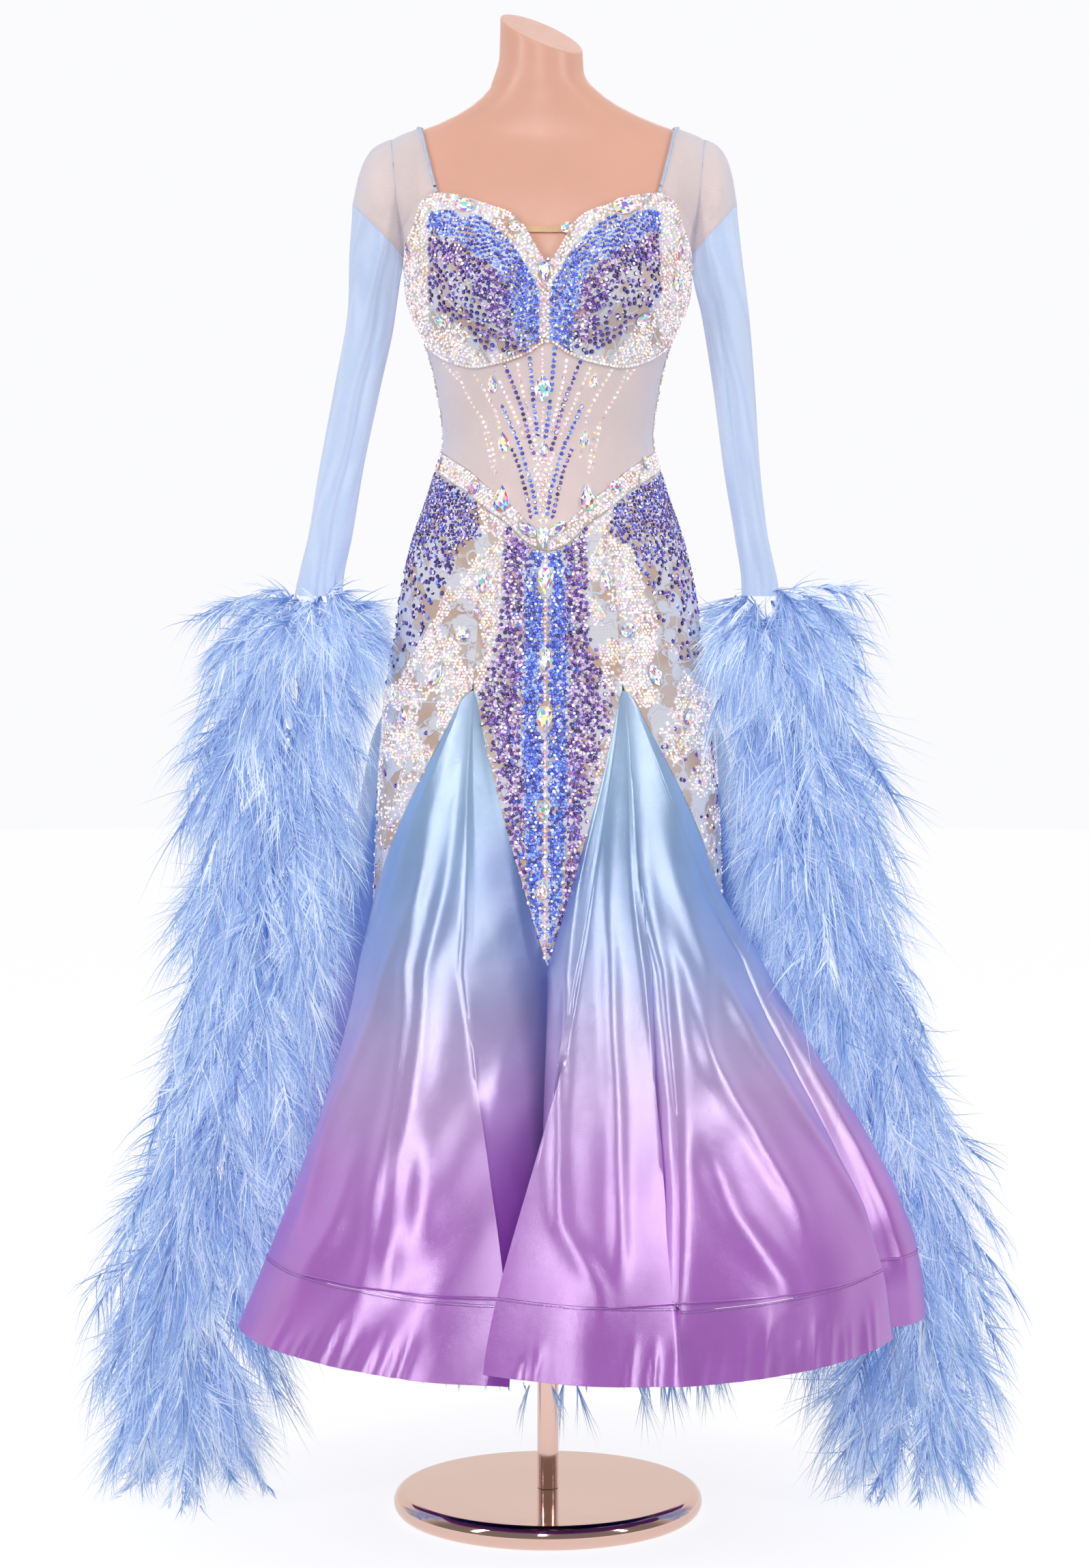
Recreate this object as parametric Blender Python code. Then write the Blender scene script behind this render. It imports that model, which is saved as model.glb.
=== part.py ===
"""A ballroom gown on a limbless dress form with a round stand.

Metres, +Z up, the gown's front towards -Y and its own left and right seen from the front, so "left" is -X.
The origin is the middle of the stand's foot on the floor.
Angles around the figure run from 0 at the centre front towards +X, and 180 degrees is the centre back.
"""

import bisect
import math
import random

import bmesh
import bpy
from mathutils import Vector
from mathutils.bvhtree import BVHTree

# ---- driving sizes -------------------------------------------------------------------------------------
SEAM = 0.0004  # gap between two pieces at a seam
MESH_WALL = 0.0012  # sheer stretch mesh
SATIN_WALL = 0.0013
LACE_WALL = 0.0022  # lace with its stones set on it
BAND_WALL = 0.0030  # neckline and hip band, thick with stones
EASE = 0.0022  # from the dress form to the inside of the cloth
CUP_EASE = 0.0034  # the bust cups are firmer and stand further off
FORM_INSET = 0.0006

FOOT_RADIUS, FOOT_HEIGHT, FOOT_ROUND = 0.175, 0.027, 0.0125
POLE_RADIUS = 0.012
FORM_BOTTOM = 0.900
SOCKET_HEIGHT, SOCKET_RADIUS = 0.022, 0.024

HEM = 0.240  # height of the skirt's lower edge
BAND_TOP = 0.315  # height of the hem band's stitched upper edge
TIP = 0.640  # height of the lowest point of each lace panel
FRONT_APEX, BACK_APEX = 0.940, 1.000  # heights of the godets' upper points
FRONT_APEX_ANGLE, BACK_APEX_ANGLE = 27.0, 130.0
SIDE_ANGLE = 90.0
HIP_BAND_WIDTH = 0.0215
CUP_SIDE = 86.0  # the angle of the cups' side seam
TIP_GAP = 0.003  # a lace panel's point stops this far above the godets' seam
PUFF = 0.004  # how far a godet stands off the lace just below its apex
UNDERSKIRT_HEM = 0.190
ELASTIC_HEIGHT, ELASTIC_WIDTH, ELASTIC_HALF = 1.4385, 0.0060, 0.0245

WRIST = 1.040  # height of the sleeves' lower ends
SLEEVE_WALL = 0.0013
SLEEVE_COLUMNS = 18
SLEEVE_FOLDS = 3  # long folds round an empty sleeve
HEAD_BULGE = 0.017  # fullness of the sleeve head
ARMHOLE_TOP = Vector((-0.1720, 0.004, 1.5400))
ARMHOLE_BOTTOM = Vector((-0.1575, 0.004, 1.4080))

YOKE_EASE = 0.0016
YOKE_COLUMNS = 6
YOKE_TURNS = [180, 160, 140, 120, 100, 80, 60, 40, 20, 0]  # turns of the armhole where a yoke has its rows
SHOULDER_AXIS_Z = 1.455
NECKLINE_FRONT = (-38.0, 1.4794)  # where the neckline leaves the bust cup: angle and height
NECKLINE_BACK = (-146.0, 1.4404)
NECKLINE_SHOULDER_X = -0.1420

NECK_MIDDLE = Vector((-0.0070, 0.004, 1.661))
NECK_SLOPE_X, NECK_SLOPE_Y = -0.40, 0.36  # rise of the neck's cut face per metre to the right and to the back
NECK_STRAIGHT = 1.600  # below this height the neck's sections are level

FLOOR_CLEARANCE = 0.004  # the feathers end this far above the floor

# The dress form's level sections. The front and back depths are measured from the y = 0 plane.
FORM_SECTIONS = [
    # height, half_width, front, back, squareness (2 is an ellipse)
    (0.900, 0.1480, 0.0900, 0.1080, 2.0),
    (0.912, 0.1600, 0.0990, 0.1180, 2.0),
    (0.950, 0.1680, 0.1050, 0.1240, 2.0),
    (1.005, 0.1655, 0.1070, 0.1230, 2.0),
    (1.092, 0.1490, 0.0990, 0.1110, 2.0),
    (1.160, 0.1265, 0.0890, 0.0935, 2.0),
    (1.215, 0.1130, 0.0825, 0.0840, 2.0),
    (1.265, 0.1190, 0.0850, 0.0880, 2.0),
    (1.318, 0.1320, 0.0910, 0.0940, 2.0),
    (1.375, 0.1530, 0.0960, 0.0985, 2.1),
    (1.405, 0.1545, 0.0960, 0.1000, 2.2),
    (1.440, 0.1640, 0.0900, 0.0980, 2.4),
    (1.480, 0.1810, 0.0780, 0.0890, 2.6),
    (1.508, 0.1890, 0.0640, 0.0750, 2.6),
    (1.528, 0.1850, 0.0530, 0.0650, 2.4),
    (1.542, 0.1700, 0.0470, 0.0590, 2.2),
    (1.553, 0.1440, 0.0445, 0.0570, 2.0),
    (1.564, 0.1140, 0.0440, 0.0560, 2.0),
    (1.582, 0.0800, 0.0450, 0.0550, 2.0),
    (1.602, 0.0570, 0.0450, 0.0540, 2.0),
    (1.630, 0.0465, 0.0445, 0.0530, 2.0),
    (1.700, 0.0450, 0.0440, 0.0520, 2.0),
]
BUST_APEX_X, BUST_APEX_Z, BUST_FULLNESS = 0.074, 1.372, 0.026
BUST_SPREAD_X, BUST_SPREAD_UP, BUST_SPREAD_DOWN = 0.046, 0.060, 0.042

# Where the skirt's smooth lace shape leaves the form below the hips: inside of the cloth.
SKIRT_SECTIONS = [
    # height, half_width, front, back
    (0.100, 0.2050, 0.1800, 0.2080),
    (0.240, 0.2020, 0.1760, 0.2040),
    (0.640, 0.1960, 0.1580, 0.1820),
    (0.740, 0.1925, 0.1460, 0.1680),
    (0.829, 0.1880, 0.1330, 0.1530),
    (0.917, 0.1815, 0.1195, 0.1385),
    (0.960, 0.1760, 0.1135, 0.1315),
    (1.005, 0.1655 + EASE, 0.1070 + EASE, 0.1230 + EASE),
]

# Each edge runs from the centre front to the side seam.
CUP_EDGES = [
    # angle, top, bottom
    (0.0, 1.403, 1.318),
    (5.8, 1.422, 1.311),
    (9.0, 1.440, 1.306),
    (13.3, 1.455, 1.302),
    (22.0, 1.466, 1.296),
    (30.7, 1.476, 1.2925),
    (38.0, 1.479, 1.2905),
    (45.0, 1.471, 1.2920),
    (50.0, 1.458, 1.2945),
    (58.0, 1.441, 1.2990),
    (75.0, 1.416, 1.3130),
    (86.0, 1.402, 1.3250),
]
HIP_BAND_TOP = [
    # angle, height
    (0.0, 1.112),
    (6.2, 1.117),
    (17.5, 1.140),
    (29.0, 1.157),
    (46.0, 1.179),
    (70.0, 1.194),
    (90.0, 1.199),
    (120.0, 1.192),
    (150.0, 1.176),
    (180.0, 1.156),
]
# Angles of the columns along the hip band, which its neighbours share, from the centre front to the centre back.
BAND_ANGLES = [0, 6.2, 12, 17.5, 22, FRONT_APEX_ANGLE, 37, 46, 54, 64, 75, 86, 97, 108, 119, BACK_APEX_ANGLE]
BAND_ANGLES += [142, 155, 168, 180]
BACK_BODICE_TOP = [
    # angle, height
    (86.0, 1.402),
    (105.0, 1.412),
    (125.0, 1.432),
    (145.0, 1.440),
    (160.0, 1.405),
    (180.0, 1.372),
]

# The folds of the skirt at the hem, in order round it: each starts in a valley and rises to a crest.
# lip is how far, in degrees, a crest hangs over its own neck; bell is how early the fold flares; low is how
# far below HEM its edge hangs at each end of its crest.
FOLDS = [
    # godet, valley, valley_radius, crest_from, crest_to, radius_from, radius_to, lip_from, lip_to, bell, columns,
    # low_from, low_to
    ("front_right", -0.5, 0.215, -9.4, 19.4, 0.410, 0.416, 4.6, 1.4, 0.5, 12, -0.009, 0.006),
    ("front_right", 18.2, 0.376, 21.0, 62.0, 0.402, 0.430, 0.0, 0.0, 0.8, 9, 0.010, -0.001),
    ("front_right", 66.5, 0.378, 73.0, 85.0, 0.428, 0.424, 0.0, 0.0, 0.9, 5, -0.002, 0.0),
    ("back_right", 97.0, 0.264, 119.0, 140.0, 0.440, 0.446, 0.0, 1.0, 0.6, 7, 0.0, 0.004),
    ("back_right", 144.0, 0.330, 149.0, 174.0, 0.450, 0.440, 1.0, 0.0, 0.6, 7, 0.003, 0.0),
    ("back_left", 180.0, 0.245, 186.0, 211.0, 0.440, 0.450, 0.0, 1.0, 0.6, 7, 0.0, 0.004),
    ("back_left", 216.0, 0.330, 220.0, 241.0, 0.446, 0.440, 1.0, 0.0, 0.6, 7, 0.003, 0.0),
    ("front_left", 263.0, 0.256, 288.0, 353.2, 0.368, 0.378, 0.0, 1.0, 0.12, 13, 0.0, 0.010),
]
GODETS = {
    # godet: apex_angle, apex_height, first_seam_angle_at_tip, last_seam_angle_at_tip, crowding at the two seams
    "front_right": (FRONT_APEX_ANGLE, FRONT_APEX, 0.0, SIDE_ANGLE, 1.55, 1.0),
    "back_right": (BACK_APEX_ANGLE, BACK_APEX, SIDE_ANGLE, 180.0, 1.0, 1.0),
    "back_left": (360.0 - BACK_APEX_ANGLE, BACK_APEX, 180.0, 360.0 - SIDE_ANGLE, 1.0, 1.0),
    "front_left": (360.0 - FRONT_APEX_ANGLE, FRONT_APEX, 360.0 - SIDE_ANGLE, 360.0, 1.0, 0.70),
}
PANELS = {
    # lace panel: godet before it, godet after it, columns
    "front": ("front_left", "front_right", 11),
    "right": ("front_right", "back_right", 11),
    "back": ("back_right", "back_left", 9),
    "left": ("back_left", "front_left", 11),
}
UNDERSKIRT_CLEARANCES = [
    # height, clearance inside the lace skirt
    (UNDERSKIRT_HEM, 0.0130),
    (0.340, 0.0120),
    (0.500, 0.0100),
    (0.640, 0.0080),
    (0.760, 0.0060),
    (0.870, 0.0050),
    (0.972, 0.0021),
]
UPPER_SHARES = (0.0, 0.34, 0.68)  # rows of a lace panel between the hip band and the first of SKIRT_ROWS
SKIRT_ROWS = [1.000, 0.940, 0.885, 0.825, 0.765, 0.700, TIP, 0.570, 0.490, 0.410, 0.355, BAND_TOP]
HEM_ROWS = [BAND_TOP, 0.278, HEM]
# Rings of the empty sleeves, which hang a little differently. Each ring is an oval in a plane that leans:
# its outer end stands higher than its inner end by twice the rise. The x columns are distances from the middle.
SLEEVE_SECTIONS = [
    # height, left_x, left_half_width, right_x, right_half_width, half_depth, rise, fold_depth
    (1.4440, 0.1885, 0.0255, 0.1840, 0.0230, 0.0470, 0.0270, 0.00),
    (1.4000, 0.1925, 0.0250, 0.1890, 0.0235, 0.0450, 0.0160, 0.10),
    (1.3528, 0.1960, 0.0235, 0.1970, 0.0230, 0.0430, 0.0060, 0.22),
    (1.2700, 0.2120, 0.0228, 0.2070, 0.0205, 0.0410, 0.0020, 0.30),
    (1.1792, 0.2305, 0.0225, 0.2162, 0.0180, 0.0380, 0.0000, 0.32),
    (1.1100, 0.2425, 0.0228, 0.2265, 0.0165, 0.0360, 0.0000, 0.30),
    (WRIST, 0.2555, 0.0235, 0.2375, 0.0180, 0.0350, 0.0000, 0.24),
]

# Centre lines and reach of the hanging feather boas. The x columns are distances from the middle.
BOA_SECTIONS = [
    # left_x, right_x, y, z, reach
    (0.2780, 0.2560, 0.0030, 1.0228, 0.060),
    (0.2880, 0.2640, 0.0060, 0.9900, 0.075),
    (0.3020, 0.2730, 0.0100, 0.9300, 0.100),
    (0.3060, 0.2800, 0.0150, 0.8300, 0.106),
    (0.3140, 0.2920, 0.0250, 0.7400, 0.104),
    (0.3260, 0.3190, 0.0350, 0.6500, 0.104),
    (0.3460, 0.3430, 0.0450, 0.5600, 0.105),
    (0.3680, 0.3670, 0.0550, 0.4700, 0.107),
    (0.3900, 0.3890, 0.0620, 0.3800, 0.110),
    (0.4080, 0.4070, 0.0650, 0.2900, 0.112),
    (0.4170, 0.4180, 0.0600, 0.2000, 0.110),
    (0.4150, 0.4200, 0.0500, 0.1250, 0.104),
    (0.4110, 0.4200, 0.0400, 0.0740, 0.090),
]
BOA_CORE = 0.0150
BOA_SEGMENTS = 31
CUFF_SEGMENTS, CUFF_WIDTH, CUFF_HEIGHT = 16, 0.006, 0.016
HEM_TRIM_LOCKS, HEM_TRIM_WIDTH, HEM_TRIM_HEIGHT, HEM_TRIM_ROOT = 20, 0.004, 0.006, 2.4
LOCK_SLANT, LOCK_DROOP, LOCK_MARGIN = 0.35, 0.75, 0.013


# ---- shapes of the figure ------------------------------------------------------------------------------
def table_value(table, key, column):
    """The column's value at this key, on a smooth curve through the table's rows."""
    keys = [row[0] for row in table]
    if key <= keys[0]:
        return table[0][column]
    if key >= keys[-1]:
        return table[-1][column]
    i = bisect.bisect_right(keys, key) - 1
    x0, x1 = keys[i], keys[i + 1]
    y0, y1 = table[i][column], table[i + 1][column]

    def slope(j):
        if j == 0 or j == len(keys) - 1:
            return 0.0
        before = (table[j][column] - table[j - 1][column]) / (keys[j] - keys[j - 1])
        after = (table[j + 1][column] - table[j][column]) / (keys[j + 1] - keys[j])
        # a harmonic mean keeps the curve from overshooting
        return 0.0 if before * after <= 0 else 2 * before * after / (before + after)

    span = x1 - x0
    u = (key - x0) / span
    m0, m1 = slope(i) * span, slope(i + 1) * span
    return (
        (2 * u**3 - 3 * u**2 + 1) * y0
        + (u**3 - 2 * u**2 + u) * m0
        + (3 * u**2 - 2 * u**3) * y1
        + (u**3 - u**2) * m1
    )


def smooth(low, high, value):
    u = min(1.0, max(0.0, (value - low) / (high - low)))
    return u * u * (3 - 2 * u)


def bust(x, z):
    """How far the bust stands forward of the level sections."""
    spread = BUST_SPREAD_UP if z > BUST_APEX_Z else BUST_SPREAD_DOWN
    across = ((abs(x) - BUST_APEX_X) / BUST_SPREAD_X) ** 2
    return BUST_FULLNESS * math.exp(-across - ((z - BUST_APEX_Z) / spread) ** 2)


def neck_lean(z):
    """The neck stands a little to the left of the body."""
    return NECK_MIDDLE.x * smooth(1.550, 1.615, z)


def form_point(angle, z, out=0.0):
    """A point of the dress form's surface, moved out along its normal."""
    half_width = table_value(FORM_SECTIONS, z, 1)
    power = table_value(FORM_SECTIONS, z, 4)
    t = math.radians(angle)
    depth = table_value(FORM_SECTIONS, z, 2 if math.cos(t) > 0 else 3)
    grow = (abs(math.sin(t)) ** power + abs(math.cos(t)) ** power) ** (-1 / power)
    x = half_width * math.sin(t) * grow
    y = -depth * math.cos(t) * grow
    if math.cos(t) > 0:
        y -= bust(x, z) * math.cos(t) ** 0.5
    point = Vector((x + neck_lean(z), y, z))
    return point if out == 0 else point + form_normal(angle, z) * out


def form_normal(angle, z):
    step = 0.004
    around = form_point(angle + 0.8, z) - form_point(angle - 0.8, z)
    up = form_point(angle, z + step) - form_point(angle, z - step)
    return around.cross(up).normalized()


def skirt_point(angle, z):
    """The inside of the smooth lace skirt, with no godets."""
    top = SKIRT_SECTIONS[-1][0]
    if z >= top:
        return form_point(angle, z, EASE)
    half_width = table_value(SKIRT_SECTIONS, z, 1)
    t = math.radians(angle)
    depth = table_value(SKIRT_SECTIONS, z, 2 if math.cos(t) > 0 else 3)
    return Vector((half_width * math.sin(t), -depth * math.cos(t), z))


def inside_form(point):
    """Below 1 inside the dress form, above 1 outside it."""
    depth = table_value(FORM_SECTIONS, point.z, 2 if point.y < 0 else 3)
    power = table_value(FORM_SECTIONS, point.z, 4)
    y = abs(point.y) - (bust(point.x, point.z) if point.y < 0 else 0.0)
    return abs(point.x / table_value(FORM_SECTIONS, point.z, 1)) ** power + (max(y, 0.0) / depth) ** power


def out_of_form(start, direction, out):
    """Where a ray from inside the form leaves it, and then the clearance further on."""
    near, far = 0.0, 0.30
    for _ in range(40):
        middle = (near + far) / 2
        if inside_form(start + direction * middle) < 1:
            near = middle
        else:
            far = middle
    return start + direction * (near + out)


# ---- solids --------------------------------------------------------------------------------------------
def material(name, color, roughness, metallic=0.0):
    made = bpy.data.materials.new(name)
    made.use_nodes = True
    shader = made.node_tree.nodes["Principled BSDF"]
    shader.inputs["Base Color"].default_value = (*color, 1.0)
    shader.inputs["Roughness"].default_value = roughness
    shader.inputs["Metallic"].default_value = metallic
    return made


def add_object(name, points, faces, finish, sharp_degrees=40):
    mesh = bpy.data.meshes.new(name)
    mesh.from_pydata([tuple(p) for p in points], [], faces)
    mesh.shade_smooth()
    mesh.set_sharp_from_angle(angle=math.radians(sharp_degrees))
    mesh.materials.append(finish)
    made = bpy.data.objects.new(name, mesh)
    bpy.context.scene.collection.objects.link(made)
    return made


def add_wall(name, rows, outer_rows, finish, closed=False, top_point=None, tip_point=None):
    """A cloth wall between two matching grids, whose rows run downwards and whose columns run towards larger angles.

    closed joins the last column to the first. top_point and tip_point are (inner, outer) points that the
    first or last row runs to.
    """
    points, inner, outer = [], [], []
    for grid, index in ((rows, inner), (outer_rows, outer)):
        for row in grid:
            index.append(list(range(len(points), len(points) + len(row))))
            points.extend(row)
    columns = len(rows[0])
    steps = range(columns if closed else columns - 1)
    faces = []
    for i in range(len(rows) - 1):
        for j in steps:
            k = (j + 1) % columns
            faces.append((outer[i][j], outer[i + 1][j], outer[i + 1][k], outer[i][k]))
            faces.append((inner[i][j], inner[i][k], inner[i + 1][k], inner[i + 1][j]))

    def finish_edge(i, point_pair, is_top):
        if point_pair is None:
            for j in steps:
                k = (j + 1) % columns
                rim = (inner[i][j], outer[i][j], outer[i][k], inner[i][k])
                faces.append(rim if is_top else rim[::-1])
            return None
        at = len(points)
        points.extend(point_pair)
        for j in steps:
            k = j + 1
            outside = (outer[i][j], outer[i][k], at + 1)
            inside = (inner[i][j], at, inner[i][k])
            faces.append(outside if is_top else outside[::-1])
            faces.append(inside if is_top else inside[::-1])
        return at

    top = finish_edge(0, top_point, True)
    tip = finish_edge(len(rows) - 1, tip_point, False)
    if not closed:
        for column, first in ((0, True), (columns - 1, False)):
            line = [(inner[i][column], outer[i][column]) for i in range(len(rows))]
            if top is not None:
                line.insert(0, (top, top + 1))
            if tip is not None:
                line.append((tip, tip + 1))
            for (a_in, a_out), (b_in, b_out) in zip(line, line[1:]):
                rim = (a_in, b_in, b_out, a_out)
                faces.append(rim if first else rim[::-1])
    return add_object(name, points, faces, finish)


def grid_of(point_at, u_values, v_values):
    """Rows of points, one row for each v."""
    return [[point_at(u, v) for u in u_values] for v in v_values]


def spread(first, last, count):
    """count values from first to last, evenly spaced."""
    return [first + (last - first) * i / (count - 1) for i in range(count)]


def add_lathe(name, profile, sides, finish):
    """A turned solid: profile is (radius, height) pairs from its lower to its upper middle."""
    points = [Vector((0, 0, profile[0][1]))]
    for radius, height in profile[1:-1]:
        for k in range(sides):
            a = 2 * math.pi * k / sides
            points.append(Vector((radius * math.cos(a), radius * math.sin(a), height)))
    points.append(Vector((0, 0, profile[-1][1])))
    rings = len(profile) - 2
    faces = []
    for k in range(sides):
        n = (k + 1) % sides
        faces.append((0, 1 + n, 1 + k))
        for r in range(rings - 1):
            a, b = 1 + r * sides, 1 + (r + 1) * sides
            faces.append((a + k, a + n, b + n, b + k))
        last = 1 + (rings - 1) * sides
        faces.append((last + k, last + n, len(points) - 1))
    return add_object(name, points, faces, finish, sharp_degrees=30)


# ---- stand and dress form ------------------------------------------------------------------------------
def make_stand(finish):
    flat = FOOT_RADIUS - FOOT_ROUND
    edge = [
        (flat + FOOT_ROUND * math.cos(a), FOOT_HEIGHT / 2 + FOOT_HEIGHT / 2 * math.sin(a))
        for a in spread(-math.pi / 2, math.pi / 2, 7)
    ]
    add_lathe("stand_foot", [(0, 0), *edge, (0, FOOT_HEIGHT)], 40, finish)
    top = FORM_BOTTOM - SOCKET_HEIGHT - SEAM
    low = FOOT_HEIGHT + SEAM
    pole = [(0, low), (POLE_RADIUS, low), (POLE_RADIUS, top), (0, top)]
    add_lathe("stand_pole", pole, 20, finish)
    low, top = top + SEAM, FORM_BOTTOM - SEAM
    step = SOCKET_HEIGHT * 0.4
    socket = [(0, low), (SOCKET_RADIUS * 0.75, low), (SOCKET_RADIUS, low + step), (SOCKET_RADIUS, top), (0, top)]
    add_lathe("stand_socket", socket, 24, finish)


def make_form(finish):
    """One closed body: level sections to the neck, then sections that tilt to the neck's sloping cut face."""
    heights = [FORM_BOTTOM, 0.912, 0.950, 1.005, 1.050, 1.092, 1.130, 1.165, 1.190, 1.215, 1.240, 1.268, 1.300]
    heights += [1.328, 1.352, 1.375, 1.400, 1.425, 1.450, 1.478, 1.500, 1.516, 1.530, 1.542, 1.553, 1.566, 1.582]
    heights += [NECK_STRAIGHT]
    sides = 32
    angles = [360 * k / sides for k in range(sides)]
    rows = [[form_point(a, z, -FORM_INSET) for a in angles] for z in heights]

    def cut_height(point):
        return (
            NECK_MIDDLE.z
            + NECK_SLOPE_X * (point.x - NECK_MIDDLE.x)
            + NECK_SLOPE_Y * (point.y - NECK_MIDDLE.y)
        )

    for share in (0.35, 0.70, 1.0):
        level = NECK_STRAIGHT + (NECK_MIDDLE.z - NECK_STRAIGHT) * share
        row = []
        for a in angles:
            point = form_point(a, level)
            point.z = NECK_STRAIGHT + (cut_height(point) - NECK_STRAIGHT) * share
            row.append(point)
        rows.append(row)
    points = [p for row in rows for p in row]
    faces = []
    for i in range(len(rows) - 1):
        for k in range(sides):
            n = (k + 1) % sides
            faces.append((i * sides + k, i * sides + n, (i + 1) * sides + n, (i + 1) * sides + k))
    faces.append(tuple(range(sides))[::-1])
    last = (len(rows) - 1) * sides
    faces.append(tuple(range(last, last + sides)))
    add_object("dress_form", points, faces, finish)


# ---- bodice --------------------------------------------------------------------------------------------
def body_wall(name, angles, top_at, bottom_at, row_count, wall, finish, closed=False, ease=EASE, low_angles=None):
    """A piece of cloth on the figure between two edges, which are heights at each angle.

    low_angles are the columns' angles at the lower edge, where they differ from those at the upper edge.
    """
    low_angles = low_angles or angles

    def point_at(j, v, out):
        high, low = top_at(angles[j]), bottom_at(low_angles[j])
        angle = angles[j] + (low_angles[j] - angles[j]) * v
        return form_point(angle, high + (low - high) * v, out)

    columns, shares = range(len(angles)), spread(0, 1, row_count)
    inner = grid_of(lambda j, v: point_at(j, v, ease), columns, shares)
    outer = grid_of(lambda j, v: point_at(j, v, ease + wall), columns, shares)
    return add_wall(name, inner, outer, finish, closed=closed)


def cup_top(angle):
    return table_value(CUP_EDGES, fold_angle(angle), 1)


def cup_bottom(angle):
    return table_value(CUP_EDGES, fold_angle(angle), 2)


def fold_angle(angle):
    """The angle's distance from the centre front, 0 to 180, the same on both sides."""
    turned = abs((angle + 180) % 360 - 180)
    return turned


def band_top(angle):
    return table_value(HIP_BAND_TOP, fold_angle(angle), 1)


def band_bottom(angle):
    return band_top(angle) - HIP_BAND_WIDTH


def back_top(angle):
    return table_value(BACK_BODICE_TOP, fold_angle(angle), 1)


def seam_degrees(z):
    """The angle that half a seam's gap takes at the side."""
    return math.degrees(SEAM / 2 / table_value(FORM_SECTIONS, z, 2))


def both_sides(angles):
    """These angles and their mirror images, in order, with the first one as the middle."""
    return [-a for a in reversed(angles[1:])] + list(angles)


def make_bodice(lace, mesh, elastic):
    half = seam_degrees(1.36) * 1.6
    side = CUP_SIDE - half
    cup_angles = [half] + [row[0] for row in CUP_EDGES[1:-1]] + [side]
    body_wall("bust_cup_right", cup_angles, cup_top, cup_bottom, 9, LACE_WALL, lace, ease=CUP_EASE)
    mirrored = [-a for a in reversed(cup_angles)]
    body_wall("bust_cup_left", mirrored, cup_top, cup_bottom, 9, LACE_WALL, lace, ease=CUP_EASE)
    body_wall(
        "midriff_front",
        both_sides([0] + cup_angles[1:]),
        lambda a: cup_bottom(a) - SEAM,
        lambda a: band_top(a) + SEAM,
        6,
        MESH_WALL,
        mesh,
        low_angles=both_sides(BAND_ANGLES[:11] + [side]),
    )
    back_angles = [CUP_SIDE + half] + [a for a in BAND_ANGLES if a > CUP_SIDE + 1]
    back_angles += [360 - a for a in reversed(back_angles[:-1])]
    body_wall("bodice_back", back_angles, back_top, lambda a: band_top(a) + SEAM, 9, LACE_WALL, lace)
    around = BAND_ANGLES + [360 - a for a in reversed(BAND_ANGLES[1:-1])]
    body_wall("hip_band", around, band_top, band_bottom, 2, BAND_WALL, lace, closed=True)
    make_elastic(elastic)


def make_elastic(finish):
    """The narrow strap that bridges the notch of the neckline."""
    angle = math.degrees(math.asin(ELASTIC_HALF / table_value(FORM_SECTIONS, ELASTIC_HEIGHT, 1)))
    inner, outer = [], []
    for z in (ELASTIC_HEIGHT + ELASTIC_WIDTH / 2, ELASTIC_HEIGHT - ELASTIC_WIDTH / 2):
        # it lies just inside the cups' wall, which it is sewn behind
        inner.append([form_point(a, z, CUP_EASE - SEAM - 0.0012) for a in spread(-angle, angle, 9)])
        outer.append([form_point(a, z, CUP_EASE - SEAM) for a in spread(-angle, angle, 9)])
    add_wall("neckline_elastic", inner, outer, finish)


# ---- shoulders and sleeves -----------------------------------------------------------------------------
def mirror_x(rows):
    return [[Vector((-p.x, p.y, p.z)) for p in row] for row in rows]


def form_tree():
    """A search tree over the figure's true surface from the waist to the neck."""
    heights = spread(1.30, 1.60, 61)
    angles = [360 * k / 144 for k in range(144)]
    points = [form_point(a, z) for z in heights for a in angles]
    faces = []
    for i in range(len(heights) - 1):
        for k in range(144):
            n = (k + 1) % 144
            faces.append((i * 144 + k, i * 144 + n, (i + 1) * 144 + n, (i + 1) * 144 + k))
    return BVHTree.FromPolygons(points, faces)


def on_form(tree, point, out):
    """The point brought to the figure's surface, and then out from it."""
    near, normal, _, _ = tree.find_nearest(point)
    return near + normal * out


def off_form(tree, point, out):
    """The point, moved out where it lies nearer to the figure than this."""
    near, normal, _, _ = tree.find_nearest(point)
    return near + normal * max(out, (point - near).dot(normal))


def armhole_point(turn, out=0.0):
    """A point of the left armhole. turn is 0 at the top, 90 at the front, 180 underneath and 270 at the back."""
    middle = (ARMHOLE_TOP + ARMHOLE_BOTTOM) / 2
    up = (ARMHOLE_TOP - ARMHOLE_BOTTOM).normalized()
    a = math.radians(turn)
    return out_of_form(middle, up * math.cos(a) + Vector((0, -1, 0)) * math.sin(a), out)


def neckline_point(share, back):
    """The neckline edge of the left shoulder, from the bodice up to the shoulder's top."""
    first, second = (NECKLINE_FRONT, NECKLINE_BACK)[back]
    corner = form_point(first, second)
    end_x = NECKLINE_SHOULDER_X
    x = corner.x + (end_x - corner.x) * share
    low_tilt = math.degrees(math.atan2(corner.z - SHOULDER_AXIS_Z, -corner.y)) % 360
    tilt = math.radians(low_tilt + (88 - low_tilt) * share)
    start = Vector((x, 0.0, SHOULDER_AXIS_Z))
    return out_of_form(start, Vector((0, -math.cos(tilt), math.sin(tilt))), 0.0)


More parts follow.
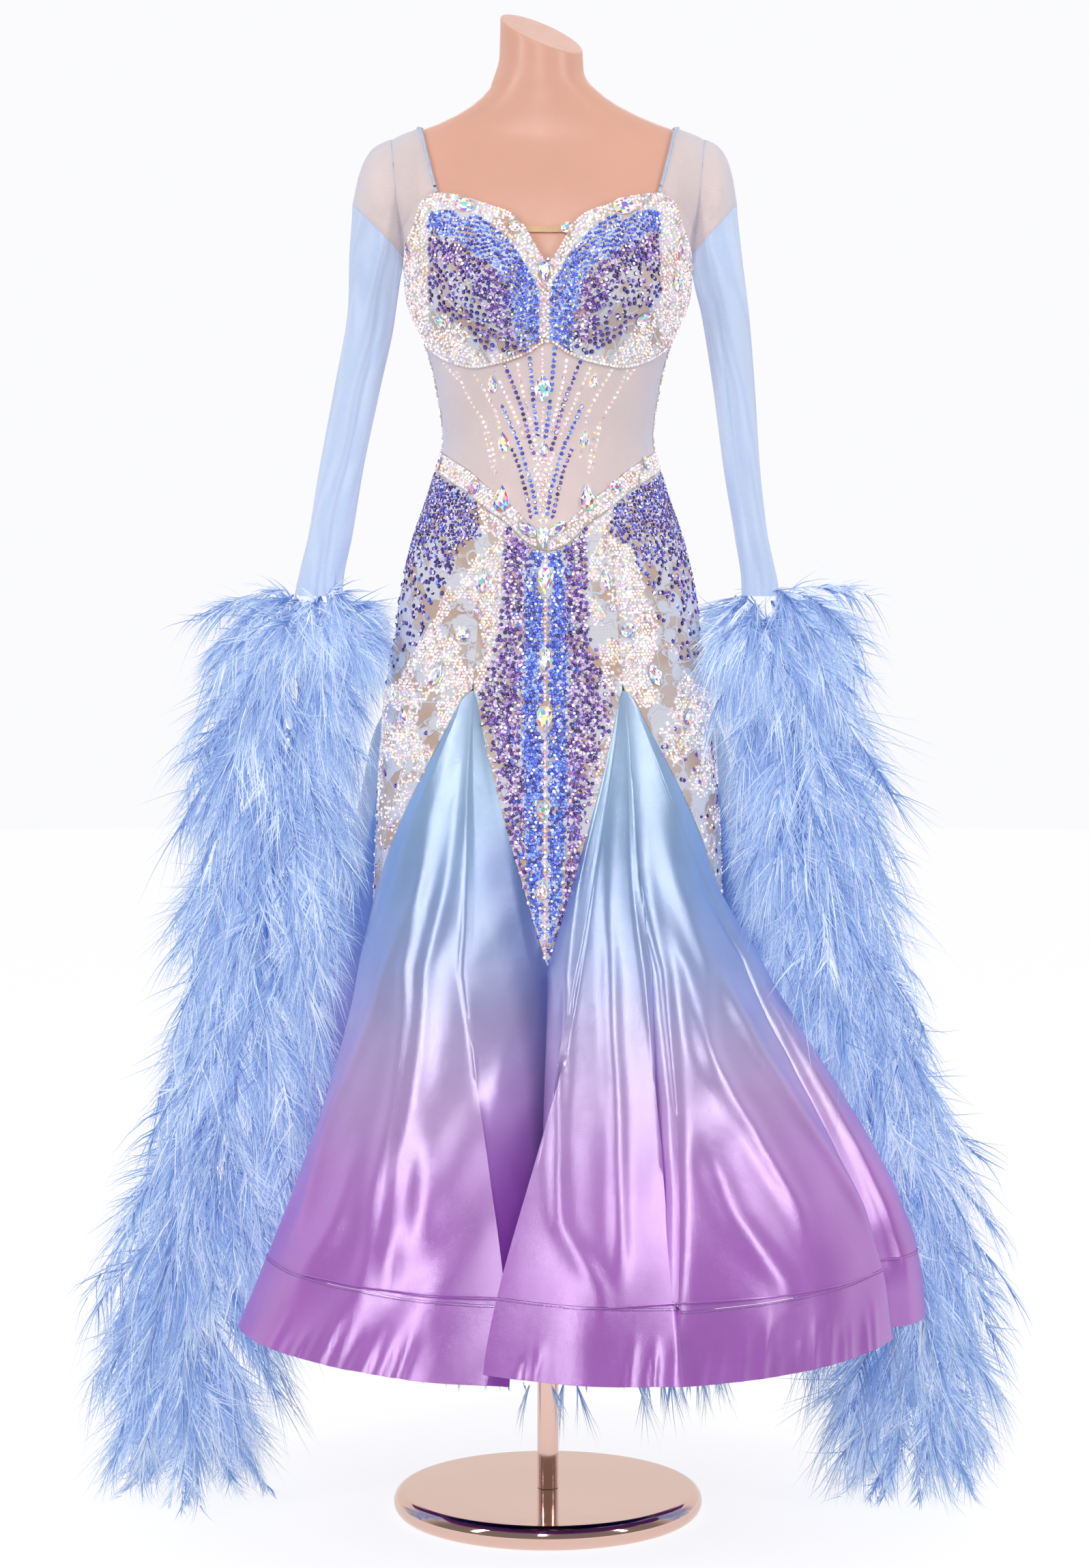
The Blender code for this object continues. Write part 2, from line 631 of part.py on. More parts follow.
def edge_blend(tree, low, high, start, end, out):
    """Rows of points between four edges, brought to the figure.

    low and high run from the neckline to the armhole, start and end from the bodice to the shoulder's top.
    """
    rows = []
    for i in range(len(start)):
        v = i / (len(start) - 1)
        row = []
        for j in range(len(low)):
            u = j / (len(low) - 1)
            ruled = low[j] * (1 - v) + high[j] * v + start[i] * (1 - u) + end[i] * u
            corners = low[0] * (1 - u) * (1 - v) + low[-1] * u * (1 - v) + high[0] * (1 - u) * v + high[-1] * u * v
            row.append(on_form(tree, ruled - corners, out))
        rows.append(row)
    return rows


def draw_in(rows, amount):
    """Draws every edge of a patch in by this much."""
    made = [[p.copy() for p in row] for row in rows]
    for i, row in enumerate(rows):
        for j, inner in ((0, 1), (len(row) - 1, len(row) - 2)):
            made[i][j] += (row[inner] - row[j]).normalized() * amount
    for i, inner in ((0, 1), (len(rows) - 1, len(rows) - 2)):
        for j in range(len(rows[0])):
            made[i][j] += (rows[inner][j] - rows[i][j]).normalized() * amount
    return made


def make_yokes(mesh):
    """The sheer cloth of each shoulder: a front and a back yoke that meet along the shoulder's top."""
    tree = form_tree()
    for name, back in (("yoke_front", False), ("yoke_back", True)):
        first = NECKLINE_BACK if back else NECKLINE_FRONT
        edge_at = back_top if back else cup_top
        last_angle = -(CUP_SIDE + 3.0) if back else -(CUP_SIDE - 2.0)
        low = [form_point(a, edge_at(a) + 0.0010) for a in spread(first[0], last_angle, YOKE_COLUMNS)]
        turns = [360 - t for t in YOKE_TURNS] if back else YOKE_TURNS
        start = [neckline_point(i / (len(turns) - 1), back) for i in range(len(turns))]
        end = [armhole_point(t) for t in turns]
        end[0] = low[-1]
        high = [start[-1].lerp(end[-1], j / (YOKE_COLUMNS - 1)) for j in range(YOKE_COLUMNS)]
        inner = draw_in(edge_blend(tree, low, high, start, end, YOKE_EASE), 2 * SEAM)
        outer = draw_in(edge_blend(tree, low, high, start, end, YOKE_EASE + MESH_WALL), 2 * SEAM)
        turn_out(add_wall(name + "_left", inner, outer, mesh))
        turn_out(add_wall(name + "_right", mirror_x(inner), mirror_x(outer), mesh))


def turn_out(made):
    """Makes every face of a closed body point outwards."""
    work = bmesh.new()
    work.from_mesh(made.data)
    bmesh.ops.recalc_face_normals(work, faces=work.faces)
    work.to_mesh(made.data)
    work.free()


def sleeve_ring(row, side, out):
    """One ring of a sleeve, from the outer end of its oval towards the front."""
    height, half_depth, rise, fold = row[0], row[5], row[6], row[7]
    centre_x, half_width = (row[1], row[2]) if side < 0 else (row[3], row[4])
    ring = []
    for k in range(SLEEVE_COLUMNS):
        a = 2 * math.pi * k / SLEEVE_COLUMNS
        shrink = 1 - fold * 0.5 * (1 + math.cos(SLEEVE_FOLDS * a + 0.9))
        x = side * math.cos(a) * (half_width * (1 - 0.35 * (1 - shrink)) + out)
        y = -math.sin(a) * (half_depth * shrink + out)
        ring.append(Vector((side * centre_x + x, y, height + side * x / half_width * rise)))
    return ring


def head_rows(tree, side, out):
    """The sleeve head, from the armhole down to the sleeve."""
    turns = [360 * k / SLEEVE_COLUMNS for k in range(SLEEVE_COLUMNS)]
    upper = [on_form(tree, armhole_point(t), YOKE_EASE + out) for t in turns]
    lower = [Vector((p.x * -side, p.y, p.z)) for p in sleeve_ring(SLEEVE_SECTIONS[0], side, out)]
    middle = sum(upper + lower, Vector()) / (2 * SLEEVE_COLUMNS)
    rows = []
    for share in (0.0, 0.25, 0.5, 0.75, 1.0):
        row = []
        for turn, a, b in zip(turns, upper, lower):
            point = a.lerp(b, share)
            if 0 < share < 1:
                away = ((a + b) / 2 - middle).normalized()
                over = 0.2 + 0.8 * max(0.0, math.cos(math.radians(turn)))
                point += away * HEAD_BULGE * over * math.sin(math.pi * share)
                point = off_form(tree, point, YOKE_EASE + 0.0006 + out)
            row.append(point)
        rows.append(row)
    rows[-1] = [p + (q - p).normalized() * SEAM for p, q in zip(rows[-1], rows[-2])]
    return rows if side < 0 else mirror_x(rows)


def make_sleeves(mesh, power_mesh):
    """The sheer sleeve head and the long empty sleeve of each arm."""
    tree = form_tree()
    for end, side in (("left", -1), ("right", 1)):
        inner, outer = head_rows(tree, side, 0.0), head_rows(tree, side, MESH_WALL)
        turn_out(add_wall("sleeve_head_" + end, inner, outer, mesh, closed=True))
        inner = [sleeve_ring(row, side, 0.0) for row in SLEEVE_SECTIONS]
        outer = [sleeve_ring(row, side, SLEEVE_WALL) for row in SLEEVE_SECTIONS]
        turn_out(add_wall("sleeve_" + end, inner, outer, power_mesh, closed=True))


# ---- skirt ---------------------------------------------------------------------------------------------
def polar(angle, radius, z):
    t = math.radians(angle)
    return Vector((radius * math.sin(t), -radius * math.cos(t), z))


def cone_radius(angle, z):
    """Distance from the axis to the smooth skirt at this polar angle."""
    t = math.radians(angle)
    half_width = table_value(SKIRT_SECTIONS, z, 1)
    depth = table_value(SKIRT_SECTIONS, z, 2 if math.cos(t) > 0 else 3)
    return 1 / math.hypot(math.sin(t) / half_width, math.cos(t) / depth)


def near_turn(angle, other):
    """The same direction as angle, counted within half a turn of other."""
    return angle + 360 * round((other - angle) / 360)


def polar_angle(point, near):
    return near_turn(math.degrees(math.atan2(point.x, -point.y)), near)


def polar_of_section(angle, z):
    """The polar angle of the point that skirt_point gives for a section angle."""
    return polar_angle(skirt_point(angle, z), angle)


def fold_outline(fold, next_fold, lips):
    """The points of one fold at the hem, valley to valley, with their heights counted from HEM.

    lips, 0 to 1, is how far its crest hangs over its neck.
    """
    _, valley, valley_radius, start, end, r_start, r_end, lip_start, lip_end, _, _, low_start, low_end = fold
    next_valley, next_radius = near_turn(next_fold[1], end), next_fold[2]
    neck = 0.018 * lips
    first, last = start + lip_start * lips, end - lip_end * lips
    points = [polar(valley, valley_radius, 0)]
    side = (valley + (first - valley) * 0.72, valley_radius + (r_start - valley_radius) * 0.52)
    points.append(polar(*side, -low_start * 0.5))
    if lip_start:
        points.append(polar(first, r_start - neck, -low_start))
    steps = max(2, round((end - start) / 14))
    for i in range(steps + 1):
        u = i / steps
        rounding = 0.010 if i in (0, steps) else 0.0
        radius = r_start + (r_end - r_start) * u - rounding
        points.append(polar(start + (end - start) * u, radius, -low_start - (low_end - low_start) * u))
    if lip_end:
        points.append(polar(last, r_end - neck, -low_end))
    side = (next_valley + (last - next_valley) * 0.72, next_radius + (r_end - next_radius) * 0.52)
    points.append(polar(*side, -low_end * 0.5))
    points.append(polar(next_valley, next_radius, 0))
    return points


def curve_through(points, count):
    """count points at even steps of length on a smooth curve through these."""
    ends = [points[0] * 2 - points[1], *points, points[-1] * 2 - points[-2]]
    fine = []
    for i in range(1, len(ends) - 2):
        p0, p1, p2, p3 = ends[i - 1 : i + 3]
        for k in range(12):
            u = k / 12
            fine.append(
                0.5 * (2 * p1 + (p2 - p0) * u + (2 * p0 - 5 * p1 + 4 * p2 - p3) * u**2 + (3 * p1 - p0 - 3 * p2 + p3) * u**3)
            )
    fine.append(ends[-2])
    lengths = [0.0]
    for a, b in zip(fine, fine[1:]):
        lengths.append(lengths[-1] + (b - a).length)
    made = []
    for k in range(count):
        want = lengths[-1] * k / (count - 1)
        i = min(bisect.bisect_right(lengths, want), len(fine) - 1)
        step = lengths[i] - lengths[i - 1]
        made.append(fine[i - 1].lerp(fine[i], (want - lengths[i - 1]) / step if step else 0.0))
    return made


def godet_hem(godet, lips):
    """The godet's hem columns, seam to seam: points at the hem, with the bell of each."""
    columns, bells = [], []
    for i, fold in enumerate(FOLDS):
        if fold[0] != godet:
            continue
        outline = fold_outline(fold, FOLDS[(i + 1) % len(FOLDS)], lips)
        path = curve_through(outline, fold[10] + 1)
        columns += path if not columns else path[1:]
        bells += [fold[9]] * (len(path) if not bells else len(path) - 1)
    return columns, bells


def flare(v, bell):
    """How far, 0 to 1, a godet has opened at v of its height, counted down from its apex."""
    return (1 - bell) * v**2.3 + bell * smooth(0.22, 0.95, v)


def seam_angle(apex_angle, apex_height, tip_angle, z):
    """A godet seam's section angle at this height, from its apex to the lace panel's tip."""
    share = min(1.0, max(0.0, (apex_height - z) / (apex_height - TIP)))
    return apex_angle + (tip_angle - apex_angle) * share


def crowded(share, first, last):
    """Moves the columns of a godet towards a seam, above 1, or away from it, below 1."""
    return share**first * (1 - share) + (1 - (1 - share) ** last) * share


def godet_row(godet, z):
    """The inside points of a godet at one height, seam to seam."""
    apex_angle, apex_height, first_tip, last_tip, first_crowd, last_crowd = GODETS[godet]
    first = polar_of_section(seam_angle(apex_angle, apex_height, first_tip, z), max(z, TIP))
    last = polar_of_section(seam_angle(apex_angle, apex_height, last_tip, z), max(z, TIP))
    v = (apex_height - z) / (apex_height - HEM)
    columns, bells = godet_hem(godet, smooth(0.30, 0.75, v))
    below_tip = min(1.0, max(0.0, (TIP - z) / (TIP - HEM)))
    turned = 1 - (1 - below_tip) ** 1.6
    lowered = smooth(0.0, 1.0, (0.720 - z) / (0.720 - HEM))
    row = []
    for j, (hem_point, bell) in enumerate(zip(columns, bells)):
        share = j / (len(columns) - 1)
        upper_angle = first + (last - first) * crowded(share, first_crowd, last_crowd)
        hem_angle = polar_angle(hem_point, upper_angle)
        angle = upper_angle + (hem_angle - upper_angle) * turned
        hem_excess = math.hypot(hem_point.x, hem_point.y) - cone_radius(hem_angle, HEM)
        open_share = flare(v, bell)
        if j in (0, len(columns) - 1):
            open_share = below_tip
        edge = min(1.0, 6 * min(share, 1 - share))
        puff = PUFF * math.sin(math.pi * min(1.0, v / 0.5)) * edge
        radius = cone_radius(angle, z) + hem_excess * open_share + puff
        row.append(polar(angle, radius, z + hem_point.z * lowered))
    return row


def panel_row(first_angle, last_angle, z, columns):
    return [skirt_point(a, z) for a in spread(first_angle, last_angle, columns)]


def panel_angles(panel, z):
    """The section angles of a lace panel's two seams at this height."""
    before, after, _ = PANELS[panel]
    apex, height, _, tip, *_ = GODETS[before]
    start = seam_angle(apex, height, tip, z)
    apex, height, tip, *_ = GODETS[after]
    end = seam_angle(apex, height, tip, z)
    while end < start - 1e-6:
        start -= 360
    return start, end


def ring_at(z):
    """Every piece of the skirt round one height: a list of (piece, points)."""
    ring = []
    for godet, panel in (("front_right", "right"), ("back_right", "back"), ("back_left", "left"), ("front_left", "front")):
        if z < GODETS[godet][1] - 1e-6:
            ring.append(("godet_" + godet, godet_row(godet, z)))
        if z > TIP + 1e-6:
            ring.append(("lace_" + panel, panel_row(*panel_angles(panel, z), z, PANELS[panel][2])))
    return ring


def with_normals(ring):
    """Adds to each piece the flat outward normals of the closed ring that all the pieces make."""
    line, owners = [], []
    for piece, points in ring:
        for j, p in enumerate(points):
            owners.append((piece, j))
            line.append(p)
    count = len(line)
    normals = {}
    for i, owner in enumerate(owners):
        before, after = i - 1, (i + 1) % count
        while (line[before] - line[i]).length < 1e-4:
            before -= 1
        while (line[after] - line[i]).length < 1e-4:
            after = (after + 1) % count
        tangent = (line[i] - line[before]).normalized() + (line[after] - line[i]).normalized()
        tangent.z = 0
        normals[owner] = Vector((tangent.y, -tangent.x, 0)).normalized()
    return {piece: (points, [normals[(piece, j)] for j in range(len(points))]) for piece, points in ring}


def inset_ends(points):
    """Draws a row's two ends in from their seams."""
    made = list(points)
    for end, inner in ((0, 1), (-1, -2)):
        step = points[inner] - points[end]
        made[end] = points[end] + step.normalized() * min(SEAM / 2 * 1.3, step.length * 0.4)
    return made


def wall_rows(piece, heights, wall):
    """Inner and outer rows of one skirt piece at these heights."""
    inner, outer = [], []
    for z in heights:
        points, normals = with_normals(ring_at(z))[piece]
        inner.append(inset_ends(points))
        outer.append(inset_ends([p + n * wall for p, n in zip(points, normals)]))
    return inner, outer


def make_lace_panels(lace):
    """Front, side and back lace panels, each from the hip band down to its point."""
    turn = BAND_ANGLES + [360 - a for a in reversed(BAND_ANGLES[1:-1])]
    for panel, (before, _, columns) in PANELS.items():
        first, last = panel_angles(panel, 1.05)
        gap = seam_degrees(1.1)
        between = sorted(near_turn(a, (first + last) / 2) for a in turn)
        high = [first + gap] + [a for a in between if first + 1 < a < last - 1] + [last - gap]
        low = spread(first + gap, last - gap, columns)
        inner, outer = [], []
        for share in UPPER_SHARES:
            angles = [a + (b - a) * share for a, b in zip(high, low)]
            tops = [band_bottom(a) - SEAM for a in high]
            heights = [top + (SKIRT_ROWS[0] - top) * share for top in tops]
            inner.append([form_point(a, z, EASE) for a, z in zip(angles, heights)])
            outer.append([form_point(a, z, EASE + LACE_WALL) for a, z in zip(angles, heights)])
        heights = [z for z in SKIRT_ROWS if z > TIP + 1e-6]
        lower_inner, lower_outer = wall_rows("lace_" + panel, heights, LACE_WALL)
        tip_at = skirt_point(GODETS[before][3], TIP + TIP_GAP)
        outward = Vector((tip_at.x, tip_at.y, 0)).normalized()
        tip = (tip_at, tip_at + outward * LACE_WALL)
        turn_out(add_wall("lace_" + panel, inner + lower_inner, outer + lower_outer, lace, tip_point=tip))


def make_godets(satin):
    """The four flared satin godets and the hem band that finishes each."""
    for godet, (apex_angle, apex_height, *_) in GODETS.items():
        piece = "godet_" + godet
        heights = [z for z in SKIRT_ROWS if z < apex_height - 1e-6]
        heights[-1] += SEAM
        inner, outer = wall_rows(piece, heights, SATIN_WALL)
        apex = skirt_point(apex_angle, apex_height - 0.004)
        outward = Vector((apex.x, apex.y, 0)).normalized()
        turn_out(add_wall(piece, inner, outer, satin, top_point=(apex, apex + outward * SATIN_WALL)))
        inner, outer = wall_rows(piece, HEM_ROWS, SATIN_WALL)
        turn_out(add_wall("hem_band_" + godet, inner, outer, satin))


def underskirt_point(angle, z, out):
    t = math.radians(angle)
    clear = table_value(UNDERSKIRT_CLEARANCES, z, 1) + SATIN_WALL - out
    half_width = table_value(SKIRT_SECTIONS, z, 1) - clear
    depth = table_value(SKIRT_SECTIONS, z, 2 if math.cos(t) > 0 else 3) - clear
    return Vector((half_width * math.sin(t), -depth * math.cos(t), z))


def make_underskirt(satin):
    heights = [row[0] for row in reversed(UNDERSKIRT_CLEARANCES)]
    angles = [360 * k / 32 for k in range(32)]
    inner = [[underskirt_point(a, z, 0.0) for a in angles] for z in heights]
    outer = [[underskirt_point(a, z, SATIN_WALL) for a in angles] for z in heights]
    turn_out(add_wall("underskirt", inner, outer, satin, closed=True))


# ---- feathers ------------------------------------------------------------------------------------------
class Fringe:
    """A narrow backing of square-sided rings with locks of feather grown out of its faces."""

    def __init__(self, name, finish):
        self.name, self.finish = name, finish
        self.points, self.faces = [], []

    def add_ring(self, ring):
        at = len(self.points)
        self.points.extend(ring)
        return list(range(at, at + len(ring)))

    def add_lock(self, face, stations):
        """Grows a lock from a backing face; stations are (middle, scale) pairs and the last is its tip."""
        middle = sum((self.points[i] for i in face), Vector()) / len(face)
        below = list(face)
        count = len(face)
        for centre, scale in stations[:-1]:
            ring = self.add_ring([centre + (self.points[i] - middle) * scale for i in face])
            for k in range(count):
                n = (k + 1) % count
                self.faces.append((below[k], below[n], ring[n], ring[k]))
            below = ring
        tip = self.add_ring([stations[-1][0]])[0]
        for k in range(count):
            self.faces.append((below[k], below[(k + 1) % count], tip))

    def finish_up(self):
        turn_out(add_object(self.name, self.points, self.faces, self.finish))


def boa_spine(side):
    """Evenly spaced points and reaches down the boa. side is -1 for the left boa and 1 for the right."""
    path = [Vector((side * (row[0] if side < 0 else row[1]), row[2], row[3])) for row in BOA_SECTIONS]
    spine = curve_through(path, BOA_SEGMENTS + 1)
    reaches = sorted((row[3], row[4]) for row in BOA_SECTIONS)
    return spine, [table_value(reaches, p.z, 1) for p in spine]


def solid_tree(names):
    """A search tree over the outside of these objects."""
    points, faces = [], []
    for name in names:
        mesh = bpy.data.objects[name].data
        at = len(points)
        points.extend(v.co.copy() for v in mesh.vertices)
        faces.extend([at + i for i in p.vertices] for p in mesh.polygons)
    return BVHTree.FromPolygons(points, faces)


def lock_point(root, direction, length, share):
    """A point along a lock, which droops as it goes out."""
    reach = length * share
    return root + direction * reach + Vector((0, 0, -LOCK_DROOP * reach * share))


def clear_length(root, direction, length, tree, margin):
    """The greatest length, up to this one, at which a lock stays clear of the cloth."""
    share = 1.0
    while share > 0.25:
        points = [lock_point(root, direction, length * share, u) for u in (0.35, 0.6, 0.8, 1.0)]
        ways = [p - root for p in points]
        near = any(tree.find_nearest(p, margin)[0] is not None for p in points)
        crosses = any(tree.ray_cast(root + w * 0.03, w.normalized(), w.length)[0] is not None for w in ways)
        if not near and not crosses:
            return length * share
        share -= 0.05
    return 0.0


def above_floor(root, direction, length, height):
    """The length at which the lock's tip ends no lower than this height."""
    while lock_point(root, direction, length, 1.0).z < height and length > 0.01:
        length *= 0.96
    return length


def grow(fringe, face, direction, length, tree, margin, tip_height):
    """Grows one lock from a face of the backing, or closes the face where there is no room."""
    middle = sum((fringe.points[i] for i in face), Vector()) / len(face)
    length = above_floor(middle, direction, length, tip_height)
    length = clear_length(middle, direction, length, tree, margin)
    if length < 0.012:
        fringe.faces.append(face)
        return
    stations = [(lock_point(middle, direction, length, u), scale) for u, scale in ((0.42, 0.85), (1.0, 0.0))]
    fringe.add_lock(face, stations)


def make_boa(name, side, tree, finish, chance):
    """A hanging boa: a cord with a lock on every other face of its six sides."""
    spine, reaches = boa_spine(side)
    fringe = Fringe(name, finish)
    corners = 6
    rings = []
    for i, p in enumerate(spine):
        ahead = (spine[min(i + 1, len(spine) - 1)] - spine[max(i - 1, 0)]).normalized()
        if i == 0:
            ahead = Vector((0, 0, -1))
        across = ahead.cross(Vector((0, 1, 0))).normalized()
        over = across.cross(ahead)
        radius = BOA_CORE * (0.45 if i in (0, len(spine) - 1) else 1.0)
        turns = [2 * math.pi * (k + 0.5) / corners for k in range(corners)]
        rings.append(fringe.add_ring([p + (across * math.cos(a) + over * math.sin(a)) * radius for a in turns]))
    for i in range(len(rings) - 1):
        centre = (spine[i] + spine[i + 1]) / 2
        for k in range(corners):
            n = (k + 1) % corners
            face = (rings[i][k], rings[i][n], rings[i + 1][n], rings[i + 1][k])
            if (k + i) % 2 or i == 0:
                fringe.faces.append(face)
                continue
            middle = sum((fringe.points[j] for j in face), Vector()) / 4
            outward = (middle - centre).normalized()
            low = i >= len(rings) - 3
            direction = (outward * (0.55 if low else 1.0) + Vector((0, 0, -0.8 if low else -LOCK_SLANT))).normalized()
            reach = (reaches[i] - BOA_CORE) * chance.uniform(0.98, 1.10)
            tip_height = FLOOR_CLEARANCE + chance.uniform(0.0, 0.014)
            grow(fringe, face, direction, reach, tree, LOCK_MARGIN, tip_height)
    fringe.faces.append(tuple(rings[0]))
    fringe.faces.append(tuple(rings[-1]))
    fringe.finish_up()


def make_ring_trim(name, inner_top, outer_top, height, finish, lock_at):
    """A backing band round an opening. lock_at gives (side, direction, length, margin) of each segment's lock."""
    fringe = Fringe(name, finish)
    count = len(inner_top)
    drop = Vector((0, 0, -height))
    lines = [inner_top, outer_top, [p + drop for p in outer_top], [p + drop for p in inner_top]]
    rings = [fringe.add_ring(line) for line in lines]
    for k in range(count):
        n = (k + 1) % count
        for side in range(4):
            a, b = rings[side], rings[(side + 1) % 4]
            face = (a[k], a[n], b[n], b[k])
            wanted, direction, length, tree, margin = lock_at(k)
            if side == wanted:
                grow(fringe, face, direction, length, tree, margin, FLOOR_CLEARANCE)
            else:
                fringe.faces.append(face)
    fringe.finish_up()


OUTSIDE, UNDERNEATH = 1, 2  # faces of a backing band


def make_cuff(name, side, tree, finish, chance):
    """The feather cuff at a sleeve's end, longest on its outer side."""
    row = SLEEVE_SECTIONS[-1]
    centre_x, half_width = (row[1], row[2]) if side < 0 else (row[3], row[4])
    centre = Vector((side * centre_x, 0, 0))
    turns = [2 * math.pi * (k + 0.5) / CUFF_SEGMENTS for k in range(CUFF_SEGMENTS)]

    def oval(a, out):
        offset = Vector((side * math.cos(a) * (half_width + out), -math.sin(a) * (row[5] * 0.86 + out), 0))
        return centre + offset + Vector((0, 0, WRIST - SEAM))

    def lock_at(k):
        a = (turns[k] + turns[(k + 1) % CUFF_SEGMENTS]) / 2 + (math.pi if k == CUFF_SEGMENTS - 1 else 0)
        outward = Vector((side * math.cos(a), -math.sin(a) * 0.9, 0)).normalized()
        outer = max(0.0, math.cos(a))
        length = 0.070 + 0.105 * outer**1.5
        lift = 0.42 if k % 2 else 0.05
        direction = (outward + Vector((0, 0, lift))).normalized()
        return OUTSIDE, direction, length * chance.uniform(0.96, 1.04), tree, 0.009

    inner = [oval(a, -0.0010) for a in turns]
    outer = [oval(a, CUFF_WIDTH) for a in turns]
    make_ring_trim(name, inner, outer, CUFF_HEIGHT, finish, lock_at)


def make_hem_trim(name, tree, finish, chance):
    """The wispy feather trim below the underskirt's edge: narrow locks, each HEM_TRIM_ROOT degrees wide."""
    angles = []
    for k in range(HEM_TRIM_LOCKS):
        middle = 360 * (k + chance.uniform(-0.2, 0.2)) / HEM_TRIM_LOCKS
        angles += [middle - HEM_TRIM_ROOT / 2, middle + HEM_TRIM_ROOT / 2]
    drop = Vector((0, 0, -SEAM))
    inner = [underskirt_point(a, UNDERSKIRT_HEM, -0.0012) + drop for a in angles]
    outer = [underskirt_point(a, UNDERSKIRT_HEM, HEM_TRIM_WIDTH) + drop for a in angles]

    def lock_at(k):
        a = math.radians(angles[k] + HEM_TRIM_ROOT / 2)
        spray = Vector((math.sin(a) * 0.35, -math.cos(a) * 0.35, 0))
        slant = Vector((math.cos(a), math.sin(a), 0)) * chance.uniform(-0.4, 0.4)
        direction = (spray + slant + Vector((0, 0, -1))).normalized()
        wanted = UNDERNEATH if k % 2 == 0 else None
        return wanted, direction, 0.030 * chance.uniform(0.7, 1.1), tree, 0.003

    make_ring_trim(name, inner, outer, HEM_TRIM_HEIGHT, finish, lock_at)


def make_feathers(finish):
    chance = random.Random(7)
    tree = solid_tree([o.name for o in bpy.data.objects if o.type == "MESH"])
    make_hem_trim("hem_feathers", tree, finish, chance)
    make_cuff("feather_cuff_left", -1, tree, finish, chance)
    make_cuff("feather_cuff_right", 1, tree, finish, chance)
    tree = solid_tree([o.name for o in bpy.data.objects if o.type == "MESH"])
    make_boa("feather_boa_left", -1, tree, finish, chance)
    make_boa("feather_boa_right", 1, tree, finish, chance)


# ---- the whole -----------------------------------------------------------------------------------------
def main():
    for old in list(bpy.data.objects):
        bpy.data.objects.remove(old)
    rose_gold = material("rose_gold", (0.86, 0.58, 0.50), 0.15, 1.0)
    skin = material("form_skin", (0.80, 0.50, 0.40), 0.45)
    lace = material("stone_lace", (0.80, 0.76, 0.84), 0.35)
    sheer = material("sheer_mesh", (0.76, 0.74, 0.78), 0.70)
    power_mesh = material("blue_mesh", (0.55, 0.70, 0.93), 0.70)
    satin = material("ombre_satin", (0.62, 0.50, 0.85), 0.25)
    under_satin = material("under_satin", (0.35, 0.50, 0.85), 0.35)
    elastic = material("skin_elastic", (0.85, 0.62, 0.40), 0.60)
    feather = material("ostrich_feather", (0.55, 0.70, 0.93), 0.80)
    make_stand(rose_gold)
    make_form(skin)
    make_bodice(lace, sheer, elastic)
    make_yokes(sheer)
    make_sleeves(sheer, power_mesh)
    make_lace_panels(lace)
    make_godets(satin)
    make_underskirt(under_satin)
    make_feathers(feather)


main()
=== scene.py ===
"""A ballroom gown of stone-set lace and ombre satin, worn by its limbless dress form on a round stand.

Metres, +Z up, the front towards -Y, "left" is -X. Angles round the figure start at the centre front and turn
towards +X.
"""

import math

import bmesh
import bpy
import numpy as np
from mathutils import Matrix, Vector, noise
from mathutils.bvhtree import BVHTree


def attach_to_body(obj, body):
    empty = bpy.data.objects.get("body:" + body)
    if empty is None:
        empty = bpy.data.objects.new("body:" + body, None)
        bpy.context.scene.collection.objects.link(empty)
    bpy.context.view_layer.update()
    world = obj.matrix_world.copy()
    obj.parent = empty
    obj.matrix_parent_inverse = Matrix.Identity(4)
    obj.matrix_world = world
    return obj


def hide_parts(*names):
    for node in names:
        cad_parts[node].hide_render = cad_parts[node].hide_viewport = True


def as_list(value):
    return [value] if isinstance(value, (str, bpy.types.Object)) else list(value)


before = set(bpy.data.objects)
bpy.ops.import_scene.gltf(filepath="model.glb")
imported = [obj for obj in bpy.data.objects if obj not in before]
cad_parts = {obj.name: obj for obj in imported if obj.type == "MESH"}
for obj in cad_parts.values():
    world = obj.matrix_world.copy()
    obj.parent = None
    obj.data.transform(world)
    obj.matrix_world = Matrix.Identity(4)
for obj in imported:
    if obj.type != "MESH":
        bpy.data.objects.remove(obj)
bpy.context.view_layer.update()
scene = bpy.context.scene

# ---- sizes that the solids share -----------------------------------------------------------------------
MESH_WALL, SATIN_WALL, LACE_WALL, BAND_WALL, SLEEVE_WALL = 0.0012, 0.0013, 0.0022, 0.0030, 0.0013
EASE, CUP_EASE, YOKE_EASE = 0.0022, 0.0034, 0.0016
SEAM, SEAM_HALF = 0.0004, 0.2  # the gap at a seam in metres, and half of it in degrees round the bodice
FOOT_RADIUS, FOOT_HEIGHT, FOOT_ROUND = 0.175, 0.027, 0.0125
POLE_RADIUS, FORM_BOTTOM, SOCKET_HEIGHT, SOCKET_RADIUS = 0.012, 0.900, 0.022, 0.024
HEM, BAND_TOP, TIP = 0.240, 0.315, 0.640
FRONT_APEX, BACK_APEX, FRONT_APEX_ANGLE, BACK_APEX_ANGLE, SIDE_ANGLE = 0.940, 1.000, 27.0, 130.0, 90.0
HIP_BAND_WIDTH, CUP_SIDE, TIP_GAP, PUFF = 0.0215, 86.0, 0.003, 0.004
UNDERSKIRT_HEM, WRIST, HEAD_BULGE = 0.190, 1.040, 0.017
ELASTIC_HEIGHT, ELASTIC_WIDTH, ELASTIC_HALF = 1.4385, 0.0060, 0.0245
ARMHOLE_TOP, ARMHOLE_BOTTOM = Vector((-0.1720, 0.004, 1.5400)), Vector((-0.1575, 0.004, 1.4080))
SHOULDER_AXIS_Z, NECKLINE_SHOULDER_X = 1.455, -0.1420
NECKLINE_FRONT, NECKLINE_BACK = (-38.0, 1.4794), (-146.0, 1.4404)
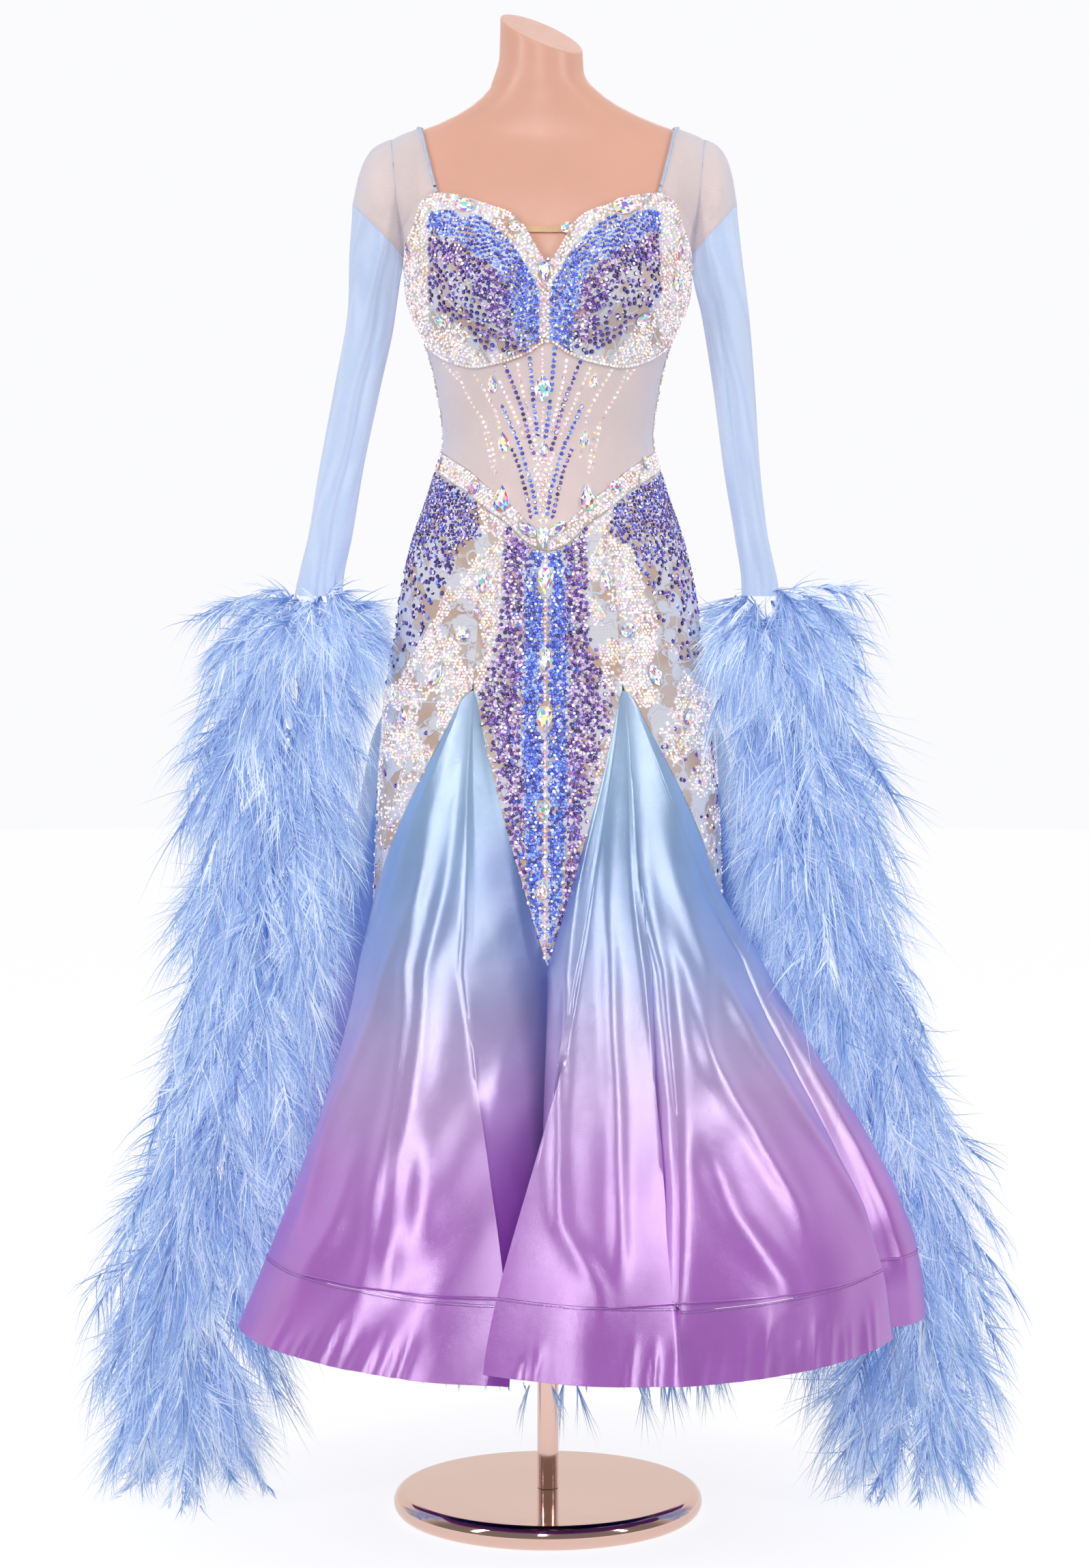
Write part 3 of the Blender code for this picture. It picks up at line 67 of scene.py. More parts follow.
NECK_MIDDLE, NECK_SLOPE_X, NECK_SLOPE_Y, NECK_STRAIGHT = (-0.0070, 0.004, 1.661), -0.40, 0.36, 1.600
BUST_APEX_X, BUST_APEX_Z, BUST_FULLNESS = 0.074, 1.372, 0.026
BUST_SPREAD_X, BUST_SPREAD_UP, BUST_SPREAD_DOWN = 0.046, 0.060, 0.042
BOA_CORE = 0.015


class Curve:
    """Smooth curves through the columns of a table, by its first column."""

    def __init__(self, rows):
        table = np.array(rows, dtype=float)
        self.keys, self.table = table[:, 0], table
        rise = np.diff(table, axis=0) / np.diff(self.keys)[:, None]
        before, after = rise[:-1], rise[1:]
        same = before * after > 0
        self.slopes = np.zeros_like(table)
        self.slopes[1:-1] = np.where(same, 2 * before * after / np.where(same, before + after, 1.0), 0.0)

    def __call__(self, key, column=1):
        key = np.clip(key, self.keys[0], self.keys[-1])
        i = np.clip(np.searchsorted(self.keys, key, side="right") - 1, 0, len(self.keys) - 2)
        span = self.keys[i + 1] - self.keys[i]
        u = (key - self.keys[i]) / span
        y, m = self.table[:, column], self.slopes[:, column]
        first = (2 * u**3 - 3 * u**2 + 1) * y[i] + (u**3 - 2 * u**2 + u) * m[i] * span
        return first + (3 * u**2 - 2 * u**3) * y[i + 1] + (u**3 - u**2) * m[i + 1] * span


FORM = Curve([
    # height, half_width, front, back, squareness (2 is an ellipse)
    (0.900, 0.1480, 0.0900, 0.1080, 2.0),
    (0.912, 0.1600, 0.0990, 0.1180, 2.0),
    (0.950, 0.1680, 0.1050, 0.1240, 2.0),
    (1.005, 0.1655, 0.1070, 0.1230, 2.0),
    (1.092, 0.1490, 0.0990, 0.1110, 2.0),
    (1.160, 0.1265, 0.0890, 0.0935, 2.0),
    (1.215, 0.1130, 0.0825, 0.0840, 2.0),
    (1.265, 0.1190, 0.0850, 0.0880, 2.0),
    (1.318, 0.1320, 0.0910, 0.0940, 2.0),
    (1.375, 0.1530, 0.0960, 0.0985, 2.1),
    (1.405, 0.1545, 0.0960, 0.1000, 2.2),
    (1.440, 0.1640, 0.0900, 0.0980, 2.4),
    (1.480, 0.1810, 0.0780, 0.0890, 2.6),
    (1.508, 0.1890, 0.0640, 0.0750, 2.6),
    (1.528, 0.1850, 0.0530, 0.0650, 2.4),
    (1.542, 0.1700, 0.0470, 0.0590, 2.2),
    (1.553, 0.1440, 0.0445, 0.0570, 2.0),
    (1.564, 0.1140, 0.0440, 0.0560, 2.0),
    (1.582, 0.0800, 0.0450, 0.0550, 2.0),
    (1.602, 0.0570, 0.0450, 0.0540, 2.0),
    (1.630, 0.0465, 0.0445, 0.0530, 2.0),
    (1.700, 0.0450, 0.0440, 0.0520, 2.0),
])
SKIRT = Curve([
    # height, half_width, front, back
    (0.100, 0.2050, 0.1800, 0.2080),
    (0.240, 0.2020, 0.1760, 0.2040),
    (0.640, 0.1960, 0.1580, 0.1820),
    (0.740, 0.1925, 0.1460, 0.1680),
    (0.829, 0.1880, 0.1330, 0.1530),
    (0.917, 0.1815, 0.1195, 0.1385),
    (0.960, 0.1760, 0.1135, 0.1315),
    (1.005, 0.1655 + EASE, 0.1070 + EASE, 0.1230 + EASE),
])
CUP_EDGES = Curve([
    # angle, top, bottom
    (0.0, 1.403, 1.318),
    (5.8, 1.422, 1.311),
    (9.0, 1.440, 1.306),
    (13.3, 1.455, 1.302),
    (22.0, 1.466, 1.296),
    (30.7, 1.476, 1.2925),
    (38.0, 1.479, 1.2905),
    (45.0, 1.471, 1.2920),
    (50.0, 1.458, 1.2945),
    (58.0, 1.441, 1.2990),
    (75.0, 1.416, 1.3130),
    (86.0, 1.402, 1.3250),
])
HIP_BAND = Curve([
    # angle, height of the upper edge
    (0.0, 1.112),
    (6.2, 1.117),
    (17.5, 1.140),
    (29.0, 1.157),
    (46.0, 1.179),
    (70.0, 1.194),
    (90.0, 1.199),
    (120.0, 1.192),
    (150.0, 1.176),
    (180.0, 1.156),
])
BACK_BODICE = Curve([
    # angle, height of the upper edge
    (86.0, 1.402),
    (105.0, 1.412),
    (125.0, 1.432),
    (145.0, 1.440),
    (160.0, 1.405),
    (180.0, 1.372),
])
# The skirt's folds at the hem, in order round it: each starts in a valley and rises to a crest.
FOLDS = [
    # godet, valley, valley_radius, crest_from, crest_to, radius_from, radius_to, lip_from, lip_to, bell, columns,
    # low_from, low_to
    ("front_right", -0.5, 0.215, -9.4, 19.4, 0.410, 0.416, 4.6, 1.4, 0.5, 12, -0.009, 0.006),
    ("front_right", 18.2, 0.376, 21.0, 62.0, 0.402, 0.430, 0.0, 0.0, 0.8, 9, 0.010, -0.001),
    ("front_right", 66.5, 0.378, 73.0, 85.0, 0.428, 0.424, 0.0, 0.0, 0.9, 5, -0.002, 0.0),
    ("back_right", 97.0, 0.264, 119.0, 140.0, 0.440, 0.446, 0.0, 1.0, 0.6, 7, 0.0, 0.004),
    ("back_right", 144.0, 0.330, 149.0, 174.0, 0.450, 0.440, 1.0, 0.0, 0.6, 7, 0.003, 0.0),
    ("back_left", 180.0, 0.245, 186.0, 211.0, 0.440, 0.450, 0.0, 1.0, 0.6, 7, 0.0, 0.004),
    ("back_left", 216.0, 0.330, 220.0, 241.0, 0.446, 0.440, 1.0, 0.0, 0.6, 7, 0.003, 0.0),
    ("front_left", 263.0, 0.256, 288.0, 353.2, 0.368, 0.378, 0.0, 1.0, 0.12, 13, 0.0, 0.010),
]
GODETS = {
    # godet: apex_angle, apex_height, first_seam_angle_at_tip, last_seam_angle_at_tip, crowding at the two seams
    "front_right": (FRONT_APEX_ANGLE, FRONT_APEX, 0.0, SIDE_ANGLE, 1.55, 1.0),
    "back_right": (BACK_APEX_ANGLE, BACK_APEX, SIDE_ANGLE, 180.0, 1.0, 1.0),
    "back_left": (360.0 - BACK_APEX_ANGLE, BACK_APEX, 180.0, 360.0 - SIDE_ANGLE, 1.0, 1.0),
    "front_left": (360.0 - FRONT_APEX_ANGLE, FRONT_APEX, 360.0 - SIDE_ANGLE, 360.0, 1.0, 0.70),
}
PANELS = {
    # lace panel: godet before it, godet after it
    "front": ("front_left", "front_right"),
    "right": ("front_right", "back_right"),
    "back": ("back_right", "back_left"),
    "left": ("back_left", "front_left"),
}
UNDERSKIRT = Curve([
    # height, clearance inside the lace skirt
    (UNDERSKIRT_HEM, 0.0130),
    (0.340, 0.0120),
    (0.500, 0.0100),
    (0.640, 0.0080),
    (0.760, 0.0060),
    (0.870, 0.0050),
    (0.972, 0.0021),
])
SLEEVES = Curve([
    # height, left_x, left_half_width, right_x, right_half_width, half_depth, rise, fold_depth
    (WRIST, 0.2555, 0.0235, 0.2375, 0.0180, 0.0350, 0.0000, 0.24),
    (1.1100, 0.2425, 0.0228, 0.2265, 0.0165, 0.0360, 0.0000, 0.30),
    (1.1792, 0.2305, 0.0225, 0.2162, 0.0180, 0.0380, 0.0000, 0.32),
    (1.2700, 0.2120, 0.0228, 0.2070, 0.0205, 0.0410, 0.0020, 0.30),
    (1.3528, 0.1960, 0.0235, 0.1970, 0.0230, 0.0430, 0.0060, 0.22),
    (1.4000, 0.1925, 0.0250, 0.1890, 0.0235, 0.0450, 0.0160, 0.10),
    (1.4440, 0.1885, 0.0255, 0.1840, 0.0230, 0.0470, 0.0270, 0.00),
])
BOAS = Curve([
    # place along the boa, left_x, right_x, y, z, reach
    (0, 0.2780, 0.2560, 0.0030, 1.0228, 0.060),
    (1, 0.2880, 0.2640, 0.0060, 0.9900, 0.075),
    (2, 0.3020, 0.2730, 0.0100, 0.9300, 0.100),
    (3, 0.3060, 0.2800, 0.0150, 0.8300, 0.106),
    (4, 0.3140, 0.2920, 0.0250, 0.7400, 0.104),
    (5, 0.3260, 0.3190, 0.0350, 0.6500, 0.104),
    (6, 0.3460, 0.3430, 0.0450, 0.5600, 0.105),
    (7, 0.3680, 0.3670, 0.0550, 0.4700, 0.107),
    (8, 0.3900, 0.3890, 0.0620, 0.3800, 0.110),
    (9, 0.4080, 0.4070, 0.0650, 0.2900, 0.112),
    (10, 0.4170, 0.4180, 0.0600, 0.2000, 0.110),
    (11, 0.4150, 0.4200, 0.0500, 0.1250, 0.104),
    (12, 0.4110, 0.4200, 0.0400, 0.0740, 0.090),
])


# ---- shapes of the figure and the skirt ----------------------------------------------------------------
DOWN = np.array([0, 0, -1])


def smooth(low, high, value):
    u = np.clip((value - low) / (high - low), 0.0, 1.0)
    return u * u * (3 - 2 * u)


def unit(v):
    return v / np.maximum(np.linalg.norm(v, axis=-1, keepdims=True), 1e-12)


def bust(x, z):
    spread = np.where(z > BUST_APEX_Z, BUST_SPREAD_UP, BUST_SPREAD_DOWN)
    across = ((np.abs(x) - BUST_APEX_X) / BUST_SPREAD_X) ** 2
    return BUST_FULLNESS * np.exp(-across - ((z - BUST_APEX_Z) / spread) ** 2)


def matched(angle, z):
    """Angles and heights as arrays of one shape, with the sines and cosines of the angles."""
    angle, z = np.broadcast_arrays(np.asarray(angle, float), np.asarray(z, float))
    return angle, z, np.sin(np.radians(angle)), np.cos(np.radians(angle))


def form_surface(angle, z):
    _, z, s, c = matched(angle, z)
    power = FORM(z, 4)
    grow = (np.abs(s) ** power + np.abs(c) ** power) ** (-1 / power)
    x = FORM(z, 1) * s * grow
    y = -np.where(c > 0, FORM(z, 2), FORM(z, 3)) * c * grow
    y = y - bust(x, z) * np.sqrt(np.maximum(c, 0.0))
    return np.stack([x + NECK_MIDDLE[0] * smooth(1.550, 1.615, z), y, z], -1)


def normals_of(surface, angle, z):
    """Outward normals of a surface that is given by angle and height."""
    around = surface(angle + 0.8, z) - surface(angle - 0.8, z)
    up = surface(angle, z + 0.004) - surface(angle, z - 0.004)
    return unit(np.cross(around, up))


def form_point(angle, z, out=0.0):
    return form_surface(angle, z) + normals_of(form_surface, angle, z) * out


def skirt_surface(angle, z):
    """The inside of the smooth lace skirt, with no godets."""
    angle, z, s, c = matched(angle, z)
    low = np.stack([SKIRT(z, 1) * s, -np.where(c > 0, SKIRT(z, 2), SKIRT(z, 3)) * c, z], -1)
    return np.where((z >= SKIRT.keys[-1])[..., None], form_point(angle, z, EASE), low)


def cone_radius(angle, z):
    """Distance from the axis to the smooth skirt at this polar angle."""
    s, c = np.sin(np.radians(angle)), np.cos(np.radians(angle))
    depth = np.where(c > 0, SKIRT(z, 2), SKIRT(z, 3))
    return 1 / np.hypot(s / SKIRT(z, 1), c / depth)


def polar(angle, radius, z):
    t = np.radians(angle)
    return np.stack([radius * np.sin(t), -radius * np.cos(t), z + 0 * t], -1)


def polar_angle(point, near):
    angle = np.degrees(np.arctan2(point[..., 0], -point[..., 1]))
    return angle + 360 * np.round((near - angle) / 360)


def front_turn(angle):
    """The distance of an angle from the centre front, 0 to 180, the same on both sides."""
    return np.abs((np.asarray(angle, float) + 180) % 360 - 180)


def distances(line):
    """The distance along a line to each of its points."""
    return np.concatenate([[0], np.cumsum(np.linalg.norm(np.diff(line, axis=0), axis=1))])


def read_along(want, length, columns):
    """Three columns of values along a line, read at these distances."""
    return np.stack([np.interp(want, length, columns[:, k]) for k in range(3)], 1)


def curve_through(points, count):
    """count points at even steps of length on a smooth curve through these."""
    ends = np.vstack([2 * points[:1] - points[1:2], points, 2 * points[-1:] - points[-2:-1]])
    u = (np.arange(12) / 12)[:, None]
    fine = []
    for p0, p1, p2, p3 in zip(ends, ends[1:], ends[2:], ends[3:]):
        bend, twist = 2 * p0 - 5 * p1 + 4 * p2 - p3, 3 * p1 - p0 - 3 * p2 + p3
        fine.append(0.5 * (2 * p1 + (p2 - p0) * u + bend * u**2 + twist * u**3))
    fine = np.vstack([*fine, points[-1:]])
    length = distances(fine)
    return read_along(np.linspace(0, length[-1], count), length, fine)


def fold_outline(fold, next_fold, lips):
    """The points of one fold at the hem, valley to valley, with their heights counted from HEM."""
    _, valley, valley_radius, start, end, r_start, r_end, lip_start, lip_end, _, _, low_start, low_end = fold
    next_valley = next_fold[1] + 360 * round((end - next_fold[1]) / 360)
    next_radius, neck = next_fold[2], 0.018 * lips
    first, last = start + lip_start * lips, end - lip_end * lips
    rows = [(valley, valley_radius, 0.0)]
    rows.append((valley + (first - valley) * 0.72, valley_radius + (r_start - valley_radius) * 0.52, -low_start * 0.5))
    if lip_start:
        rows.append((first, r_start - neck, -low_start))
    steps = max(2, round((end - start) / 14))
    for i in range(steps + 1):
        u = i / steps
        radius = r_start + (r_end - r_start) * u - (0.010 if i in (0, steps) else 0.0)
        rows.append((start + (end - start) * u, radius, -low_start - (low_end - low_start) * u))
    if lip_end:
        rows.append((last, r_end - neck, -low_end))
    side = (next_valley + (last - next_valley) * 0.72, next_radius + (r_end - next_radius) * 0.52, -low_end * 0.5)
    rows += [side, (next_valley, next_radius, 0.0)]
    return np.array([polar(*row) for row in rows])


def godet_hem(godet, lips, fine):
    """The godet's hem columns, seam to seam, and the bell of each."""
    columns, bells = [], []
    for i, fold in enumerate(FOLDS):
        if fold[0] == godet:
            path = curve_through(fold_outline(fold, FOLDS[(i + 1) % len(FOLDS)], lips), fold[10] * fine + 1)
            path = path[1:] if columns else path
            columns.append(path)
            bells += [fold[9]] * len(path)
    return np.vstack(columns), np.array(bells)


def seam_angle(apex_angle, apex_height, tip_angle, z):
    """The angle of a godet's seam, which starts with a small round end."""
    t = np.clip((apex_height - z) / (apex_height - TIP), 0.0, 1.0)
    return apex_angle + (tip_angle - apex_angle) * (t + 0.05 * (1 - np.exp(-t / 0.02)) * (1 - t) ** 8)


def godet_row(godet, z, fine):
    """The inside points of a godet at one height, seam to seam."""
    apex_angle, apex_height, first_tip, last_tip, first_crowd, last_crowd = GODETS[godet]
    seams = []
    for tip in (first_tip, last_tip):
        angle = seam_angle(apex_angle, apex_height, tip, z)
        seams.append(float(polar_angle(skirt_surface(angle, max(z, TIP)), angle)))
    v = (apex_height - z) / (apex_height - HEM)
    hem, bells = godet_hem(godet, float(smooth(0.30, 0.75, v)), fine)
    below_tip = min(1.0, max(0.0, (TIP - z) / (TIP - HEM)))
    turned = 1 - (1 - below_tip) ** 1.6
    lowered = smooth(0.0, 1.0, (0.720 - z) / (0.720 - HEM))
    share = np.linspace(0, 1, len(hem))
    crowd = share**first_crowd * (1 - share) + (1 - (1 - share) ** last_crowd) * share
    upper = seams[0] + (seams[1] - seams[0]) * crowd
    hem_angle = polar_angle(hem, upper)
    angle = upper + (hem_angle - upper) * turned
    excess = np.hypot(hem[:, 0], hem[:, 1]) - cone_radius(hem_angle, HEM)
    opened = (1 - bells) * v**2.3 + bells * smooth(0.22, 0.95, v)
    if "back" in godet:  # these stand away from the hips sooner
        opened = opened + 0.21 * smooth(0.0, 0.18, v) * smooth(0.85, 0.40, v) * (1 - opened)
    opened[[0, -1]] = below_tip
    puff = PUFF * math.sin(math.pi * min(1.0, v / 0.5)) * np.clip(6 * np.minimum(share, 1 - share), 0, 1)
    return polar(angle, cone_radius(angle, z) + excess * opened + puff, z + hem[:, 2] * lowered)


def panel_seams(panel, z):
    """The section angles of a lace panel's two seams at this height."""
    before, after = (GODETS[name] for name in PANELS[panel])
    start = seam_angle(before[0], before[1], before[3], z)
    end = seam_angle(after[0], after[1], after[2], z)
    return start - 360 * np.ceil((start - end - 1e-6) / 360), end


def underskirt_surface(angle, z):
    """The outside of the underskirt."""
    _, z, s, c = matched(angle, z)
    depth = np.where(c > 0, SKIRT(z, 2), SKIRT(z, 3)) - UNDERSKIRT(z)
    return np.stack([(SKIRT(z, 1) - UNDERSKIRT(z)) * s, -depth * c, z], -1)


# ---- meshes --------------------------------------------------------------------------------------------
pieces = {}  # every piece that stands for a node, by its name


def link(name, mesh, material):
    mesh.materials.append(material)
    made = bpy.data.objects.new(name, mesh)
    scene.collection.objects.link(made)
    return made


def rework(mesh, job):
    """Runs one bmesh job on a mesh."""
    work = bmesh.new()
    work.from_mesh(mesh)
    job(work)
    work.to_mesh(mesh)
    work.free()


def new_mesh(name, points, faces, turn_out=False):
    """A mesh from points and faces, which are turned outwards where that is asked."""
    mesh = bpy.data.meshes.new(name)
    mesh.from_pydata([tuple(p) for p in points], [], faces)
    if turn_out:
        rework(mesh, lambda work: bmesh.ops.recalc_face_normals(work, faces=work.faces))
    return mesh


def attach(mesh, name, values, domain="POINT"):
    """Gives each point or face of a mesh its number, vector or colour."""
    values = np.asarray(values, np.float32)
    kinds = {1: ("FLOAT", "value"), 3: ("FLOAT_VECTOR", "vector"), 4: ("FLOAT_COLOR", "color")}
    kind, field = kinds[values.size // len(values)]
    mesh.attributes.new(name, kind, domain).data.foreach_set(field, values.ravel())


def finish_mesh(mesh, sharp=40, weld=None):
    """Welds collapsed rows, sets smooth shading and marks the edges of walls as sharp."""
    if weld:
        rework(mesh, lambda work: bmesh.ops.remove_doubles(work, verts=work.verts, dist=weld))
    mesh.shade_smooth()
    mesh.set_sharp_from_angle(angle=math.radians(sharp))


def grid_normals(grid, closed):
    around = np.roll(grid, -1, 1) - np.roll(grid, 1, 1) if closed else np.gradient(grid, axis=1)
    normal = unit(np.cross(np.gradient(grid, axis=0), around))
    for row, inner in ((0, 1), (-1, -2)):
        if np.ptp(grid[row], axis=0).max() < 1e-4:  # a point: it takes one normal for the whole row
            normal[row] = unit(normal[inner].mean(axis=0))
    return normal


def wall(name, outer, thickness, material, closed=False, flip=False, attributes=None):
    """Adds a closed cloth wall whose outside is this grid: its rows run down, its columns towards larger angles."""
    if flip:
        outer = outer[:, ::-1]
    rows, columns = outer.shape[:2]
    normal = grid_normals(outer, closed)
    inner = outer - normal * thickness
    points = np.concatenate([outer.reshape(-1, 3), inner.reshape(-1, 3)])
    wide = columns + 1 if closed else columns
    full = outer[:, np.arange(wide) % columns]
    u = np.concatenate([np.zeros((rows, 1)), np.cumsum(np.linalg.norm(np.diff(full, axis=1), axis=2), axis=1)], 1)
    u = u - u[:, wide // 2][:, None]
    fall = np.linalg.norm(np.diff(full, axis=0), axis=2).mean(axis=1)
    v = -np.concatenate([[0], np.cumsum(fall)])[:, None] + 0 * u
    index = np.arange(rows)[:, None] * columns + np.arange(wide) % columns
    uv, back = np.stack([u, v], -1), rows * columns

    def quads(*corners):
        """Faces from (row slice, column slice, is_inner) corners, with their UVs."""
        ids = [index[r, c] + back * side for r, c, side in corners]
        return np.stack(ids, -1).reshape(-1, 4), np.stack([uv[r, c] for r, c, _ in corners], -2).reshape(-1, 4, 2)

    up, down, left, right = slice(None, -1), slice(1, None), slice(None, -1), slice(1, None)
    parts = [quads((up, left, 0), (down, left, 0), (down, right, 0), (up, right, 0))]
    parts.append(quads((up, left, 1), (up, right, 1), (down, right, 1), (down, left, 1)))
    parts.append(quads((0, left, 1), (0, left, 0), (0, right, 0), (0, right, 1)))
    parts.append(quads((-1, left, 0), (-1, left, 1), (-1, right, 1), (-1, right, 0)))
    if not closed:
        parts.append(quads((up, 0, 1), (down, 0, 1), (down, 0, 0), (up, 0, 0)))
        parts.append(quads((up, -1, 0), (down, -1, 0), (down, -1, 1), (up, -1, 1)))
    faces = np.concatenate([p[0] for p in parts])
    mesh = new_mesh(name, points.tolist(), faces.tolist())
    layer = mesh.uv_layers.new(name="cloth")
    layer.data.foreach_set("uv", np.concatenate([p[1] for p in parts]).astype(np.float32).ravel())
    for key, values in (attributes or {}).items():
        values = values[:, ::-1] if flip else values
        attach(mesh, key, np.concatenate([values.ravel()] * 2))
    collapsed = any(np.ptp(outer[row], axis=0).max() < 1e-4 for row in (0, -1))
    finish_mesh(mesh, weld=1e-5 if collapsed else None)
    pieces[name] = link(name, mesh, material)


def stack(name, low, rings, high, material, sharp):
    """Adds a solid from a stack of rings, closed at its lower and its upper middle."""
    sides = len(rings[0])
    points = [low, *np.concatenate(rings), high]
    faces, last = [], 1 + (len(rings) - 1) * sides
    for k in range(sides):
        n = (k + 1) % sides
        faces += [(0, 1 + n, 1 + k), (last + k, last + n, len(points) - 1)]
        for a in range(1, last, sides):
            faces.append((a + k, a + n, a + sides + n, a + sides + k))
    mesh = new_mesh(name, points, faces)
    finish_mesh(mesh, sharp)
    pieces[name] = link(name, mesh, material)


def lathe(name, profile, sides, material):
    """Adds a turned solid from (radius, height) pairs that run from its lower middle to its upper middle."""
    t = np.arange(sides) * 2 * math.pi / sides
    rings = [np.stack([r * np.cos(t), r * np.sin(t), h + 0 * t], -1) for r, h in profile[1:-1]]
    stack(name, (0, 0, profile[0][1]), rings, (0, 0, profile[-1][1]), material, sharp=35)


def tube(name, paths, radius, material, sides=8):
    """Round cords along open paths, with closed ends."""
    points, faces = [], []
    for path in paths:
        path = np.asarray(path, float)
        ahead = unit(np.gradient(path, axis=0))
        across = unit(np.cross(ahead, np.where(np.abs(ahead[:, 2:]) > 0.9, [[0.0, 1, 0]], [[0.0, 0, 1]])))
        over = np.cross(ahead, across)
        at, t = len(points), np.arange(sides) * 2 * math.pi / sides
        ring = across[:, None] * np.cos(t)[:, None] + over[:, None] * np.sin(t)[:, None]
        points += (path[:, None] + ring * radius).reshape(-1, 3).tolist()
        for i in range(len(path) - 1):
            for k in range(sides):
                n, a = (k + 1) % sides, at + i * sides
                faces.append((a + n, a + k, a + sides + k, a + sides + n)[::-1])
        faces += [tuple(range(at, at + sides))[::-1], tuple(range(len(points) - sides, len(points)))]
    mesh = new_mesh(name, points, faces, turn_out=True)
    finish_mesh(mesh, sharp=60)
    return link(name, mesh, material)


# ---- finishes ------------------------------------------------------------------------------------------
def tone(red, green, blue):
    """A colour from its 0 to 255 display values."""
    shares = (red / 255, green / 255, blue / 255)
    return tuple(c / 12.92 if c <= 0.04045 else ((c + 0.055) / 1.055) ** 2.4 for c in shares) + (1.0,)


class Nodes:
    """A node tree under construction."""

    def __init__(self, tree):
        self.tree = tree

    def add(self, kind, inputs=None, **settings):
        node = self.tree.nodes.new(kind)
        for key, value in settings.items():
            setattr(node, key, value)
        for key, value in (inputs or {}).items():
            used = [s for s in node.inputs if s.name == key and s.enabled]
            self.put(used[0] if used else node.inputs[key], value)
        return node

    def first(self, kind, inputs=None, **settings):
        """The first output of a new node."""
        return self.add(kind, inputs, **settings).outputs[0]

    def put(self, socket, value):
        if isinstance(value, bpy.types.NodeSocket):
            self.tree.links.new(value, socket)
        elif value is not None:
            socket.default_value = value

    def calc(self, operation, a, b=None, c=None, clamp=False):
        inputs = {i: value for i, value in enumerate((a, b, c)) if value is not None}
        return self.first("ShaderNodeMath", inputs, operation=operation, use_clamp=clamp)

    def vector(self, operation, a, b=None, **inputs):
        inputs = {0: a, **({} if b is None else {1: b}), **inputs}
        return self.first("ShaderNodeVectorMath", inputs, operation=operation)

    def span(self, value, low, high, to_low=0.0, to_high=1.0, smooth_step=True):
        kind = "SMOOTHSTEP" if smooth_step else "LINEAR"
        inputs = {"Value": value, "From Min": low, "From Max": high, "To Min": to_low, "To Max": to_high}
        return self.add("ShaderNodeMapRange", inputs, interpolation_type=kind).outputs["Result"]

    def blend(self, share, a, b, kind="MIX"):
        node = self.add("ShaderNodeMix", data_type="RGBA", blend_type=kind)
        for i, value in ((0, share), (6, a), (7, b)):
            self.put(node.inputs[i], value)
        return node.outputs[2]

    def ramp(self, value, stops):
        node = self.add("ShaderNodeValToRGB", {"Fac": value})
        line = node.color_ramp.elements
        while len(line) < len(stops):
            line.new(0.5)
        for element, (place, color) in zip(line, stops):
            element.position, element.color = place, color
        return node.outputs["Color"]

    def noise(self, vector, scale, detail=2.0, roughness=0.5):
        inputs = {"Vector": vector, "Scale": scale, "Detail": detail, "Roughness": roughness}
        return self.add("ShaderNodeTexNoise", inputs).outputs["Fac"]

    def stretch(self, vector, scale):
        return self.add("ShaderNodeMapping", {"Vector": vector, "Scale": scale}).outputs["Vector"]

    def parts(self, vector):
        return self.add("ShaderNodeSeparateXYZ", {"Vector": vector}).outputs

    def mark(self, name, output="Fac"):
        """A value that the mesh carries under this name."""
        return self.add("ShaderNodeAttribute", attribute_name=name).outputs[output]

    def feed(self, shader, **values):
        """Joins these values to the shader's inputs."""
        for key, value in values.items():
            self.put(shader[key.replace("_", " ")], value)

    def rest(self, share):
        """What this share leaves of the whole."""
        return self.calc("SUBTRACT", 1.0, share)

    def group(self, tree, **inputs):
        node = self.add("ShaderNodeGroup", node_tree=tree)
        for key, value in inputs.items():
            self.put(node.inputs[key.replace("_", " ").capitalize()], value)
        return node.outputs


def new_tree(name, kind, inputs, outputs):
    """An empty tree. Its sockets are (name, socket kind, value). Returns its builder, inputs and outputs."""
    tree = bpy.data.node_groups.new(name, kind)
    for way, sockets in (("INPUT", inputs), ("OUTPUT", outputs)):
        for label, socket_kind, value in sockets:
            socket = tree.interface.new_socket(label, in_out=way, socket_type="NodeSocket" + socket_kind)
            if value is not None:
                socket.default_value = value
    made = Nodes(tree)
    return made, made.add("NodeGroupInput").outputs, made.add("NodeGroupOutput").inputs


def shader_group(name, inputs, *outputs, kind="Float"):
    return new_tree(name, "ShaderNodeTree", inputs, [(label, kind, None) for label in outputs])


def weave_group():
    """Crossing threads: a height for Bump, and a shade between dark gaps and bright threads."""
    inputs = [("Vector", "Vector", None), ("Across", "Float", 1200.0), ("Along", "Float", 1200.0)]
    g, inside, out = shader_group("thread weave", inputs, "Height", "Shade")
    parts = g.parts(inside["Vector"])
    warp = g.calc("SINE", g.calc("MULTIPLY", parts["X"], inside["Across"]))
    weft = g.calc("SINE", g.calc("MULTIPLY", parts["Y"], inside["Along"]))
    raised = g.calc("MAXIMUM", warp, weft)
    uneven = g.noise(inside["Vector"], 160.0)
    g.put(out["Height"], g.calc("MULTIPLY_ADD", uneven, 0.6, raised))
    g.put(out["Shade"], g.span(raised, -0.6, 0.8))
    return g.tree


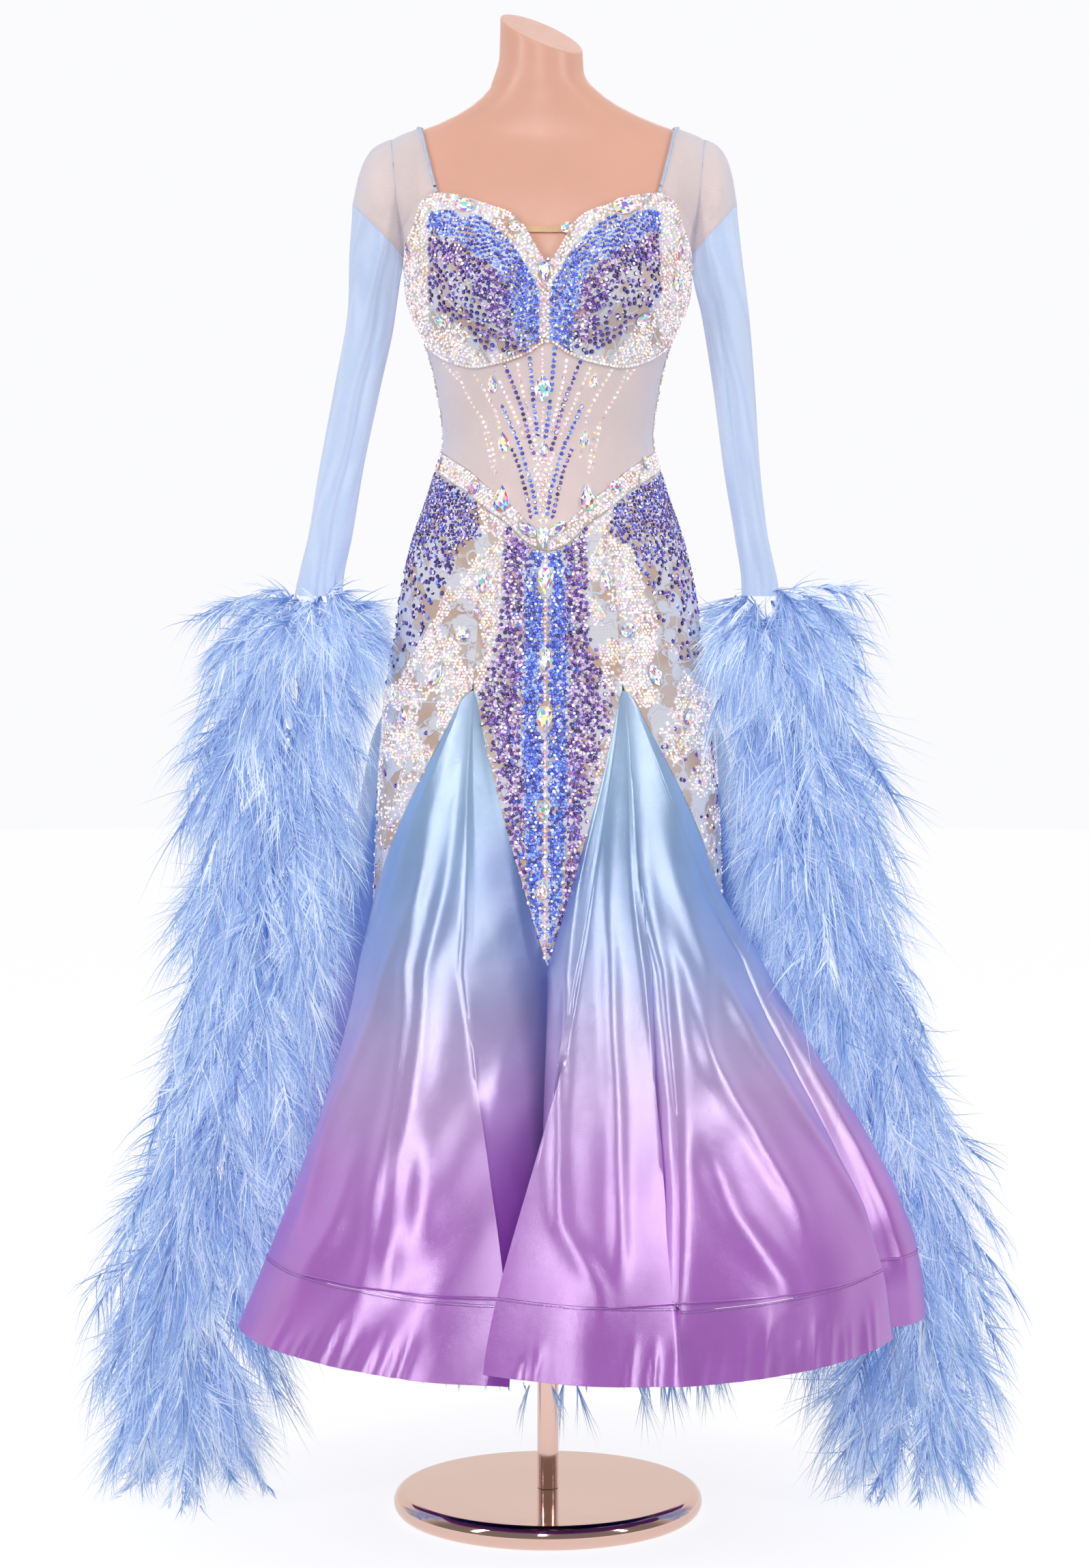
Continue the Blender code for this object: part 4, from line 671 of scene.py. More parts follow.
def net_group():
    """A diamond net: its threads, 1 on a thread and 0 in a hole."""
    inputs = [("Vector", "Vector", None), ("Pitch", "Float", 0.0026), ("Thread", "Float", 0.30)]
    g, inside, out = shader_group("diamond net", inputs, "Threads")
    parts = g.parts(inside["Vector"])
    lines = []
    for way in ("ADD", "SUBTRACT"):
        slant = g.calc("DIVIDE", g.calc(way, parts["X"], g.calc("MULTIPLY", parts["Y"], 0.8)), inside["Pitch"])
        lines.append(g.calc("PINGPONG", slant, 0.5))
    nearest = g.calc("MINIMUM", *lines)
    soft = g.calc("MULTIPLY", inside["Thread"], 0.5)
    g.put(out["Threads"], g.rest(g.span(nearest, g.calc("MULTIPLY", soft, 0.5), soft)))
    return g.tree


def lace_group():
    """Corded floral lace: a mask of its solid threads, a height, and the small holes within its flowers."""
    inputs = [("Vector", "Vector", None), ("Flower", "Float", 0.034), ("Cover", "Float", 0.5)]
    g, inside, out = shader_group("floral lace", inputs, "Cloth", "Height")
    wobble = g.add("ShaderNodeTexNoise", {"Vector": inside["Vector"], "Scale": 45.0, "Detail": 1.0})
    bent = g.vector("MULTIPLY", wobble.outputs["Color"], (0.006, 0.006, 0))
    place = g.vector("ADD", inside["Vector"], bent)
    scale = g.calc("DIVIDE", 1.0, inside["Flower"])
    cells = {"Vector": place, "Scale": scale, "Randomness": 0.85}
    cells = g.add("ShaderNodeTexVoronoi", cells, voronoi_dimensions="2D")
    away = g.vector("SUBTRACT", place, cells.outputs["Position"])
    parts = g.parts(away)
    turn = g.calc("ARCTAN2", parts["Y"], parts["X"])
    hue = g.add("ShaderNodeSeparateColor", {"Color": cells.outputs["Color"]}).outputs["Red"]
    petals = g.calc("COSINE", g.calc("MULTIPLY_ADD", turn, 5.0, g.calc("MULTIPLY", hue, 6.3)))
    reach = g.calc("MULTIPLY", g.calc("MULTIPLY_ADD", petals, 0.10, 0.36), inside["Flower"])
    radius = g.add("ShaderNodeVectorMath", {0: away}, operation="LENGTH").outputs["Value"]
    share = g.calc("DIVIDE", radius, reach)
    flower = g.rest(g.span(share, 0.92, 1.0))
    ring = g.calc("ABSOLUTE", g.calc("SUBTRACT", share, 0.62))
    hole = g.calc("MULTIPLY", g.rest(g.span(ring, 0.05, 0.09)), g.span(petals, -0.2, 0.3))
    field = g.noise(inside["Vector"], 32.0, 1.0)
    scroll = g.rest(g.span(g.calc("ABSOLUTE", g.calc("SUBTRACT", field, 0.5)), 0.016, 0.026))
    low, high = (g.calc("SUBTRACT", top, inside["Cover"]) for top in (1.02, 1.05))
    patch = g.span(g.noise(inside["Vector"], 24.0, 1.5), low, high)
    flower = g.calc("SUBTRACT", flower, hole, clamp=True)
    cloth = g.calc("MAXIMUM", g.calc("MAXIMUM", flower, scroll), patch)
    veins = g.calc("SINE", g.calc("MULTIPLY", share, 16.0))
    cord = g.rest(g.span(g.calc("ABSOLUTE", g.calc("SUBTRACT", share, 0.90)), 0.04, 0.12))
    g.put(out["Cloth"], cloth)
    g.put(out["Height"], g.calc("MULTIPLY_ADD", veins, 0.12, g.calc("MULTIPLY_ADD", cord, 0.5, cloth)))
    return g.tree


def grain_group():
    """Soft uneven tone: multiplies a colour by a slow noise."""
    inputs = [("Vector", "Vector", None), ("Color", "Color", None), ("Scale", "Float", 20.0),
              ("Amount", "Float", 0.1)]
    g, inside, out = shader_group("uneven tone", inputs, "Color", kind="Color")
    field = g.noise(inside["Vector"], inside["Scale"], 3.0)
    shade = g.span(field, 0.3, 0.7, g.rest(inside["Amount"]), g.calc("ADD", 1.0, inside["Amount"]))
    grey = g.add("ShaderNodeCombineColor", {"Red": shade, "Green": shade, "Blue": shade}).outputs["Color"]
    g.put(out["Color"], g.blend(1.0, inside["Color"], grey, "MULTIPLY"))
    return g.tree


WEAVE, NET, LACE, GRAIN = weave_group(), net_group(), lace_group(), grain_group()


def new_finish(name, **sockets):
    """A material with these constants on its shader. Returns it, its tree builder, its shader and its coordinates."""
    material = bpy.data.materials.new(name)
    material.use_nodes = True
    g = Nodes(material.node_tree)
    shader = material.node_tree.nodes["Principled BSDF"]
    for key, value in sockets.items():
        shader.inputs[key.replace("_", " ").replace("Ior", "IOR")].default_value = value
    return material, g, shader.inputs, g.add("ShaderNodeTexCoord").outputs


def bump(g, height, distance):
    return g.add("ShaderNodeBump", {"Height": height, "Distance": distance}).outputs["Normal"]


def uneven(g, at, color, scale, amount):
    """This colour, slightly uneven over the piece."""
    return g.group(GRAIN, Vector=at["Object"], Color=color, Scale=scale, Amount=amount)["Color"]


def satin_finish():
    """Liquid satin dyed from light blue through lilac to orchid, with painted shade where a fold turns inwards."""
    material, g, shader, at = new_finish("ombre satin", Metallic=0.12, Roughness=0.21, IOR=2.4)
    height = g.parts(at["Object"])["Z"]
    wander = g.calc("MULTIPLY_ADD", g.noise(at["Object"], 4.0), 0.10, g.calc("SUBTRACT", height, 0.05))
    dye_and_shade = g.ramp(g.span(wander, 0.22, 0.96, smooth_step=False), [
        (0.03, tone(186, 104, 214)), (0.16, tone(190, 110, 218)), (0.27, tone(194, 128, 222)),
        (0.38, tone(198, 158, 226)), (0.47, tone(190, 174, 230)), (0.57, tone(162, 176, 230)),
        (0.68, tone(144, 176, 228)), (0.80, tone(150, 186, 230)), (0.97, tone(162, 196, 234)),
    ])
    # painted shade for the inward folds: dark violet-navy low on the skirt, a mild blue-grey higher up
    shadow = g.blend(g.span(height, 0.44, 0.66), tone(70, 54, 150), tone(170, 184, 224))
    deep = g.blend(1.0, dye_and_shade, shadow, "MULTIPLY")
    # the painted shade goes where the valley mark says a fold turns inwards
    dye_and_shade = g.blend(g.span(g.mark("valley"), 0.62, 1.0), dye_and_shade, deep)
    g.feed(shader, Base_Color=uneven(g, at, dye_and_shade, 14.0, 0.05))
    grain = g.noise(g.stretch(at["UV"], (1500.0, 700.0, 1.0)), 1.0, 3.0)
    weave = g.group(WEAVE, Vector=at["UV"], Across=9000.0, Along=3600.0)["Height"]
    soft = g.noise(at["Object"], 30.0, 2.0)
    raised = g.calc("MULTIPLY_ADD", soft, 4.0, g.calc("MULTIPLY_ADD", weave, 0.10, grain))
    g.feed(shader, Normal=bump(g, raised, 0.00010), Roughness=g.span(grain, 0.3, 0.7, 0.17, 0.25))
    return material


def plain_satin_finish():
    material, g, shader, at = new_finish("underskirt satin", Roughness=0.34, Specular_Ior_Level=0.7)
    g.feed(
        shader, Base_Color=uneven(g, at, tone(52, 64, 150), 12.0, 0.12),
        Normal=bump(g, g.group(WEAVE, Vector=at["UV"], Across=5200.0, Along=3600.0)["Height"], 0.00006),
    )
    return material


def sheer_finish():
    """Stretch mesh whose fine threads let what is behind show through."""
    material, g, shader, at = new_finish(
        "sheer mesh", Roughness=0.62, Sheen_Weight=0.25, Sheen_Roughness=0.4, Emission_Strength=0.14,
    )
    threads = g.group(NET, Vector=at["UV"], Pitch=0.0016, Thread=0.5)["Threads"]
    edge = g.add("ShaderNodeLayerWeight", {"Blend": 0.30}).outputs["Facing"]
    tint = g.blend(edge, uneven(g, at, tone(244, 228, 226), 9.0, 0.04), tone(206, 216, 234))
    # the mesh also glows a little in its own colour (Emission Strength 0.14): painted light
    g.feed(shader, Base_Color=tint, Emission_Color=tint)
    cover = g.calc("MULTIPLY_ADD", edge, 0.25, g.calc("MULTIPLY_ADD", threads, 0.14, 0.60))
    g.feed(
        shader, Alpha=g.calc("MULTIPLY_ADD", g.noise(at["UV"], 30.0), 0.06, g.calc("SUBTRACT", cover, 0.03)),
        Normal=bump(g, threads, 0.00012),
    )
    return material


def sleeve_finish():
    """Blue power mesh, with the slow watery bands of two layers of net."""
    material, g, shader, at = new_finish(
        "blue power mesh", Roughness=0.55, Sheen_Weight=0.30, Sheen_Roughness=0.4, Emission_Strength=0.20,
    )
    one = g.group(WEAVE, Vector=at["UV"], Across=5200.0, Along=3400.0)
    bent = g.noise(g.stretch(at["UV"], (26.0, 5.0, 1.0)), 1.0, 1.0)
    across = g.parts(at["UV"])["X"]
    watery = g.calc("SINE", g.calc("MULTIPLY_ADD", bent, 34.0, g.calc("MULTIPLY", across, 420.0)))
    light = g.blend(g.span(watery, -1.0, 1.0, 0.0, 0.35), tone(196, 214, 244), tone(220, 232, 252))
    light = uneven(g, at, light, 7.0, 0.04)
    g.feed(
        # the mesh also glows a little in its own colour (Emission Strength 0.20): painted light
        shader, Base_Color=light, Emission_Color=light, Alpha=g.calc("MULTIPLY_ADD", one["Shade"], 0.08, 0.86),
        Normal=bump(g, one["Height"], 0.00008),
    )
    return material


def lace_finish(name, ground, holes):
    """White corded lace on net over skin-coloured cloth."""
    material, g, shader, at = new_finish(name, Roughness=0.66, Sheen_Weight=0.15, Sheen_Roughness=0.5)
    lace = g.group(LACE, Vector=at["UV"], Flower=0.036, Cover=0.5)
    net = g.group(NET, Vector=at["UV"], Pitch=0.0027, Thread=0.34)["Threads"]
    lining = g.blend(g.span(g.noise(at["UV"], 18.0), 0.42, 0.60), ground, holes)
    under = g.blend(g.calc("MULTIPLY", net, 0.85), lining, tone(226, 218, 214))
    thread = g.group(WEAVE, Vector=at["UV"], Across=4200.0, Along=4200.0)
    white = g.blend(thread["Shade"], tone(214, 216, 228), tone(236, 237, 246))
    g.feed(shader, Base_Color=g.blend(lace["Cloth"], under, white))
    cords = g.calc("MAXIMUM", lace["Height"], g.calc("MULTIPLY", net, 0.4))
    g.feed(shader, Normal=bump(g, g.calc("MULTIPLY_ADD", thread["Height"], 0.05, cords), 0.0007))
    return material


def skin_finish():
    material, g, shader, at = new_finish(
        "form skin", Roughness=0.34, Specular_Ior_Level=0.5, Subsurface_Weight=0.10, Subsurface_Scale=0.01,
        Subsurface_Radius=(1.0, 0.4, 0.25), Sheen_Weight=0.08,
    )
    g.feed(
        shader, Base_Color=uneven(g, at, tone(240, 184, 162), 6.0, 0.03),
        Roughness=g.span(g.noise(at["Object"], 60.0), 0.3, 0.7, 0.31, 0.38),
        Normal=bump(g, g.noise(at["Object"], 900.0, 2.0), 0.00004),
    )
    return material


def metal_finish():
    material, g, shader, at = new_finish("rose gold", Metallic=1.0, Roughness=0.07)
    g.feed(
        shader, Base_Color=uneven(g, at, tone(246, 208, 192), 3.0, 0.02),
        Roughness=g.span(g.noise(at["Object"], 30.0, 4.0), 0.35, 0.75, 0.05, 0.11),
    )
    return material


def crystal_finish():
    """Foil-backed crystal: facets painted lighter or darker as shade, and pale stones flash with colour."""
    material, g, shader, _ = new_finish("crystal", Metallic=0.10, Specular_Ior_Level=0.45)
    facet, flash, table, tint = g.mark("facet"), g.mark("flash"), g.mark("table"), g.mark("tint", "Color")
    rainbow = g.ramp(facet, [
        (0.0, tone(255, 206, 226)), (0.2, tone(255, 240, 176)), (0.4, tone(190, 238, 226)),
        (0.6, tone(206, 206, 255)), (0.8, tone(255, 250, 245)), (1.0, tone(240, 196, 230)),
    ])
    color = g.blend(g.calc("MULTIPLY", flash, 0.26), tint, rainbow)
    # painted facet shade and reflection: by chance each side facet is dark, grey or near white
    side = g.ramp(facet, [
        (0.0, (0.06, 0.05, 0.06, 1)), (0.4, (0.24, 0.22, 0.24, 1)), (0.75, (0.64, 0.61, 0.62, 1)),
        (1.0, (1.0, 0.98, 0.96, 1)),
    ])
    top = g.ramp(facet, [(0.0, (0.6, 0.6, 0.6, 1)), (1.0, (1, 1, 1, 1))])
    # the table is painted a paler lilac-white and lighter than the sides: painted light
    heart = g.blend(g.calc("MULTIPLY", table, 0.05), color, tone(226, 214, 255))
    shade = g.blend(g.calc("MULTIPLY", table, 0.9), side, top)
    # pale stones lose much of their painted facet shade
    soft = g.blend(g.calc("MULTIPLY", flash, 0.52), shade, (1, 0.97, 0.93, 1))
    lit = g.blend(1.0, heart, soft, "MULTIPLY")
    # painted glints: a share of facets is turned nearly white and made to glow more
    spark = g.span(g.calc("FRACT", g.calc("MULTIPLY", facet, 37.0)), 0.81, 0.88)
    spark = g.calc("MULTIPLY", spark, g.calc("MULTIPLY_ADD", flash, 0.15, 0.65))
    shown = g.blend(g.calc("MULTIPLY", spark, 0.9), lit, g.blend(0.25, tone(252, 252, 255), color))
    # every stone glows a little in its own colour, as painted light, the glints most
    g.feed(
        shader, Base_Color=shown, Emission_Color=shown,
        Emission_Strength=g.calc("MULTIPLY_ADD", spark, 0.55, g.calc("MULTIPLY_ADD", flash, -0.20, 0.66)),
        Roughness=g.span(facet, 0.0, 1.0, 0.12, 0.30),
    )
    return material


def feather_finish():
    """Ostrich barbs, deeper blue at their roots, partly as painted shade, and nearly white at their ends."""
    material, g, shader, _ = new_finish(
        "ostrich feather", Roughness=0.62, Sheen_Weight=0.30, Sheen_Roughness=0.4, Emission_Strength=0.30,
    )
    share, hue = g.mark("share"), g.mark("hue")
    # the deeper roots are partly the feathers' colour and partly painted shade where the barbs crowd together
    ends = g.ramp(share, [(0.0, tone(124, 152, 200)), (0.35, tone(180, 200, 226)), (1.0, tone(226, 236, 244))])
    deep = g.blend(1.0, ends, tone(184, 206, 240), "MULTIPLY")
    color = g.blend(g.span(hue, 0.1, 0.9), deep, ends)
    color = g.blend(g.span(hue, 0.52, 0.95, 0.0, 0.9), color, tone(240, 246, 252))
    # the barbs also glow a little in their own colour (Emission Strength 0.30): painted light
    g.feed(shader, Base_Color=color, Emission_Color=color)
    return material


def cord_finish(name, color, rib):
    """Bound edges, elastic and thread: fine ribs along the cloth."""
    material, g, shader, at = new_finish(name, Roughness=0.6, Sheen_Weight=0.2, Sheen_Roughness=0.4)
    ribs = g.calc("SINE", g.calc("MULTIPLY", g.parts(at["Object"])["X"], rib))
    tint = uneven(g, at, color, 60.0, 0.08)
    g.feed(
        shader, Base_Color=g.blend(g.span(ribs, -1, 1, 0.0, 0.25), tint, tone(255, 255, 255)),
        Normal=bump(g, ribs, 0.0001),
    )
    return material


satin, under_satin, skin, metal = satin_finish(), plain_satin_finish(), skin_finish(), metal_finish()
sheer, power_mesh = sheer_finish(), sleeve_finish()
stone_lace = lace_finish("stone lace", tone(224, 200, 186), tone(214, 166, 136))
band_lace = lace_finish("band lace", tone(222, 196, 188), tone(206, 166, 146))
crystal, feather = crystal_finish(), feather_finish()
binding = cord_finish("blue binding", tone(192, 210, 240), 2600.0)
tan_elastic = cord_finish("tan elastic", tone(232, 186, 130), 5200.0)
stitch_thread = cord_finish("hem thread", tone(120, 60, 160), 9000.0)


# ---- dress form and stand ------------------------------------------------------------------------------
def make_form():
    sides = 84
    angle = np.arange(sides) * 360 / sides
    heights = np.linspace(FORM_BOTTOM, 1.60, 72)
    rows = [form_point(angle, z, -0.0003) for z in heights]

    for share in np.linspace(0, 1, 16)[1:]:  # the neck, up to its slanting cut
        row = form_point(angle, NECK_STRAIGHT + (NECK_MIDDLE[2] - NECK_STRAIGHT) * share)
        cut = NECK_MIDDLE[2] + NECK_SLOPE_X * (row[:, 0] - NECK_MIDDLE[0])
        cut = cut + NECK_SLOPE_Y * (row[:, 1] - NECK_MIDDLE[1])
        row[:, 2] = NECK_STRAIGHT + (cut - NECK_STRAIGHT) * share
        rows.append(row)
    top, bottom = rows[-1], rows[0]
    high, low = top.mean(axis=0), bottom.mean(axis=0)
    rows[-1] = top + DOWN * 0.0012
    for pull in (0.012, 0.03, 0.10, 0.4, 0.8):  # a rounded rim, then the cut face
        rows.append(top + (high - top) * pull + DOWN * (0.0002 if pull < 0.02 else 0))
    rows = [bottom + (low - bottom) * pull for pull in (0.8, 0.4, 0.1)] + rows
    stack("form_body", low, rows, high, skin, sharp=50)


def make_stand():
    flat = FOOT_RADIUS - FOOT_ROUND
    bend = np.linspace(-math.pi / 2, math.pi / 2, 24)
    edge = [(flat + FOOT_ROUND * math.cos(a), FOOT_HEIGHT / 2 * (1 + math.sin(a))) for a in bend]
    lathe("foot", [(0, 0), (0.08, 0), *edge, (0.08, FOOT_HEIGHT), (0, FOOT_HEIGHT)], 112, metal)
    low, top = FOOT_HEIGHT + SEAM, FORM_BOTTOM - SOCKET_HEIGHT - SEAM
    lathe("pole", [(0, low), (POLE_RADIUS, low), (POLE_RADIUS, top), (0, top)], 64, metal)
    low, top = top + SEAM, FORM_BOTTOM - SEAM
    step = SOCKET_HEIGHT * 0.4
    profile = [(0, low), (SOCKET_RADIUS * 0.75, low), (SOCKET_RADIUS, low + step), (SOCKET_RADIUS, top), (0, top)]
    lathe("socket", profile, 64, metal)


# ---- bodice --------------------------------------------------------------------------------------------
def body_grid(angle, top, bottom, rows, out):
    """Points of a piece of cloth on the figure between two edges, given as heights at each angle."""
    return form_point(angle, top + (bottom - top) * np.linspace(0, 1, rows)[:, None], out)


def cup_top(angle):
    return CUP_EDGES(front_turn(angle), 1)


def cup_bottom(angle):
    return CUP_EDGES(front_turn(angle), 2)


def band_top(angle):
    return HIP_BAND(front_turn(angle))


def band_bottom(angle):
    return band_top(angle) - HIP_BAND_WIDTH


def back_top(angle):
    return BACK_BODICE(front_turn(angle))


def make_bodice():
    angle = np.linspace(SEAM_HALF, CUP_SIDE - SEAM_HALF, 62)
    for end, way in (("left", -1), ("right", 1)):
        a = np.sort(angle * way)
        grid = body_grid(a, cup_top(a), cup_bottom(a), 34, CUP_EASE + LACE_WALL)
        wall("cup_" + end, grid, LACE_WALL, stone_lace)
    a = np.linspace(-(CUP_SIDE - SEAM_HALF), CUP_SIDE - SEAM_HALF, 84)
    grid = body_grid(a, cup_bottom(a) - SEAM, band_top(a) + SEAM, 26, EASE + MESH_WALL)
    wall("midriff", grid, MESH_WALL, sheer)
    a = np.linspace(CUP_SIDE + SEAM_HALF, 360 - CUP_SIDE - SEAM_HALF, 80)
    grid = body_grid(a, back_top(a), band_top(a) + SEAM, 30, EASE + LACE_WALL)
    wall("back_bodice", grid, LACE_WALL, stone_lace)
    a = np.linspace(0, 360, 181)[:-1]
    grid = body_grid(a, band_top(a), band_bottom(a), 6, EASE + BAND_WALL)
    wall("band_lace", grid, BAND_WALL, band_lace, closed=True)
    reach = math.degrees(math.asin(ELASTIC_HALF / float(FORM(ELASTIC_HEIGHT, 1))))
    a = np.linspace(-reach, reach, 40)
    z = ELASTIC_HEIGHT + ELASTIC_WIDTH / 2 - np.linspace(0, ELASTIC_WIDTH, 6)[:, None]
    wall("elastic", form_point(a, z, CUP_EASE - SEAM), MESH_WALL, tan_elastic)


# ---- shoulders and sleeves -----------------------------------------------------------------------------
SHOULDER_HEIGHTS = (1.28, 1.62)


def inside_form(point):
    """Below 1 inside the dress form, above 1 outside it."""
    x, y, z = point
    depth = FORM(z, 2 if y < 0 else 3)
    y = max(abs(y) - (float(bust(x, z)) if y < 0 else 0.0), 0.0)
    return abs(x / FORM(z, 1)) ** FORM(z, 4) + (y / depth) ** FORM(z, 4)


def out_of_form(start, direction, out=0.0):
    near, far = 0.0, 0.30
    for _ in range(30):
        middle = (near + far) / 2
        if inside_form(start + direction * middle) < 1:
            near = middle
        else:
            far = middle
    return start + direction * (near + out)


def armhole_point(turn):
    """A point of the left armhole: turn 0 at the top, 90 in front, 180 underneath and 270 behind."""
    up = (ARMHOLE_TOP - ARMHOLE_BOTTOM).normalized()
    a = math.radians(turn)
    return out_of_form((ARMHOLE_TOP + ARMHOLE_BOTTOM) / 2, up * math.cos(a) + Vector((0, -1, 0)) * math.sin(a))


def neckline_point(share, back):
    corner = Vector(form_point(*(NECKLINE_BACK if back else NECKLINE_FRONT)))
    x = corner.x + (NECKLINE_SHOULDER_X - corner.x) * share
    low = math.degrees(math.atan2(corner.z - SHOULDER_AXIS_Z, -corner.y)) % 360
    tilt = math.radians(low + (88 - low) * share)
    return out_of_form(Vector((x, 0.0, SHOULDER_AXIS_Z)), Vector((0, -math.cos(tilt), math.sin(tilt))))


def figure_tree():
    z, a = np.linspace(*SHOULDER_HEIGHTS, 120), np.arange(0, 360, 2.0)
    points = form_surface(a[None, :], z[:, None])
    count = len(a)
    faces = []
    for i in range(len(z) - 1):
        for k in range(count):
            n = (k + 1) % count
            faces.append((i * count + k, i * count + n, (i + 1) * count + n, (i + 1) * count + k))
    return BVHTree.FromPolygons(points.reshape(-1, 3).tolist(), faces)


def on_figure(tree, point, out, only_out=False):
    near, normal, _, _ = tree.find_nearest(Vector(point))
    return near + normal * (max(out, (Vector(point) - near).dot(normal)) if only_out else out)


def make_yokes(tree):
    """Adds the sheer front and back yokes. Returns their edges at the neckline."""
    necks, columns, rows = [], 18, 30
    for name, back in (("yoke_front", False), ("yoke_back", True)):
        first = (NECKLINE_BACK if back else NECKLINE_FRONT)[0]
        last = -(CUP_SIDE + 3.0) if back else -(CUP_SIDE - 2.0)
        a = np.linspace(first, last, columns)
        low = form_point(a, (back_top(a) if back else cup_top(a)) + 0.0010)
        turns = np.linspace(180, 360 if back else 0, rows)
        start = np.array([neckline_point(i / (rows - 1), back) for i in range(rows)])
        end = np.array([armhole_point(t) for t in turns])
        end[0] = low[-1]
        u, v = np.linspace(0, 1, columns)[None, :, None], np.linspace(0, 1, rows)[:, None, None]
        high = start[-1] + (end[-1] - start[-1]) * np.linspace(0, 1, columns)[:, None]
        ruled = low[None] * (1 - v) + high[None] * v + start[:, None] * (1 - u) + end[:, None] * u
        corners = low[0] * (1 - u) * (1 - v) + low[-1] * u * (1 - v) + high[0] * (1 - u) * v + high[-1] * u * v
        grid = (ruled - corners).reshape(-1, 3)
        grid = np.array([on_figure(tree, p, YOKE_EASE + MESH_WALL) for p in grid]).reshape(rows, columns, 3)
        for row, inner in ((0, 1), (-1, -2)):
            grid[row] += unit(grid[inner] - grid[row]) * 2 * SEAM
        for column, inner in ((0, 1), (-1, -2)):
            grid[:, column] += unit(grid[:, inner] - grid[:, column]) * 2 * SEAM
        for end_name, way in (("left", 1), ("right", -1)):
            side = grid * np.array([way, 1, 1])
            # rows run up from the bodice, so the columns are turned for the outside to face out
            wall(f"cloth_{name}_{end_name}", side, MESH_WALL, sheer, flip=(way > 0) == back)
            necks.append(side[:, 0])
    return necks


def sleeve_ring(z, side, out, sides):
    """One ring of a sleeve, from the outer end of its oval towards the front."""
    x_column = 1 if side < 0 else 3
    middle, half = SLEEVES(z, x_column), SLEEVES(z, x_column + 1)
    depth, rise, fold = SLEEVES(z, 5), SLEEVES(z, 6), SLEEVES(z, 7)
    a = 2 * math.pi * np.arange(sides) / sides
    shrink = 1 - fold * 0.5 * (1 + np.cos(3 * a + 0.9))
    x = side * np.cos(a) * (half * (1 - 0.35 * (1 - shrink)) + out)
    y = -np.sin(a) * (depth * shrink + out)
    return np.stack([side * middle + x, y, z + side * x / half * rise], -1)


# Fine long folds of a sleeve, each a soft ridge: turn round the sleeve, half width in degrees, depth, drift, length
SLEEVE_FOLDS = [
    (40, 13, 0.0016, 18, 0.9), (68, 10, 0.0014, -12, 1.0), (92, 12, -0.0016, 8, 0.8), (118, 11, 0.0015, -16, 1.0),
    (146, 14, 0.0012, 20, 0.7), (200, 16, -0.0016, 10, 0.9), (236, 13, 0.0014, -18, 1.0), (262, 11, -0.0014, 12, 0.8),
    (290, 13, 0.0016, 14, 1.0), (322, 14, 0.0012, -10, 0.9), (8, 12, -0.0012, 14, 0.8),
]


def make_sleeves(tree):
    """Adds the sheer sleeve heads and the long empty sleeves. Returns the edges of the heads, at their seams."""
    seams, sides = [], 72
    turn = np.arange(sides) * 360 / sides
    upper_edge = np.array([on_figure(tree, armhole_point(t), YOKE_EASE + MESH_WALL) for t in turn])
    for end, side in (("left", -1), ("right", 1)):
        lower = sleeve_ring(float(SLEEVES.keys[-1]), side, MESH_WALL, sides) * np.array([-side, 1, 1])
        middle = (upper_edge.mean(axis=0) + lower.mean(axis=0)) / 2
        rows = []
        for share in np.linspace(0, 1, 18):
            row = upper_edge + (lower - upper_edge) * share
            if 0 < share < 1:
                away = unit((upper_edge + lower) / 2 - middle)
                over = 0.2 + 0.8 * np.maximum(0, np.cos(np.radians(turn)))[:, None]
                row = row + away * HEAD_BULGE * over * math.sin(math.pi * share)
                row = np.array([on_figure(tree, p, YOKE_EASE + 0.0006 + MESH_WALL, True) for p in row])
            rows.append(row)
        rows[-1] = rows[-1] + unit(rows[-2] - rows[-1]) * SEAM
        grid = np.array(rows) * np.array([-side, 1, 1])
        wall("head_" + end, grid, MESH_WALL, sheer, closed=True, flip=side < 0)
        seams += [grid[0], grid[-1]]
        heights = np.linspace(SLEEVES.keys[-1], WRIST, 56)
        grid = np.array([sleeve_ring(z, side, SLEEVE_WALL, sides) for z in heights])
        down = np.linspace(0, 1, len(heights))[:, None]
        lift = 0 * down + 0 * turn
        for at, width, depth, drift, length in SLEEVE_FOLDS:
            away = (turn - at - drift * down + 180) % 360 - 180
            along = np.sin(math.pi * np.clip(down / length, 0, 1)) ** 0.6
            lift = lift + depth * np.exp(-((away / width) ** 2)) * along
        gather = 0.0008 * np.sin(np.radians(turn * 13)) * smooth(0.9, 1.0, down)
        normal = grid_normals(grid, True) * (-1 if side < 0 else 1)
        grid = grid + normal * (lift * smooth(0.0, 0.08, down) + gather)[..., None]
        wall("sleeve_cloth_" + end, grid, SLEEVE_WALL, power_mesh, closed=True, flip=side < 0)
    return seams


# ---- skirt ---------------------------------------------------------------------------------------------
def make_lace_panels():
    for panel in PANELS:
        start, end = panel_seams(panel, 1.05)
        share = np.linspace(0.0004, 0.9996, 44)
        rows = []
        top = start + (end - start) * share
        for k in np.linspace(0, 1, 20)[:-1]:
            edge = band_bottom(top) - SEAM
            rows.append(form_point(top, edge + (1.0 - edge) * k, EASE + LACE_WALL))
        for z in np.concatenate([np.linspace(1.0, 0.66, 40), np.linspace(0.655, TIP + TIP_GAP, 5)]):
            a, b = panel_seams(panel, z)
            angle = a + (b - a) * share
            inside = skirt_surface(angle, z)
            out = normals_of(skirt_surface, angle, z) * np.array([1, 1, 0])
            rows.append(inside + unit(out) * LACE_WALL)
        rows[-1] = np.repeat(rows[-1].mean(axis=0)[None], len(share), 0)
        wall("lace_panel_" + panel, np.array(rows), LACE_WALL, stone_lace)


